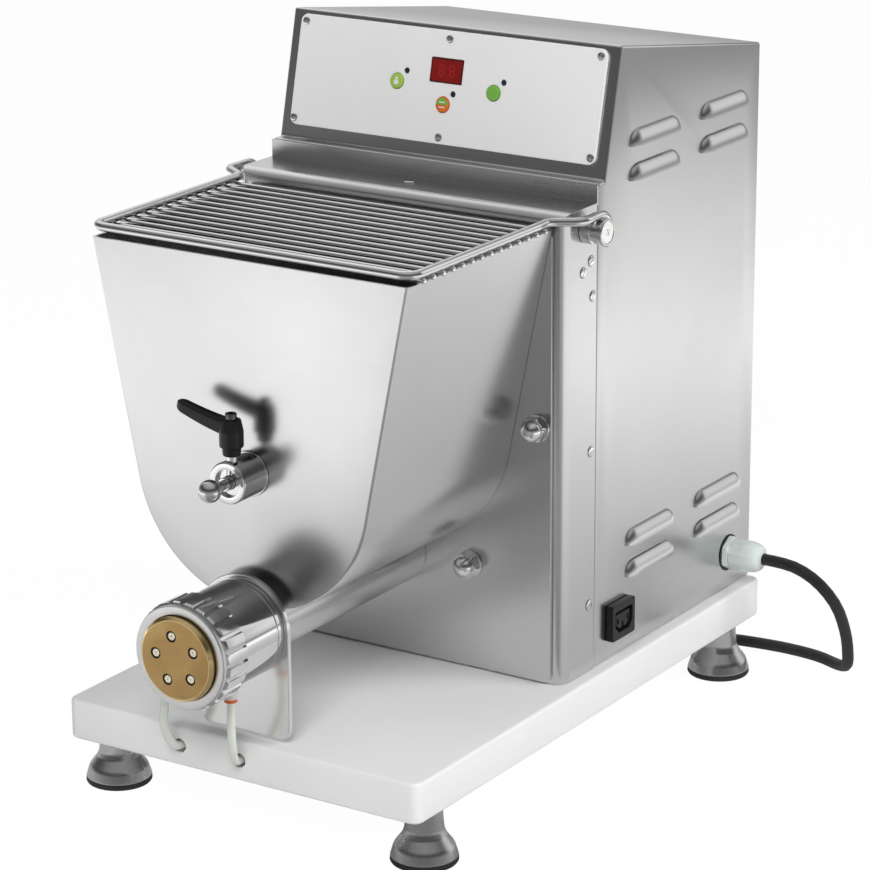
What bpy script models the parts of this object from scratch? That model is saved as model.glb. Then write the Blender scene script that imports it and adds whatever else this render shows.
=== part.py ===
"""Electric pasta extruder: hopper with a kneading shaft, auger and bronze die, on a plastic board.

The frame is +X to the machine's right, -Y to its front, +Z up. The origin is on the surface that the feet
stand on, under the middle of the machine. All sizes are in metres.
"""

import math

import bmesh
import bpy
import numpy as np
from mathutils import Euler, Matrix, Vector

# Overall
CLEARANCE = 0.0003
OVERALL_LENGTH = 0.557
FOOT_HEIGHT = 0.041
CUT_MARGIN = 0.004
ROUND_STEPS = 22
MIDDLE_STEPS = 12
SMALL_STEPS = 10
BARREL_STEPS = 36
FULL_TURN = 2 * math.pi
RIGHT_ANGLE = math.pi / 2
FLAT_ANGLE = math.radians(0.05)
SMOOTH_ANGLE = math.radians(35)
EDGE_ANGLE = math.radians(60)
WELD_DISTANCE = 0.00001
CORNER_STEPS = 3
ROUTE_SAMPLES = 24

# Base board
BOARD_PAST_BODY = 0.0105
BOARD_FROM_DIE_FACE = 0.067
BOARD_THICKNESS = 0.030
BOARD_CORNER = 0.008
BOARD_EDGE = 0.0025
CHANNEL_RADIUS = 0.0052
CHANNEL_DEPTH_BELOW_TOP = 0.0145
CHANNEL_LEFT_X = -0.0495
CHANNEL_RIGHT_X = 0.0018

# Feet
FOOT_FROM_SIDE = 0.0177
FOOT_FROM_END = 0.0349
PAD_RADIUS = 0.0240
PAD_THICKNESS = 0.0040
PAD_EDGE = 0.0008
STEM_TOP_RADIUS = 0.0130
STEM_FOOT_RADIUS = 0.0145
BELL_HEIGHT = 0.0180
FOOT_SIDES = 18
BELL_STEPS = 4

# Sheet body
BODY_WIDTH = 0.279
SHEET = 0.0015
FRAME_FRONT_Y = -0.0050
SEAM_Y = 0.0398
SHELF_ABOVE_RIM = 0.0108
UPSTAND_HEIGHT = 0.0128
FRAME_CORNER = 0.0100
FRAME_CORNER_STEPS = 5
LEDGE_ABOVE_UPSTAND = 0.0006
LEDGE_DEPTH = 0.0086
FACE_LEAN = 0.2346
FACE_RISE = 0.0928
TOP_FALL = 0.0326
REAR_FROM_BOARD_END = 0.0010
SHAFT_HOLE_RADIUS = 0.0120
FIXING_HOLE_RADIUS = 0.0055

# Louvres
LOUVRE_FROM_SEAM = 0.0437
LOUVRE_FROM_REAR = 0.0205
LOUVRE_COLUMN_GAP = 0.0335
LOUVRE_HEIGHT = 0.0120
LOUVRE_DEPTH = 0.0055
LOUVRE_WALL = 0.0011
LOUVRE_LIP_GAP = 0.0006
LOUVRE_WELD = 0.00005
UPPER_LOUVRE_ABOVE_LEDGE = 0.0181
UPPER_LOUVRE_PITCH = 0.0250
LOWER_LOUVRE_ABOVE_BOARD = 0.0815
LOWER_LOUVRE_PITCH = 0.0243
LOUVRE_END_STEPS = 2
LOUVRE_ROUND_STEPS = 2

# Control panel
PANEL_FROM_SIDE = 0.0088
PANEL_THICKNESS = 0.0020
PANEL_CORNER = 0.0060
PANEL_BELOW_TOP = 0.0035
PANEL_ABOVE_LEDGE = 0.0096
BUTTON_RADIUS = 0.0056
BUTTON_HEAD_HEIGHT = 0.0010
BUTTON_TRAVEL = 0.0008
BUTTON_COLLAR_RADIUS = 0.0070
BUTTON_COLLAR_THICKNESS = 0.0012
BUTTON_STEM_RADIUS = 0.0030
BUTTON_STEM_LENGTH = 0.0050
BUTTON_HOLE_PLAY = 0.0004
BUTTON_SPREAD = 0.0412
OUTER_BUTTON_ABOVE_LEDGE = 0.0497
CENTRE_BUTTON_ABOVE_LEDGE = 0.0372
INDICATOR_RADIUS = 0.0019
INDICATOR_PROUD = 0.0003
INDICATOR_OFFSET_X = 0.0075
INDICATOR_OFFSET_Z = 0.0081
DISPLAY_WIDTH = 0.0270
DISPLAY_HEIGHT = 0.0175
DISPLAY_ABOVE_LEDGE = 0.0610
DISPLAY_THICKNESS = 0.0030
BOARD_BEHIND_FACE = 0.0120
CIRCUIT_WIDTH = 0.1700
CIRCUIT_HEIGHT = 0.0520
CIRCUIT_THICKNESS = 0.0016
CIRCUIT_ABOVE_LEDGE = 0.0496
CIRCUIT_CORNER = 0.0030
CIRCUIT_CORNER_STEPS = 2
SWITCH_SIDE = 0.0060
RELAY_WIDTH = 0.0290
RELAY_HEIGHT = 0.0150
RELAY_DEPTH = 0.0125
RELAY_X = 0.0650

# Rear panel
REAR_FLANGE = 0.0100
REAR_CORNER = 0.0030
REAR_SLOT_LENGTH = 0.0800
REAR_SLOT_HEIGHT = 0.0035
REAR_SLOT_PITCH = 0.0110
REAR_SLOT_COUNT = 5
REAR_SLOT_FROM_FOOT = 0.0450

# Hopper
HOPPER_FROM_BRACKET = 0.0116
HOPPER_SHEET = 0.0020
HOPPER_RIM_HEIGHT = 0.4092
RIM_INSIDE_BODY = 0.0089
TROUGH_ABOVE_BARREL = 0.0095
TROUGH_STEPS = 20
MIXER_HEIGHT = 0.2600
REAR_PLATE_THICKNESS = 0.0030
REAR_PLATE_INSIDE_BODY = 0.0087
REAR_PLATE_CORNER = 0.0060
REAR_PLATE_ABOVE_BOARD = 0.0018
UPPER_NUT_FROM_EDGE = 0.0108
UPPER_NUT_ABOVE_MIXER = 0.0045
LOWER_NUT_FROM_MIDDLE = 0.0635
NUT_ACROSS_FLATS = 0.0170
NUT_HEIGHT = 0.0080
NUT_DOME_RADIUS = 0.0078
WASHER_RADIUS = 0.0100
WASHER_THICKNESS = 0.0016

# Barrel, head and bracket
BARREL_HEIGHT = 0.1525
BARREL_RADIUS = 0.0250
BARREL_BORE = 0.0210
BARREL_WINDOW_HALF_WIDTH = 0.0180
BARREL_WINDOW_ABOVE_AXIS = 0.0100
BARREL_WINDOW_FROM_ENDS = 0.0120
BRACKET_FROM_NUT = 0.0727
BRACKET_THICKNESS = 0.0040
BRACKET_RADIUS = 0.0376
BRACKET_CORNER = 0.0080
BRACKET_ABOVE_BOARD = 0.0036
COLLAR_RADIUS = 0.0350
THREAD_RADIUS = 0.0320
THREAD_LENGTH = 0.0150
HEAD_MOUTH_RADIUS = 0.0255
HEAD_MOUTH_DEPTH = 0.0120

# Ring nut and die
NUT_FROM_DIE_FACE = 0.0048
RING_LENGTH = 0.0267
RING_LIP_THICKNESS = 0.0030
RING_LIP_RADIUS = 0.0304
RING_BORE = 0.0324
RING_FACE_RADIUS = 0.0370
RING_FACE_LENGTH = 0.0034
RIB_COUNT = 24
RIB_RADIUS = 0.0386
RIB_GROOVE_RADIUS = 0.0368
RIB_GROOVE_SHARE = 0.22
DIE_RADIUS = 0.0300
DIE_FACE_RADIUS = 0.0280
DIE_CHAMFER_DEPTH = 0.0020
DIE_RECESS_RADIUS = 0.0255
DIE_RECESS_DEPTH = 0.0050
DIE_HOLES = 5
DIE_HOLE_RADIUS = 0.0040
DIE_HOLE_CIRCLE = 0.0167
DIE_HOLE_TURN = math.radians(10.6)
CORE_THICKNESS = 0.0030
CORE_PIN_RADIUS = 0.0026
CORE_FEED_RADIUS = 0.0045
CORE_PIN_SETBACK = 0.0003

# Cooling water
FITTING_RADIUS = 0.0050
FITTING_LENGTH = 0.0075
COLLET_RADIUS = 0.0042
COLLET_LENGTH = 0.0022
FITTING_FROM_BRACKET = 0.0310
RIGHT_FITTING_X = 0.0110
LEFT_FITTING_TURN = math.radians(45)
HOSE_RADIUS = 0.0030
HOSE_LEAVES_STRAIGHT = 0.0090
HOSE_STRAIGHT_SHARES = (0.004, 0.04, 0.1)
# The hoses' routes, counted from the channel in x, from the fitting in y and from the channel's height
LEFT_HOSE_ROUTE = (
    (0.0067, -0.0010, 0.0495),
    (0.0040, -0.0020, 0.0375),
    (0.0019, -0.0020, 0.0255),
    (0.0005, 0.0005, 0.0145),
    (0, 0.0068, 0.0055),
    (0, 0.0150, 0.0008),
)
RIGHT_HOSE_ROUTE = (
    (0.0085, -0.0003, 0.0315),
    (0.0055, 0.0002, 0.0185),
    (0.0024, 0.0058, 0.0070),
    (0.0004, 0.0148, 0.0010),
)
COUPLING_RADIUS = 0.0047
COUPLING_BORE = 0.0034
COUPLING_LENGTH = 0.0200

# Front bearing
BOSS_RADIUS = 0.0150
BOSS_LENGTH = 0.0259
BOSS_FLANGE_RADIUS = 0.0162
BOSS_FLANGE_THICKNESS = 0.0015
BOSS_BORE = 0.0052
BOSS_RECESS_RADIUS = 0.0098
BOSS_RECESS_DEPTH = 0.0030
PIN_RADIUS = 0.0048
PIN_NECK_RADIUS = 0.0034
PIN_INSIDE = 0.0160
KNOB_RADIUS = 0.0080
KNOB_FROM_BOSS = 0.0195
PIN_TRAVEL_NECK = 0.0040
CLAMP_FROM_BOSS_FACE = 0.0063
CLAMP_STUD_RADIUS = 0.0035
CLAMP_STUD_SHOWS = 0.0030
CLAMP_COLLAR_RADIUS = 0.0056
CLAMP_COLLAR_HEIGHT = 0.0055
CLAMP_HUB_RADIUS = 0.0084
CLAMP_HUB_TOP_RADIUS = 0.0068
CLAMP_HUB_STRAIGHT = 0.0125
CLAMP_HUB_HEIGHT = 0.0205
CLAMP_CAP_RADIUS = 0.0040
CLAMP_CAP_HEIGHT = 0.0045
ARM_LENGTH = 0.0460
ARM_RISE = math.radians(14)
ARM_ROOT_HEIGHT = 0.0120
ARM_TIP_HEIGHT = 0.0080
ARM_ROOT_WIDTH = 0.0096
ARM_TIP_WIDTH = 0.0076
ARM_EDGE = 0.0020

# Kneading shaft and auger
SHAFT_RADIUS = 0.0090
SHAFT_END_GAP = 0.0060
PADDLE_FROM_TROUGH = 0.0180
PADDLE_TILT = math.radians(30)
PADDLE_RADIUS = 0.0050
PADDLE_BLADE_LENGTH = 0.0300
PADDLE_BLADE_THICKNESS = 0.0050
PADDLE_BLADE_HEIGHT = 0.0160
PADDLE_COUNT = 4
PADDLE_SIDES = 8
PADDLE_FIRST_ANGLE = math.radians(8)
PIN_SOCKET_RADIUS = 0.0054
AUGER_CORE_RADIUS = 0.0080
AUGER_RADIUS = 0.0202
AUGER_PITCH = 0.0380
AUGER_FLIGHT_FROM_ENDS = 0.0150
AUGER_FLIGHT_ROOT = 0.0045
AUGER_FLIGHT_TIP = 0.0028
AUGER_STEPS_PER_TURN = 12
AUGER_START_ANGLE = math.radians(7)
AUGER_FRONT_GAP = 0.0060
AUGER_FROM_PLATE = 0.0020
COUPLING_GAP = 0.0010

# Guard
RAIL_RADIUS = 0.00325
RAIL_PAST_RIM = 0.0009
RAIL_FROM_HOPPER_FRONT = 0.0034
RAIL_CORNER = 0.0100
RAIL_CORNER_STEPS = 4
BAR_RADIUS = 0.0020
BAR_SIDES = 6
BAR_SEAT = 0.0007
BAR_FROM_RAIL = 0.0110
BAR_FROM_JOG = 0.0080
BAR_PITCH = 0.0118
BAR_OVERHANG = 0.0035
JOG_BEFORE_FRAME = 0.0080
JOG_PAST_FRAME = 0.0040
JOG_ROUND_SHARE = 0.25
JOG_SLANT_SHARE = 1 / 6
HOOK_PAST_BODY = 0.0115
HOOK_RADIUS = 0.0118
HOOK_SWEEP = math.radians(150)
HOOK_STEPS = 7
PIVOT_FROM_SEAM = 0.0170
PIVOT_BELOW_RIM = 0.0047
PIVOT_RADIUS = 0.0098
PIVOT_NECK_RADIUS = 0.0080
PIVOT_NECK_START = 0.0078
PIVOT_NECK_END = 0.0152
PIVOT_LENGTH = 0.0178

# Drive
AUGER_TEETH = 28
MIXER_TEETH = 26
PINION_TEETH = 9
GEAR_WIDTH = 0.0120
TOOTH_ADDENDUM_SHARE = 0.85
TOOTH_DEDENDUM_SHARE = 1.20
TOOTH_TIP_SHARE = 0.20
TOOTH_ROOT_SHARE = 0.52
GEAR_HUB_RADIUS = 0.0140
GEAR_HUB_LENGTH = 0.0300
DRIVE_SHAFT_RADIUS = 0.0080
GEARCASE_DEPTH = 0.0420
GEARCASE_WALL = 0.0040
GEARCASE_MARGIN = 0.0060
GEARCASE_SIDE_STEPS = 10
BEARING_HOLE_PLAY = 0.0006
MOTOR_RADIUS = 0.0560
MOTOR_LENGTH = 0.1350
MOTOR_FLANGE_RADIUS = 0.0600
MOTOR_FLANGE_THICKNESS = 0.0060
MOTOR_FINS = 12
MOTOR_FIN_HEIGHT = 0.0040
MOTOR_FIN_WIDTH = 0.0030
MOTOR_FIN_LENGTH = 0.0900

# Lid switch
SWITCH_BODY = (0.0160, 0.0180, 0.0280)
SWITCH_FROM_SIDE = 0.0060
SWITCH_FROM_SEAM = 0.0233

# Outlet and gland
OUTLET_FROM_SEAM = 0.0323
OUTLET_ABOVE_BOARD = 0.0290
OUTLET_WIDTH = 0.0324
OUTLET_TALL = 0.0276
OUTLET_PROUD = 0.0058
OUTLET_CORNER = 0.0018
OUTLET_BODY_WIDTH = 0.0270
OUTLET_BODY_TALL = 0.0195
OUTLET_BODY_DEPTH = 0.0220
OUTLET_WELL_WIDTH = 0.0240
OUTLET_WELL_TALL = 0.0165
OUTLET_WELL_CHAMFER = 0.0050
OUTLET_WELL_DEPTH = 0.0100
OUTLET_CORE_INSET = 0.0026
OUTLET_CORE_SETBACK = 0.0012
OUTLET_SLOT_LONG = 0.0042
OUTLET_SLOT_WIDE = 0.0021
OUTLET_SLOT_SPREAD = 0.0070
OUTLET_SLOT_DROP = 0.0035
GLAND_FROM_REAR = 0.0345
GLAND_ABOVE_BOARD = 0.0290
GLAND_HEX_FLATS = 0.0240
GLAND_HEX_THICKNESS = 0.0056
GLAND_NUT_RADIUS = 0.0124
GLAND_NUT_STRAIGHT = 0.0120
GLAND_TIP_RADIUS = 0.0064
GLAND_LENGTH = 0.0305
GLAND_DOME_STEPS = 4
GLAND_SIDES = 18
GLAND_THREAD_RADIUS = 0.0095
GLAND_INSIDE = 0.0100

# Mains lead
LEAD_RADIUS = 0.0045
LEAD_SIDE_RESOLUTION = 2
LEAD_POINT_SPACING = 0.0170
LEAD_ROUTE = (
    (0.1980, 0.2435, 0.0980),
    (0.2160, 0.2450, 0.0890),
    (0.2300, 0.2490, 0.0720),
    (0.2350, 0.2560, 0.0500),
    (0.2330, 0.2660, 0.0290),
    (0.2260, 0.2790, 0.0130),
    (0.2120, 0.2930, 0.0055),
    (0.1900, 0.3030, 0.0045),
    (0.1600, 0.3060, 0.0045),
    (0.1200, 0.3020, 0.0045),
)
LEAD_RUN_IN_X = 0.1000
LEAD_RUN_SHARES = ((0, 0), (0.4, 0.3), (0.75, 0.9), (1, 1))
TAIL_LENGTH = 0.0360
TAIL_STEPS = 5
COIL_CENTRE = (-0.0750, 0.3600)
COIL_INNER_RADIUS = 0.0430
COIL_LOOPS_A_LAYER = 2
COIL_GAP = 0.0009
COIL_POINTS_A_LOOP = 24
TIE_WIDTH = 0.0060
TIE_THICKNESS = 0.0012
PLUG_RADIUS = 0.0185
PLUG_SIDES = 16
PLUG_NECK_RADIUS = 0.0075
PLUG_LENGTH = 0.0400
PLUG_NECK_LENGTH = 0.0200
PLUG_PIN_RADIUS = 0.0024
PLUG_PIN_LENGTH = 0.0190
PLUG_PIN_SPREAD = 0.0095
PLUG_PIN_SIDES = 8


# Places worked out from the sizes
BOARD_TOP = FOOT_HEIGHT + BOARD_THICKNESS
BOARD_WIDTH = BODY_WIDTH + 2 * BOARD_PAST_BODY
BOARD_LENGTH = OVERALL_LENGTH - BOARD_FROM_DIE_FACE
BOARD_REAR_Y = OVERALL_LENGTH / 2
BOARD_FRONT_Y = BOARD_REAR_Y - BOARD_LENGTH
DIE_FACE_Y = -OVERALL_LENGTH / 2
NUT_FRONT_Y = DIE_FACE_Y + NUT_FROM_DIE_FACE
BRACKET_FRONT_Y = NUT_FRONT_Y + BRACKET_FROM_NUT
HOPPER_FRONT_Y = BRACKET_FRONT_Y + HOPPER_FROM_BRACKET
FITTING_Y = BRACKET_FRONT_Y - FITTING_FROM_BRACKET
RAIL_FRONT_Y = HOPPER_FRONT_Y + RAIL_FROM_HOPPER_FRONT
JOG_START_Y = FRAME_FRONT_Y - JOG_BEFORE_FRAME
JOG_END_Y = FRAME_FRONT_Y + JOG_PAST_FRAME
BAR_FIRST_Y = RAIL_FRONT_Y + BAR_FROM_RAIL
BAR_COUNT = 1 + math.floor((JOG_START_Y - BAR_FROM_JOG - BAR_FIRST_Y) / BAR_PITCH)
PIVOT_Y = SEAM_Y - PIVOT_FROM_SEAM
SWITCH_Y = SEAM_Y - SWITCH_FROM_SEAM
BODY_FOOT = BOARD_TOP + CLEARANCE
BODY_REAR_Y = BOARD_REAR_Y - REAR_FROM_BOARD_END
LOUVRE_SPAN = BODY_REAR_Y - LOUVRE_FROM_REAR - SEAM_Y - LOUVRE_FROM_SEAM
LOUVRE_LENGTH = (LOUVRE_SPAN - LOUVRE_COLUMN_GAP) / 2
LOUVRE_COLUMNS = (
    SEAM_Y + LOUVRE_FROM_SEAM + LOUVRE_LENGTH / 2,
    BODY_REAR_Y - LOUVRE_FROM_REAR - LOUVRE_LENGTH / 2,
)
OUTLET_Y = SEAM_Y + OUTLET_FROM_SEAM
OUTLET_HEIGHT = BOARD_TOP + OUTLET_ABOVE_BOARD
GLAND_Y = BODY_REAR_Y - GLAND_FROM_REAR
GLAND_HEIGHT = BOARD_TOP + GLAND_ABOVE_BOARD
SHELF_HEIGHT = HOPPER_RIM_HEIGHT + SHELF_ABOVE_RIM
LEDGE_HEIGHT = SHELF_HEIGHT + UPSTAND_HEIGHT + LEDGE_ABOVE_UPSTAND
TOP_FRONT_HEIGHT = LEDGE_HEIGHT + FACE_RISE
TOP_REAR_HEIGHT = TOP_FRONT_HEIGHT - TOP_FALL
PANEL_TOP = TOP_FRONT_HEIGHT - PANEL_BELOW_TOP
PANEL_FOOT = LEDGE_HEIGHT + PANEL_ABOVE_LEDGE
PANEL_WIDTH = BODY_WIDTH - 2 * PANEL_FROM_SIDE
BUTTONS = {
    "left": (-BUTTON_SPREAD, LEDGE_HEIGHT + OUTER_BUTTON_ABOVE_LEDGE),
    "centre": (0, LEDGE_HEIGHT + CENTRE_BUTTON_ABOVE_LEDGE),
    "right": (BUTTON_SPREAD, LEDGE_HEIGHT + OUTER_BUTTON_ABOVE_LEDGE),
}
DISPLAY_CENTRE_HEIGHT = LEDGE_HEIGHT + DISPLAY_ABOVE_LEDGE
CIRCUIT_CENTRE_HEIGHT = LEDGE_HEIGHT + CIRCUIT_ABOVE_LEDGE
UPPER_LOUVRE_HEIGHT = LEDGE_HEIGHT + UPPER_LOUVRE_ABOVE_LEDGE
LOWER_LOUVRE_HEIGHT = BOARD_TOP + LOWER_LOUVRE_ABOVE_BOARD
LOUVRE_ROWS = (
    UPPER_LOUVRE_HEIGHT,
    UPPER_LOUVRE_HEIGHT - UPPER_LOUVRE_PITCH,
    LOWER_LOUVRE_HEIGHT,
    LOWER_LOUVRE_HEIGHT - LOWER_LOUVRE_PITCH,
)
PIVOT_HEIGHT = HOPPER_RIM_HEIGHT - PIVOT_BELOW_RIM
FACE_FOOT_Y = SEAM_Y + CLEARANCE + LEDGE_DEPTH
FACE_TOP_Y = FACE_FOOT_Y + FACE_LEAN * (TOP_FRONT_HEIGHT - LEDGE_HEIGHT)
FACE_TILT = math.atan(FACE_LEAN)
FACE_TURN = (RIGHT_ANGLE - FACE_TILT, 0, 0)
REAR_PLATE_FRONT_Y = FRAME_FRONT_Y - CLEARANCE - REAR_PLATE_THICKNESS
HEAD_REAR_Y = BRACKET_FRONT_Y - CLEARANCE
NUT_REAR_Y = NUT_FRONT_Y + RING_LENGTH
SHOULDER_Y = NUT_REAR_Y + CLEARANCE
HEAD_FRONT_Y = SHOULDER_Y - THREAD_LENGTH
DIE_FLANGE_Y = NUT_FRONT_Y + RING_LIP_THICKNESS + CLEARANCE
DIE_REAR_Y = HEAD_FRONT_Y - CLEARANCE
BOSS_FACE_Y = HOPPER_FRONT_Y - CLEARANCE - BOSS_LENGTH
KNOB_Y = BOSS_FACE_Y - KNOB_FROM_BOSS
CLAMP_Y = BOSS_FACE_Y + CLAMP_FROM_BOSS_FACE
RAIL_HEIGHT = PIVOT_HEIGHT + HOOK_RADIUS
BAR_HEIGHT = RAIL_HEIGHT - RAIL_RADIUS - BAR_RADIUS + BAR_SEAT
CHANNEL_HEIGHT = BOARD_TOP - CHANNEL_DEPTH_BELOW_TOP
GEAR_MODULE = 2 * (MIXER_HEIGHT - BARREL_HEIGHT) / (AUGER_TEETH + MIXER_TEETH)
PINION_HEIGHT = MIXER_HEIGHT + (MIXER_TEETH + PINION_TEETH) * GEAR_MODULE / 2
DRIVE_END_Y = REAR_PLATE_FRONT_Y - AUGER_FROM_PLATE
GEARCASE_FRONT_Y = FRAME_FRONT_Y + SHEET + CLEARANCE
GEARCASE_REAR_Y = GEARCASE_FRONT_Y + GEARCASE_DEPTH
GEAR_Y = GEARCASE_FRONT_Y + GEARCASE_DEPTH / 2
SIDE_X = BODY_WIDTH / 2
HOPPER_RIM_HALF_WIDTH = SIDE_X - RIM_INSIDE_BODY
REAR_PLATE_HALF_WIDTH = SIDE_X - REAR_PLATE_INSIDE_BODY
RAIL_HALF_WIDTH = HOPPER_RIM_HALF_WIDTH + RAIL_PAST_RIM
HOOK_X = SIDE_X + HOOK_PAST_BODY
TROUGH_RADIUS = MIXER_HEIGHT - BARREL_HEIGHT - TROUGH_ABOVE_BARREL
PADDLE_REACH = TROUGH_RADIUS - HOPPER_SHEET - PADDLE_FROM_TROUGH
UPPER_NUT = (REAR_PLATE_HALF_WIDTH - UPPER_NUT_FROM_EDGE, MIXER_HEIGHT + UPPER_NUT_ABOVE_MIXER)
LOWER_NUT = (LOWER_NUT_FROM_MIDDLE, BARREL_HEIGHT)
COIL_PITCH = 2 * LEAD_RADIUS + COIL_GAP
COIL_LOW = LEAD_RADIUS + TIE_THICKNESS + 2 * CLEARANCE
COIL_OUTER_RADIUS = COIL_INNER_RADIUS + COIL_LOOPS_A_LAYER * COIL_PITCH
COIL_ENTRY_Y = COIL_CENTRE[1] - COIL_OUTER_RADIUS

# Turns that point a piece's own Z to the front, the right and the left
TO_FRONT = (RIGHT_ANGLE, 0, 0)
TO_RIGHT = (0, RIGHT_ANGLE, 0)
TO_LEFT = (0, -RIGHT_ANGLE, 0)
FACING_RIGHT = (RIGHT_ANGLE, 0, RIGHT_ANGLE)


def collection(name):
    made = bpy.data.collections.new(name)
    bpy.context.scene.collection.children.link(made)
    return made


def reset_scene():
    for thing in list(bpy.data.objects):
        bpy.data.objects.remove(thing, do_unlink=True)


reset_scene()
PARTS = collection("pasta_extruder")
TOOLS = collection("cutters")


# Materials

def material(name, colour, roughness, metallic=0.0):
    made = bpy.data.materials.new(name)
    made.use_nodes = True
    shader = made.node_tree.nodes["Principled BSDF"]
    shader.inputs["Base Color"].default_value = (*colour, 1.0)
    shader.inputs["Roughness"].default_value = roughness
    shader.inputs["Metallic"].default_value = metallic
    return made


SATIN_STEEL = material("satin_steel", (0.62, 0.62, 0.61), 0.38, 1.0)
POLISHED_STEEL = material("polished_steel", (0.78, 0.78, 0.78), 0.12, 1.0)
DARK_STEEL = material("dark_steel", (0.30, 0.30, 0.31), 0.45, 1.0)
CAST_METAL = material("cast_metal", (0.42, 0.43, 0.44), 0.55, 1.0)
FOOT_METAL = material("foot_metal", (0.52, 0.52, 0.52), 0.42, 1.0)
BRONZE = material("bronze", (0.60, 0.44, 0.22), 0.35, 1.0)
WHITE_BOARD = material("white_board", (0.86, 0.86, 0.86), 0.50)
PALE_PANEL = material("pale_panel", (0.80, 0.80, 0.79), 0.35)
BLACK_PLASTIC = material("black_plastic", (0.015, 0.015, 0.016), 0.40)
BLACK_RUBBER = material("black_rubber", (0.020, 0.020, 0.020), 0.75)
DISPLAY_RED = material("display_red", (0.35, 0.01, 0.01), 0.15)
BUTTON_GREEN = material("button_green", (0.25, 0.55, 0.12), 0.40)
BUTTON_ORANGE = material("button_orange", (0.80, 0.22, 0.03), 0.40)
INDICATOR_DARK = material("indicator_dark", (0.06, 0.03, 0.05), 0.25)
CIRCUIT_GREEN = material("circuit_green", (0.03, 0.22, 0.10), 0.50)
GLAND_GREY = material("gland_grey", (0.62, 0.68, 0.67), 0.45)
HOSE_MILKY = material("hose_milky", (0.74, 0.76, 0.72), 0.30)
FITTING_GREY = material("fitting_grey", (0.60, 0.62, 0.60), 0.30)
INSERT_CREAM = material("insert_cream", (0.78, 0.72, 0.60), 0.50)


# Modelling helpers

def placed(name, data, at=(0, 0, 0), turn=(0, 0, 0), finish=None, parent=None):
    """Add an object to the model, or to the cutters when it has no finish."""
    thing = bpy.data.objects.new(name, data)
    thing.location = at
    thing.rotation_euler = turn
    if finish is None:
        TOOLS.objects.link(thing)
        thing.hide_render = True
        thing.display_type = "WIRE"
    else:
        PARTS.objects.link(thing)
        data.materials.append(finish)
    if parent is not None:
        thing.parent = parent
        thing.matrix_parent_inverse = Matrix.Translation(parent.location).inverted()
    return thing


def axis_marker(name, at):
    """An empty on a joint's axis, for the pieces that turn or slide with it."""
    marker = bpy.data.objects.new(name, None)
    marker.location = at
    PARTS.objects.link(marker)
    return marker


def shaded(mesh):
    mesh.shade_smooth()
    mesh.set_sharp_from_angle(angle=SMOOTH_ANGLE)
    return mesh


def mesh_of(name, shape):
    """Close a bmesh into mesh data."""
    bmesh.ops.recalc_face_normals(shape, faces=shape.faces)
    mesh = bpy.data.meshes.new(name)
    shape.to_mesh(mesh)
    shape.free()
    return shaded(mesh)


def box(name, low, high, finish=None, parent=None, rounded=None):
    """A box between two corners; rounded is (test of an edge, radius, segments)."""
    low = Vector(low)
    high = Vector(high)
    centre = (low + high) / 2
    shape = bmesh.new()
    bmesh.ops.create_cube(shape, size=1)
    bmesh.ops.scale(shape, vec=high - low, verts=shape.verts)
    if rounded:
        round_edges(shape, *rounded)
    return placed(name, mesh_of(name, shape), centre, finish=finish, parent=parent)


def round_edges(shape, test, radius, segments):
    chosen = [edge for edge in shape.edges if test(edge.verts[0].co, edge.verts[1].co)]
    bmesh.ops.bevel(shape, geom=chosen, offset=radius, segments=segments, profile=0.5, affect="EDGES")


def rod(name, radius, start, end, finish=None, parent=None, sides=ROUND_STEPS):
    """A cylinder between two points."""
    start = Vector(start)
    end = Vector(end)
    run = end - start
    shape = bmesh.new()
    bmesh.ops.create_cone(
        shape, cap_ends=True, segments=sides, radius1=radius, radius2=radius, depth=run.length
    )
    turn = Vector((0, 0, 1)).rotation_difference(run).to_euler()
    return placed(name, mesh_of(name, shape), (start + end) / 2, turn, finish, parent)


def turned(name, profile, at, turn=(0, 0, 0), finish=None, parent=None, closed=False, steps=ROUND_STEPS):
    """A turned piece: (radius, height) points, outer side from top to bottom, round its own Z."""
    mesh = bpy.data.meshes.new(name)
    corners = [(radius, 0, height) for radius, height in profile]
    edges = [(i, i + 1) for i in range(len(corners) - 1)]
    if closed:
        edges.append((len(corners) - 1, 0))
    mesh.from_pydata(corners, edges, [])
    thing = placed(name, mesh, at, turn, finish, parent)
    screw = thing.modifiers.new("Turn", "SCREW")
    screw.angle = FULL_TURN
    screw.steps = steps
    screw.render_steps = steps
    screw.use_merge_vertices = True
    screw.merge_threshold = WELD_DISTANCE
    screw.use_smooth_shade = True
    return thing


def forward(profile):
    """Turn (radius, y) points into (radius, height) ones for a piece whose Z points to the front."""
    return [(radius, -y) for radius, y in profile]


def as_mesh(curve_thing, finish=None):
    """The curve's own solid as a mesh with welded caps, in the curve's place."""
    bpy.context.view_layer.update()
    evaluated = curve_thing.evaluated_get(bpy.context.evaluated_depsgraph_get())
    mesh = bpy.data.meshes.new_from_object(evaluated)
    shape = bmesh.new()
    shape.from_mesh(mesh)
    bmesh.ops.remove_doubles(shape, verts=shape.verts, dist=WELD_DISTANCE)
    bmesh.ops.dissolve_limit(shape, angle_limit=FLAT_ANGLE, verts=shape.verts, edges=shape.edges)
    bmesh.ops.recalc_face_normals(shape, faces=shape.faces)
    shape.to_mesh(mesh)
    shape.free()
    mesh.materials.clear()
    name = curve_thing.name
    place = curve_thing.matrix_world.copy()
    parent = curve_thing.parent
    bpy.data.objects.remove(curve_thing, do_unlink=True)
    thing = placed(name, shaded(mesh), finish=finish)
    thing.name = name
    thing.matrix_world = place
    if parent is not None:
        thing.parent = parent
        thing.matrix_parent_inverse = Matrix.Translation(parent.location).inverted()
    return thing


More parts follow.
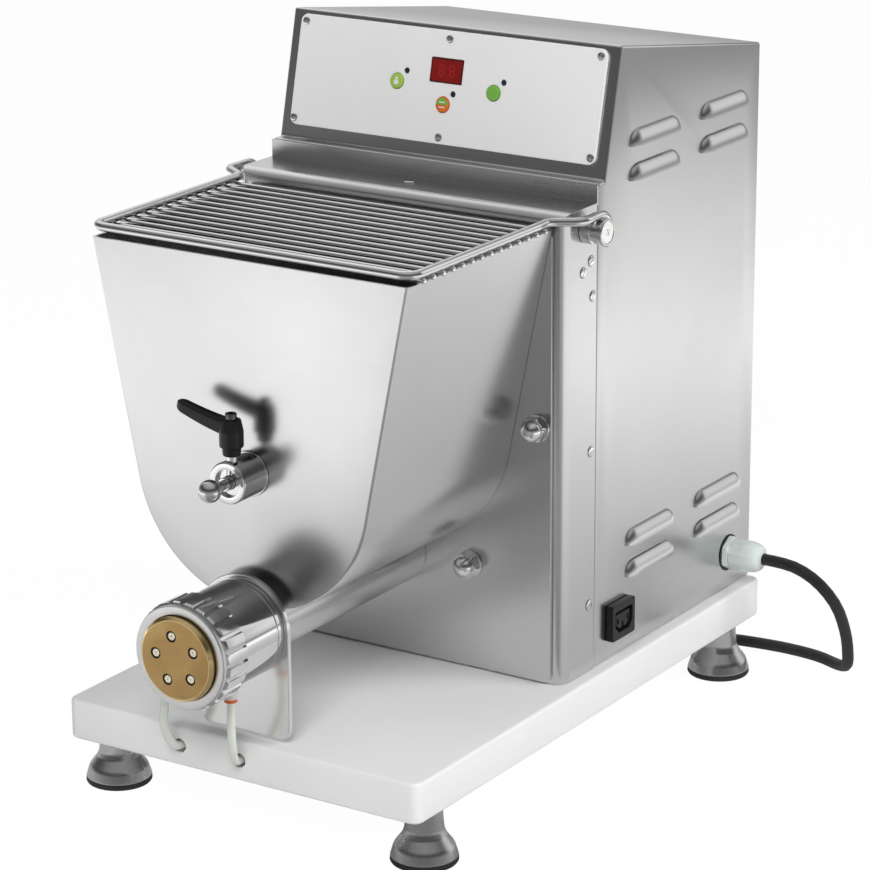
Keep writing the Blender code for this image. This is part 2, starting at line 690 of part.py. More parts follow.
def plate(name, outline, thickness, at, turn, finish=None, parent=None):
    """A flat outline, thickened evenly to both sides of its plane, as a mesh."""
    curve = bpy.data.curves.new(name, "CURVE")
    curve.dimensions = "2D"
    curve.fill_mode = "BOTH"
    curve.extrude = thickness / 2
    line = curve.splines.new("POLY")
    line.points.add(len(outline) - 1)
    for point, (x, y) in zip(line.points, outline):
        point.co = (x, y, 0, 1)
    line.use_cyclic_u = True
    thing = placed(name, curve, at, turn, parent=parent)
    return as_mesh(thing, finish)


def tube(name, points, radius, resolution, finish=None, origin=(0, 0, 0), parent=None):
    """A round tube with filled caps along a list of points."""
    curve = bpy.data.curves.new(name, "CURVE")
    curve.dimensions = "3D"
    curve.bevel_depth = radius
    curve.bevel_resolution = resolution
    curve.use_fill_caps = True
    line = curve.splines.new("POLY")
    line.points.add(len(points) - 1)
    for point, place in zip(line.points, points):
        point.co = (*(Vector(place) - Vector(origin)), 1)
    thing = placed(name, curve, origin, parent=parent)
    return as_mesh(thing, finish)


def combine(target, tool, operation):
    """Join a tool to a piece, or cut it out, with an exact Boolean."""
    change = target.modifiers.new(operation.title(), "BOOLEAN")
    change.operation = operation
    change.object = tool
    change.solver = "EXACT"


def join(target, *tools):
    for tool in tools:
        combine(target, tool, "UNION")


def cut(target, *tools):
    for tool in tools:
        combine(target, tool, "DIFFERENCE")


def gathered(name, things):
    """Several separate tools as one, so that a Boolean is done once."""
    bpy.context.view_layer.update()
    shape = bmesh.new()
    for thing in things:
        part = thing.data.copy()
        part.transform(thing.matrix_world)
        shape.from_mesh(part)
        bpy.data.meshes.remove(part)
        bpy.data.objects.remove(thing, do_unlink=True)
    mesh = bpy.data.meshes.new(name)
    shape.to_mesh(mesh)
    shape.free()
    return placed(name, mesh)


def arc(centre, radius, start, end, steps):
    """Points of a round stretch, ends included."""
    angles = np.linspace(start, end, steps + 1)
    return [(centre[0] + radius * math.cos(a), centre[1] + radius * math.sin(a)) for a in angles]


def rounded_rectangle(width, height, radius, steps=CORNER_STEPS):
    x = width / 2 - radius
    y = height / 2 - radius
    corners = ((x, y, 0), (-x, y, 1), (-x, -y, 2), (x, -y, 3))
    outline = []
    for cx, cy, quarter in corners:
        outline += arc((cx, cy), radius, quarter * RIGHT_ANGLE, (quarter + 1) * RIGHT_ANGLE, steps)
    return outline


def hexagon(across_flats):
    """A hexagon's corners from its width across the flats."""
    return arc((0, 0), across_flats / math.sqrt(3), 0, FULL_TURN, 6)[:-1]


def inset(outline, distance):
    """A closed anticlockwise outline moved inwards by a distance, with sharp corners kept sharp."""
    moved = []
    count = len(outline)
    for i in range(count):
        before = Vector(outline[i - 1])
        here = Vector(outline[i])
        after = Vector(outline[(i + 1) % count])
        incoming = (here - before).normalized()
        outgoing = (after - here).normalized()
        normal_in = Vector((-incoming.y, incoming.x))
        normal_out = Vector((-outgoing.y, outgoing.x))
        middle = (normal_in + normal_out).normalized()
        moved.append(tuple(here + middle * (distance / middle.dot(normal_in))))
    return moved


def smooth_route(points, spacing):
    """Evenly spaced points on a smooth curve through a hand-chosen route (centripetal Catmull-Rom)."""
    route = [np.array(point, float) for point in points]
    route = [2 * route[0] - route[1], *route, 2 * route[-1] - route[-2]]
    dense = []
    for p0, p1, p2, p3 in zip(route, route[1:], route[2:], route[3:]):
        knots = np.cumsum([0] + [math.sqrt(np.linalg.norm(b - a)) for a, b in ((p0, p1), (p1, p2), (p2, p3))])
        t0, t1, t2, t3 = knots
        for t in np.linspace(t1, t2, ROUTE_SAMPLES, endpoint=False):
            a1 = (t1 - t) / (t1 - t0) * p0 + (t - t0) / (t1 - t0) * p1
            a2 = (t2 - t) / (t2 - t1) * p1 + (t - t1) / (t2 - t1) * p2
            a3 = (t3 - t) / (t3 - t2) * p2 + (t - t2) / (t3 - t2) * p3
            b1 = (t2 - t) / (t2 - t0) * a1 + (t - t0) / (t2 - t0) * a2
            b2 = (t3 - t) / (t3 - t1) * a2 + (t - t1) / (t3 - t1) * a3
            dense.append((t2 - t) / (t2 - t1) * b1 + (t - t1) / (t2 - t1) * b2)
    dense.append(route[-2])
    dense = np.array(dense)
    run = np.concatenate([[0], np.cumsum(np.linalg.norm(np.diff(dense, axis=0), axis=1))])
    count = round(run[-1] / spacing)
    even = np.linspace(0, run[-1], count + 1)
    return [tuple(np.interp(s, run, dense[:, k]) for k in range(3)) for s in even]


def on_face(x, height, out):
    """A point on the sloping control face at a height, moved out along its normal."""
    y = FACE_FOOT_Y + FACE_LEAN * (height - LEDGE_HEIGHT)
    return (x, y - out * math.cos(FACE_TILT), height + out * math.sin(FACE_TILT))


def merge_flats(target):
    """Join the small flat faces that cuts leave, where they lie in one plane."""
    flats = target.modifiers.new("Flats", "DECIMATE")
    flats.decimate_type = "DISSOLVE"
    flats.angle_limit = FLAT_ANGLE


# Board and feet

def channel_rod(name, x, radius):
    start = (x, BOARD_FRONT_Y - CUT_MARGIN, CHANNEL_HEIGHT)
    end = (x, BOARD_REAR_Y + CUT_MARGIN, CHANNEL_HEIGHT)
    return rod(name, radius, start, end, sides=SMALL_STEPS)


def base_board():
    outline = rounded_rectangle(BOARD_WIDTH, BOARD_LENGTH, BOARD_CORNER)
    centre = (0, (BOARD_FRONT_Y + BOARD_REAR_Y) / 2, FOOT_HEIGHT + BOARD_THICKNESS / 2)
    board = plate("base_board", outline, BOARD_THICKNESS, centre, (0, 0, 0), WHITE_BOARD)
    edge = board.modifiers.new("Edges", "BEVEL")
    edge.width = BOARD_EDGE
    edge.segments = 2
    edge.limit_method = "ANGLE"
    edge.angle_limit = EDGE_ANGLE
    cut(board, channel_rod("channel_left", CHANNEL_LEFT_X, CHANNEL_RADIUS))
    cut(board, channel_rod("channel_right", CHANNEL_RIGHT_X, CHANNEL_RADIUS))


def foot(tag, x, y):
    """A metal foot: a slightly widening stem on a bell, with a rubber pad under it."""
    pad_top = PAD_THICKNESS + CLEARANCE
    bell_top = pad_top + BELL_HEIGHT
    profile = [(0, FOOT_HEIGHT - CLEARANCE), (STEM_TOP_RADIUS, FOOT_HEIGHT - CLEARANCE)]
    for step in range(BELL_STEPS + 1):
        angle = RIGHT_ANGLE * step / BELL_STEPS
        radius = STEM_FOOT_RADIUS + (PAD_RADIUS - STEM_FOOT_RADIUS) * math.sin(angle)
        profile.append((radius, pad_top + (bell_top - pad_top) * math.cos(angle)))
    profile.append((0, pad_top))
    turned("foot_" + tag, profile, (x, y, 0), finish=FOOT_METAL, steps=FOOT_SIDES)
    pad = [
        (0, PAD_THICKNESS),
        (PAD_RADIUS, PAD_THICKNESS),
        (PAD_RADIUS, PAD_EDGE),
        (PAD_RADIUS - PAD_EDGE, 0),
        (0, 0),
    ]
    turned("foot_pad_" + tag, pad, (x, y, 0), finish=BLACK_RUBBER, steps=FOOT_SIDES)


def feet():
    x = BOARD_WIDTH / 2 - FOOT_FROM_SIDE
    front = BOARD_FRONT_Y + FOOT_FROM_END
    rear = BOARD_REAR_Y - FOOT_FROM_END
    foot("front_left", -x, front)
    foot("front_right", x, front)
    foot("rear_left", -x, rear)
    foot("rear_right", x, rear)


# Sheet-metal body

def nut_places():
    """The four fixings of the hopper unit: tag, x and height."""
    for side, sign in (("left", -1), ("right", 1)):
        yield "upper_" + side, sign * UPPER_NUT[0], UPPER_NUT[1]
        yield "lower_" + side, sign * LOWER_NUT[0], LOWER_NUT[1]


def cut_fixing_holes(target, y):
    """The holes for the four studs and for the two drive shafts, through a sheet at y."""
    places = [(tag, x, height, FIXING_HOLE_RADIUS) for tag, x, height in nut_places()]
    places.append(("mixer_shaft", 0, MIXER_HEIGHT, SHAFT_HOLE_RADIUS))
    places.append(("auger_shaft", 0, BARREL_HEIGHT, SHAFT_HOLE_RADIUS))
    tools = []
    for tag, x, height, radius in places:
        start = (x, y - CUT_MARGIN, height)
        end = (x, y + CUT_MARGIN, height)
        tools.append(rod(tag, radius, start, end, sides=SMALL_STEPS))
    cut(target, gathered(target.name + "_holes", tools))


def front_frame():
    """The folded channel under the control face, with its shelf and the upstand behind the shelf."""

    def is_front_fold(a, b):
        at_front = a.y < 0 and b.y < 0
        at_foot = a.z < 0 and b.z < 0
        return at_front and not at_foot

    low = (-SIDE_X, FRAME_FRONT_Y, BODY_FOOT)
    high = (SIDE_X, SEAM_Y, SHELF_HEIGHT)
    fold = (is_front_fold, FRAME_CORNER, FRAME_CORNER_STEPS)
    frame = box("front_frame", low, high, SATIN_STEEL, rounded=fold)
    inner_low = (-SIDE_X + SHEET, FRAME_FRONT_Y + SHEET, BODY_FOOT - CUT_MARGIN)
    inner_high = (SIDE_X - SHEET, SEAM_Y + CUT_MARGIN, SHELF_HEIGHT - SHEET)
    inner_fold = (is_front_fold, FRAME_CORNER - SHEET, FRAME_CORNER_STEPS)
    cut(frame, box("frame_inside", inner_low, inner_high, rounded=inner_fold))
    upstand_low = (-SIDE_X, SEAM_Y - SHEET, SHELF_HEIGHT - SHEET / 2)
    upstand_high = (SIDE_X, SEAM_Y, SHELF_HEIGHT + UPSTAND_HEIGHT)
    join(frame, box("frame_upstand", upstand_low, upstand_high))
    cut_fixing_holes(frame, FRAME_FRONT_Y + SHEET / 2)


def cover_outline():
    """The cover's side view as (y, z) points, anticlockwise."""
    return [
        (SEAM_Y + CLEARANCE, BODY_FOOT),
        (BODY_REAR_Y, BODY_FOOT),
        (BODY_REAR_Y, TOP_REAR_HEIGHT),
        (FACE_TOP_Y, TOP_FRONT_HEIGHT),
        (FACE_FOOT_Y, LEDGE_HEIGHT),
        (SEAM_Y + CLEARANCE, LEDGE_HEIGHT),
    ]


def louvre_hull(name, x, sign, y, height, grow, drop):
    """Half of a long rounded bump on the side: quarter-ellipse section with round ends, flat at its lip."""
    reach = LOUVRE_DEPTH - grow
    tall = LOUVRE_HEIGHT - grow
    end = LOUVRE_HEIGHT - grow
    straight = LOUVRE_LENGTH / 2 - LOUVRE_HEIGHT
    shape = bmesh.new()
    for side in (-1, 1):
        for i in range(LOUVRE_END_STEPS + 1):
            turn = RIGHT_ANGLE * i / LOUVRE_END_STEPS
            for j in range(LOUVRE_ROUND_STEPS + 1):
                rise = RIGHT_ANGLE * j / LOUVRE_ROUND_STEPS
                ring = math.cos(turn)
                dy = side * (straight + end * math.sin(turn))
                dx = reach * ring * math.cos(rise)
                dz = tall * ring * math.sin(rise)
                shape.verts.new((sign * dx, dy, dz))
                if j == 0 and drop:
                    shape.verts.new((sign * dx, dy, -drop))
        for i in range(LOUVRE_END_STEPS + 1):
            turn = RIGHT_ANGLE * i / LOUVRE_END_STEPS
            dy = side * (straight + end * math.sin(turn))
            for dz in (0, tall * math.cos(turn)):
                shape.verts.new((-sign * (SHEET + CUT_MARGIN / 2 if drop else SHEET / 2), dy, dz))
    bmesh.ops.remove_doubles(shape, verts=shape.verts, dist=LOUVRE_WELD)
    hull = bmesh.ops.convex_hull(shape, input=shape.verts)
    unused = [item for item in hull["geom_interior"] if isinstance(item, bmesh.types.BMVert)]
    bmesh.ops.delete(shape, geom=unused, context="VERTS")
    return placed(name, mesh_of(name, shape), (x, y, height))


def add_louvres(target):
    """Pressed louvres on both sides: a hood, closed above and at its ends, open along its lower lip."""
    for side, sign in (("left", -1), ("right", 1)):
        hoods = []
        slots = []
        for row, height in enumerate(LOUVRE_ROWS):
            for column, y in enumerate(LOUVRE_COLUMNS):
                tag = f"{side}_{row}_{column}"
                x = sign * SIDE_X
                hoods.append(louvre_hull("hood_" + tag, x, sign, y, height, 0, 0))
                slots.append(louvre_hull("slot_" + tag, x, sign, y, height, LOUVRE_WALL, LOUVRE_LIP_GAP))
        join(target, gathered(f"louvre_hoods_{side}", hoods))
        cut(target, gathered(f"louvre_slots_{side}", slots))


def cover():
    """Sides, top, ledge and sloping control face folded from one sheet, with a flange round the rear."""
    outline = cover_outline()
    shell = plate("cover", outline, BODY_WIDTH, (0, 0, 0), FACING_RIGHT, SATIN_STEEL)
    inside = plate(
        "cover_inside", inset(outline, SHEET), BODY_WIDTH - 2 * SHEET, (0, 0, 0), FACING_RIGHT
    )
    cut(shell, inside)
    half = SIDE_X - SHEET
    front_low = (-half, SEAM_Y - CUT_MARGIN, BODY_FOOT - CUT_MARGIN)
    front_high = (half, SEAM_Y + CLEARANCE + SHEET + CUT_MARGIN, LEDGE_HEIGHT - SHEET)
    cut(shell, box("cover_front_opening", front_low, front_high))
    foot_low = (-half, SEAM_Y, BODY_FOOT - CUT_MARGIN)
    foot_high = (half, BODY_REAR_Y - SHEET, BODY_FOOT + SHEET + CUT_MARGIN)
    cut(shell, box("cover_foot_opening", foot_low, foot_high))
    rear_low = (-SIDE_X + REAR_FLANGE, BODY_REAR_Y - SHEET - CUT_MARGIN, BODY_FOOT + REAR_FLANGE)
    rear_high = (SIDE_X - REAR_FLANGE, BODY_REAR_Y + CUT_MARGIN, TOP_REAR_HEIGHT - REAR_FLANGE)
    cut(shell, box("cover_rear_opening", rear_low, rear_high))
    add_louvres(shell)
    cut_face_holes(shell)
    cut_side_holes(shell)
    merge_flats(shell)


def cut_face_holes(target):
    """The holes behind the buttons, the lights and the display, square to the control face."""
    tools = []
    for tag, (x, height) in BUTTONS.items():
        radius = BUTTON_COLLAR_RADIUS + BUTTON_HOLE_PLAY
        start = on_face(x, height, -SHEET - CUT_MARGIN)
        end = on_face(x, height, CUT_MARGIN)
        tools.append(rod("face_button_" + tag, radius, start, end, sides=SMALL_STEPS))
        side = x + INDICATOR_OFFSET_X
        top = height + INDICATOR_OFFSET_Z
        radius = INDICATOR_RADIUS + BUTTON_HOLE_PLAY
        start = on_face(side, top, -SHEET - CUT_MARGIN)
        end = on_face(side, top, CUT_MARGIN)
        tools.append(rod("face_light_" + tag, radius, start, end, sides=SMALL_STEPS))
    cut(target, gathered("face_holes", tools))
    width = DISPLAY_WIDTH + 2 * BUTTON_HOLE_PLAY
    height = DISPLAY_HEIGHT + 2 * BUTTON_HOLE_PLAY
    centre = on_face(0, DISPLAY_CENTRE_HEIGHT, 0)
    window = plate(
        "face_window", rounded_rectangle(width, height, CLEARANCE, 1), 4 * CUT_MARGIN, centre, FACE_TURN
    )
    cut(target, window)


def cut_side_holes(target):
    """The holes in the right side for the outlet and the cable gland."""
    gap = 2 * CLEARANCE
    half_wide = OUTLET_BODY_WIDTH / 2 + gap
    half_tall = OUTLET_BODY_TALL / 2 + gap
    low = (SIDE_X - CUT_MARGIN, OUTLET_Y - half_wide, OUTLET_HEIGHT - half_tall)
    high = (SIDE_X + CUT_MARGIN, OUTLET_Y + half_wide, OUTLET_HEIGHT + half_tall)
    cut(target, box("outlet_hole", low, high))
    start = (SIDE_X - CUT_MARGIN, GLAND_Y, GLAND_HEIGHT)
    end = (SIDE_X + CUT_MARGIN, GLAND_Y, GLAND_HEIGHT)
    cut(target, rod("gland_hole", GLAND_THREAD_RADIUS + gap, start, end))


def rear_panel():
    """The plate that closes the rear from inside, with a row of cooling slots near its foot."""
    width = BODY_WIDTH - 2 * SHEET - 2 * CLEARANCE
    foot_height = BODY_FOOT
    top_height = TOP_REAR_HEIGHT - REAR_FLANGE / 2
    y = BODY_REAR_Y - SHEET - CLEARANCE - SHEET / 2
    outline = rounded_rectangle(width, top_height - foot_height, REAR_CORNER)
    panel = plate("rear_panel", outline, SHEET, (0, y, (foot_height + top_height) / 2), TO_FRONT, SATIN_STEEL)
    slots = []
    for i in range(REAR_SLOT_COUNT):
        height = foot_height + REAR_SLOT_FROM_FOOT + i * REAR_SLOT_PITCH
        for sign in (-1, 1):
            x = sign * (REAR_SLOT_LENGTH + REAR_SLOT_PITCH) / 2
            slot = rounded_rectangle(REAR_SLOT_LENGTH, REAR_SLOT_HEIGHT, REAR_SLOT_HEIGHT / 2 - CLEARANCE, 1)
            slots.append(plate(f"rear_slot_{i}_{sign}", slot, 4 * SHEET, (x, y, height), TO_FRONT))
    cut(panel, gathered("rear_slots", slots))


# Control panel

def control_plate():
    height = (PANEL_TOP - PANEL_FOOT) / math.cos(FACE_TILT)
    outline = rounded_rectangle(PANEL_WIDTH, height, PANEL_CORNER)
    centre = on_face(0, (PANEL_TOP + PANEL_FOOT) / 2, CLEARANCE + PANEL_THICKNESS / 2)
    panel = plate("control_plate", outline, PANEL_THICKNESS, centre, FACE_TURN, PALE_PANEL)
    tools = []
    for tag, (x, z) in BUTTONS.items():
        start = on_face(x, z, -CUT_MARGIN)
        end = on_face(x, z, PANEL_THICKNESS + CUT_MARGIN)
        radius = BUTTON_RADIUS + BUTTON_HOLE_PLAY
        tools.append(rod("panel_button_" + tag, radius, start, end, sides=SMALL_STEPS))
        start = on_face(x + INDICATOR_OFFSET_X, z + INDICATOR_OFFSET_Z, -CUT_MARGIN)
        end = on_face(x + INDICATOR_OFFSET_X, z + INDICATOR_OFFSET_Z, PANEL_THICKNESS + CUT_MARGIN)
        radius = INDICATOR_RADIUS + CLEARANCE
        tools.append(rod("panel_light_" + tag, radius, start, end, sides=SMALL_STEPS))
    cut(panel, gathered("panel_holes", tools))
    window = rounded_rectangle(DISPLAY_WIDTH + 2 * CLEARANCE, DISPLAY_HEIGHT + 2 * CLEARANCE, CLEARANCE, 1)
    centre = on_face(0, DISPLAY_CENTRE_HEIGHT, 0)
    cut(panel, plate("panel_window", window, 4 * CUT_MARGIN, centre, FACE_TURN))


def display_window():
    outline = rounded_rectangle(DISPLAY_WIDTH, DISPLAY_HEIGHT, CLEARANCE, 1)
    out = CLEARANCE + PANEL_THICKNESS - DISPLAY_THICKNESS / 2
    centre = on_face(0, DISPLAY_CENTRE_HEIGHT, out)
    plate("display_window", outline, DISPLAY_THICKNESS, centre, FACE_TURN, DISPLAY_RED)


def button(tag, x, height, finish):
    """A push button: head through the panel, collar behind it and a stem towards its switch."""
    top = CLEARANCE + PANEL_THICKNESS + BUTTON_HEAD_HEIGHT
    profile = [
        (0, top),
        (BUTTON_RADIUS, top),
        (BUTTON_RADIUS, 0),
        (BUTTON_COLLAR_RADIUS, 0),
        (BUTTON_COLLAR_RADIUS, -BUTTON_COLLAR_THICKNESS),
        (BUTTON_STEM_RADIUS, -BUTTON_COLLAR_THICKNESS),
        (BUTTON_STEM_RADIUS, -BUTTON_COLLAR_THICKNESS - BUTTON_STEM_LENGTH),
        (0, -BUTTON_COLLAR_THICKNESS - BUTTON_STEM_LENGTH),
    ]
    turned("button_" + tag, profile, on_face(x, height, 0), FACE_TURN, finish, steps=MIDDLE_STEPS)


def indicator(tag, x, height):
    """A light pipe from the circuit board to the panel, beside its button."""
    top = CLEARANCE + PANEL_THICKNESS + INDICATOR_PROUD
    foot_out = CLEARANCE - BOARD_BEHIND_FACE
    x += INDICATOR_OFFSET_X
    height += INDICATOR_OFFSET_Z
    profile = [(0, top), (INDICATOR_RADIUS, top), (INDICATOR_RADIUS, foot_out), (0, foot_out)]
    turned("indicator_" + tag, profile, on_face(x, height, 0), FACE_TURN, INDICATOR_DARK, steps=SMALL_STEPS)


def control_board():
    """The circuit board parallel to the face, with a switch under each button and the display block."""
    back = -BOARD_BEHIND_FACE - CIRCUIT_THICKNESS / 2
    centre = on_face(0, CIRCUIT_CENTRE_HEIGHT, back)
    outline = rounded_rectangle(CIRCUIT_WIDTH, CIRCUIT_HEIGHT, CIRCUIT_CORNER, CIRCUIT_CORNER_STEPS)
    board = plate("control_board", outline, CIRCUIT_THICKNESS, centre, FACE_TURN, CIRCUIT_GREEN)
    sunk = CIRCUIT_THICKNESS / 2
    reach = BUTTON_COLLAR_THICKNESS + BUTTON_STEM_LENGTH + BUTTON_TRAVEL + CLEARANCE
    for tag, (x, height) in BUTTONS.items():
        tall = BOARD_BEHIND_FACE - reach + sunk
        out = -BOARD_BEHIND_FACE - sunk + tall / 2
        square = rounded_rectangle(SWITCH_SIDE, SWITCH_SIDE, CLEARANCE, 1)
        join(board, plate("switch_" + tag, square, tall, on_face(x, height, out), FACE_TURN))
    lens_back = PANEL_THICKNESS + CLEARANCE - DISPLAY_THICKNESS
    tall = BOARD_BEHIND_FACE + lens_back - CLEARANCE + sunk
    out = -BOARD_BEHIND_FACE - sunk + tall / 2
    block = rounded_rectangle(DISPLAY_WIDTH - SHEET, DISPLAY_HEIGHT - SHEET, CLEARANCE, 1)
    join(board, plate("display_block", block, tall, on_face(0, DISPLAY_CENTRE_HEIGHT, out), FACE_TURN))
    relay = rounded_rectangle(RELAY_WIDTH, RELAY_HEIGHT, CLEARANCE, 1)
    for sign in (-1, 1):
        out = -BOARD_BEHIND_FACE - sunk - RELAY_DEPTH / 2
        place = on_face(sign * RELAY_X, CIRCUIT_CENTRE_HEIGHT, out)
        join(board, plate(f"relay_{sign}", relay, RELAY_DEPTH, place, FACE_TURN))


# Hopper unit

def trough_outline(thinner, above):
    """The hopper's end view as (x, z) points: straight sides that run into a round trough."""
    radius = TROUGH_RADIUS - thinner
    rise = HOPPER_RIM_HEIGHT - MIXER_HEIGHT
    distance = math.hypot(HOPPER_RIM_HALF_WIDTH, rise)
    touch = math.atan2(rise, HOPPER_RIM_HALF_WIDTH) - math.acos(TROUGH_RADIUS / distance)
    lean = math.tan(-touch)
    rim_x = HOPPER_RIM_HALF_WIDTH - thinner / math.cos(touch) + above * lean
    rim_z = HOPPER_RIM_HEIGHT + above
    outline = [(-rim_x, rim_z)]
    outline += arc((0, MIXER_HEIGHT), radius, -math.pi - touch, touch, TROUGH_STEPS)
    outline.append((rim_x, rim_z))
    return outline


def along_y(name, outline, start, end, finish=None):
    """An (x, z) outline run from one y to another."""
    return plate(name, outline, end - start, (0, (start + end) / 2, 0), TO_FRONT, finish)


def hopper():
    rear = REAR_PLATE_FRONT_Y - CLEARANCE
    body = along_y("hopper", trough_outline(0, 0), HOPPER_FRONT_Y, rear, SATIN_STEEL)
    inner = trough_outline(HOPPER_SHEET, CUT_MARGIN)
    cut(body, along_y("hopper_inside", inner, HOPPER_FRONT_Y + HOPPER_SHEET, rear + CUT_MARGIN))
    start = (0, HOPPER_FRONT_Y - CUT_MARGIN, BARREL_HEIGHT)
    end = (0, rear + CUT_MARGIN, BARREL_HEIGHT)
    cut(body, rod("barrel_seat", BARREL_RADIUS + CLEARANCE, start, end, sides=BARREL_STEPS))
    start = (0, HOPPER_FRONT_Y - CUT_MARGIN, MIXER_HEIGHT)
    end = (0, HOPPER_FRONT_Y + CUT_MARGIN, MIXER_HEIGHT)
    cut(body, rod("pin_hole", PIN_SOCKET_RADIUS, start, end, sides=SMALL_STEPS))


def hopper_rear_plate():
    """The flat plate that the hopper is welded to, held on the body by four dome nuts."""
    foot_height = BOARD_TOP + REAR_PLATE_ABOVE_BOARD
    height = HOPPER_RIM_HEIGHT - foot_height
    outline = rounded_rectangle(2 * REAR_PLATE_HALF_WIDTH, height, REAR_PLATE_CORNER)
    centre = (0, REAR_PLATE_FRONT_Y + REAR_PLATE_THICKNESS / 2, foot_height + height / 2)
    panel = plate("hopper_rear_plate", outline, REAR_PLATE_THICKNESS, centre, TO_FRONT, SATIN_STEEL)
    cut_fixing_holes(panel, centre[1])


def dome_nut(tag, x, height):
    """A dome nut on its washer, with the stud that it holds."""
    seat = WASHER_THICKNESS + CLEARANCE
    shank = FRAME_FRONT_Y + SHEET - CLEARANCE - REAR_PLATE_FRONT_Y
    base = seat + NUT_HEIGHT - CLEARANCE
    profile = []
    for point in arc((0, base), NUT_DOME_RADIUS, RIGHT_ANGLE, 0, BELL_STEPS):
        profile.append(point)
    profile[0] = (0, base + NUT_DOME_RADIUS)
    profile += [
        (NUT_DOME_RADIUS, seat),
        (WASHER_RADIUS, seat),
        (WASHER_RADIUS, CLEARANCE),
        (FIXING_HOLE_RADIUS - 2 * CLEARANCE, CLEARANCE),
        (FIXING_HOLE_RADIUS - 2 * CLEARANCE, -shank),
        (0, -shank),
    ]
    at = (x, REAR_PLATE_FRONT_Y, height)
    nut = turned("dome_nut_" + tag, profile, at, TO_FRONT, POLISHED_STEEL, steps=MIDDLE_STEPS)
    thickness = base - seat + CLEARANCE
    middle = (x, REAR_PLATE_FRONT_Y - (seat - CLEARANCE + base) / 2, height)
    join(nut, plate("hexagon_" + tag, hexagon(NUT_ACROSS_FLATS), thickness, middle, TO_FRONT))


# Barrel, bracket and head

def barrel():
    """The auger's tube under the hopper, open at the top where the dough falls in."""
    start = REAR_PLATE_FRONT_Y - CLEARANCE
    profile = [
        (BARREL_RADIUS, BRACKET_FRONT_Y),
        (BARREL_RADIUS, start),
        (BARREL_BORE, start),
        (BARREL_BORE, BRACKET_FRONT_Y),
    ]
    at = (0, 0, BARREL_HEIGHT)
    pipe = turned("barrel", forward(profile), at, TO_FRONT, SATIN_STEEL, closed=True, steps=BARREL_STEPS)
    low = (
        -BARREL_WINDOW_HALF_WIDTH,
        HOPPER_FRONT_Y + HOPPER_SHEET + BARREL_WINDOW_FROM_ENDS,
        BARREL_HEIGHT + BARREL_WINDOW_ABOVE_AXIS,
    )
    high = (BARREL_WINDOW_HALF_WIDTH, start - BARREL_WINDOW_FROM_ENDS, BARREL_HEIGHT + 2 * BARREL_RADIUS)
    cut(pipe, box("barrel_window", low, high))


def head_bracket():
    """The upright plate with a round top that carries the front of the barrel over the board."""
    foot_height = BOARD_TOP + BRACKET_ABOVE_BOARD
    x = BRACKET_RADIUS - BRACKET_CORNER
    z = foot_height + BRACKET_CORNER
    outline = arc((0, BARREL_HEIGHT), BRACKET_RADIUS, 0, math.pi, TROUGH_STEPS)
    outline += arc((-x, z), BRACKET_CORNER, math.pi, math.pi + RIGHT_ANGLE, 4)
    outline += arc((x, z), BRACKET_CORNER, -RIGHT_ANGLE, 0, 4)
    rear = BRACKET_FRONT_Y + BRACKET_THICKNESS
    bracket = along_y("head_bracket", outline, BRACKET_FRONT_Y, rear, SATIN_STEEL)
    start = (0, BRACKET_FRONT_Y - CUT_MARGIN, BARREL_HEIGHT)
    end = (0, rear + CUT_MARGIN, BARREL_HEIGHT)
    cut(bracket, rod("bracket_hole", BARREL_RADIUS + CLEARANCE, start, end, sides=BARREL_STEPS))


def head_collar():
    """The cooled head: a polished collar with the thread for the ring nut and a widening mouth."""
    profile = [
        (THREAD_RADIUS, HEAD_FRONT_Y),
        (THREAD_RADIUS, SHOULDER_Y),
        (COLLAR_RADIUS, SHOULDER_Y),
        (COLLAR_RADIUS, HEAD_REAR_Y),
        (BARREL_BORE, HEAD_REAR_Y),
        (BARREL_BORE, HEAD_FRONT_Y + HEAD_MOUTH_DEPTH),
        (HEAD_MOUTH_RADIUS, HEAD_FRONT_Y),
    ]
    at = (0, 0, BARREL_HEIGHT)
    turned("head_collar", forward(profile), at, TO_FRONT, POLISHED_STEEL, closed=True, steps=BARREL_STEPS)


def rib_outline():
    """The ring nut's grip: wide flat ribs with narrow grooves between them."""
    outline = []
    pitch = FULL_TURN / RIB_COUNT
    groove = RIB_GROOVE_SHARE * pitch / 2
    shoulder = RIB_GROOVE_SHARE * pitch
    for i in range(RIB_COUNT):
        start = i * pitch
        stations = (
            (start - groove / 2, RIB_GROOVE_RADIUS),
            (start + groove / 2, RIB_GROOVE_RADIUS),
            (start + shoulder, RIB_RADIUS),
            (start + pitch - shoulder, RIB_RADIUS),
        )
        outline += [(radius * math.cos(angle), radius * math.sin(angle)) for angle, radius in stations]
    return outline


def ring_nut(parent):
    rib_front = NUT_FRONT_Y + RING_FACE_LENGTH
    middle = (rib_front + NUT_REAR_Y) / 2
    at = (0, middle, BARREL_HEIGHT)
    nut = plate("ring_nut", rib_outline(), NUT_REAR_Y - rib_front, at, TO_FRONT, POLISHED_STEEL, parent)
    face_end = rib_front + CUT_MARGIN
    start = (0, NUT_FRONT_Y, BARREL_HEIGHT)
    sides = BARREL_STEPS
    join(nut, rod("nut_face", RING_FACE_RADIUS, start, (0, face_end, BARREL_HEIGHT), sides=sides))
    start = (0, NUT_FRONT_Y - CUT_MARGIN, BARREL_HEIGHT)
    end = (0, NUT_REAR_Y + CUT_MARGIN, BARREL_HEIGHT)
    cut(nut, rod("nut_mouth", RING_LIP_RADIUS, start, end, sides=sides))
    start = (0, NUT_FRONT_Y + RING_LIP_THICKNESS, BARREL_HEIGHT)
    cut(nut, rod("nut_bore", RING_BORE, start, end, sides=sides))


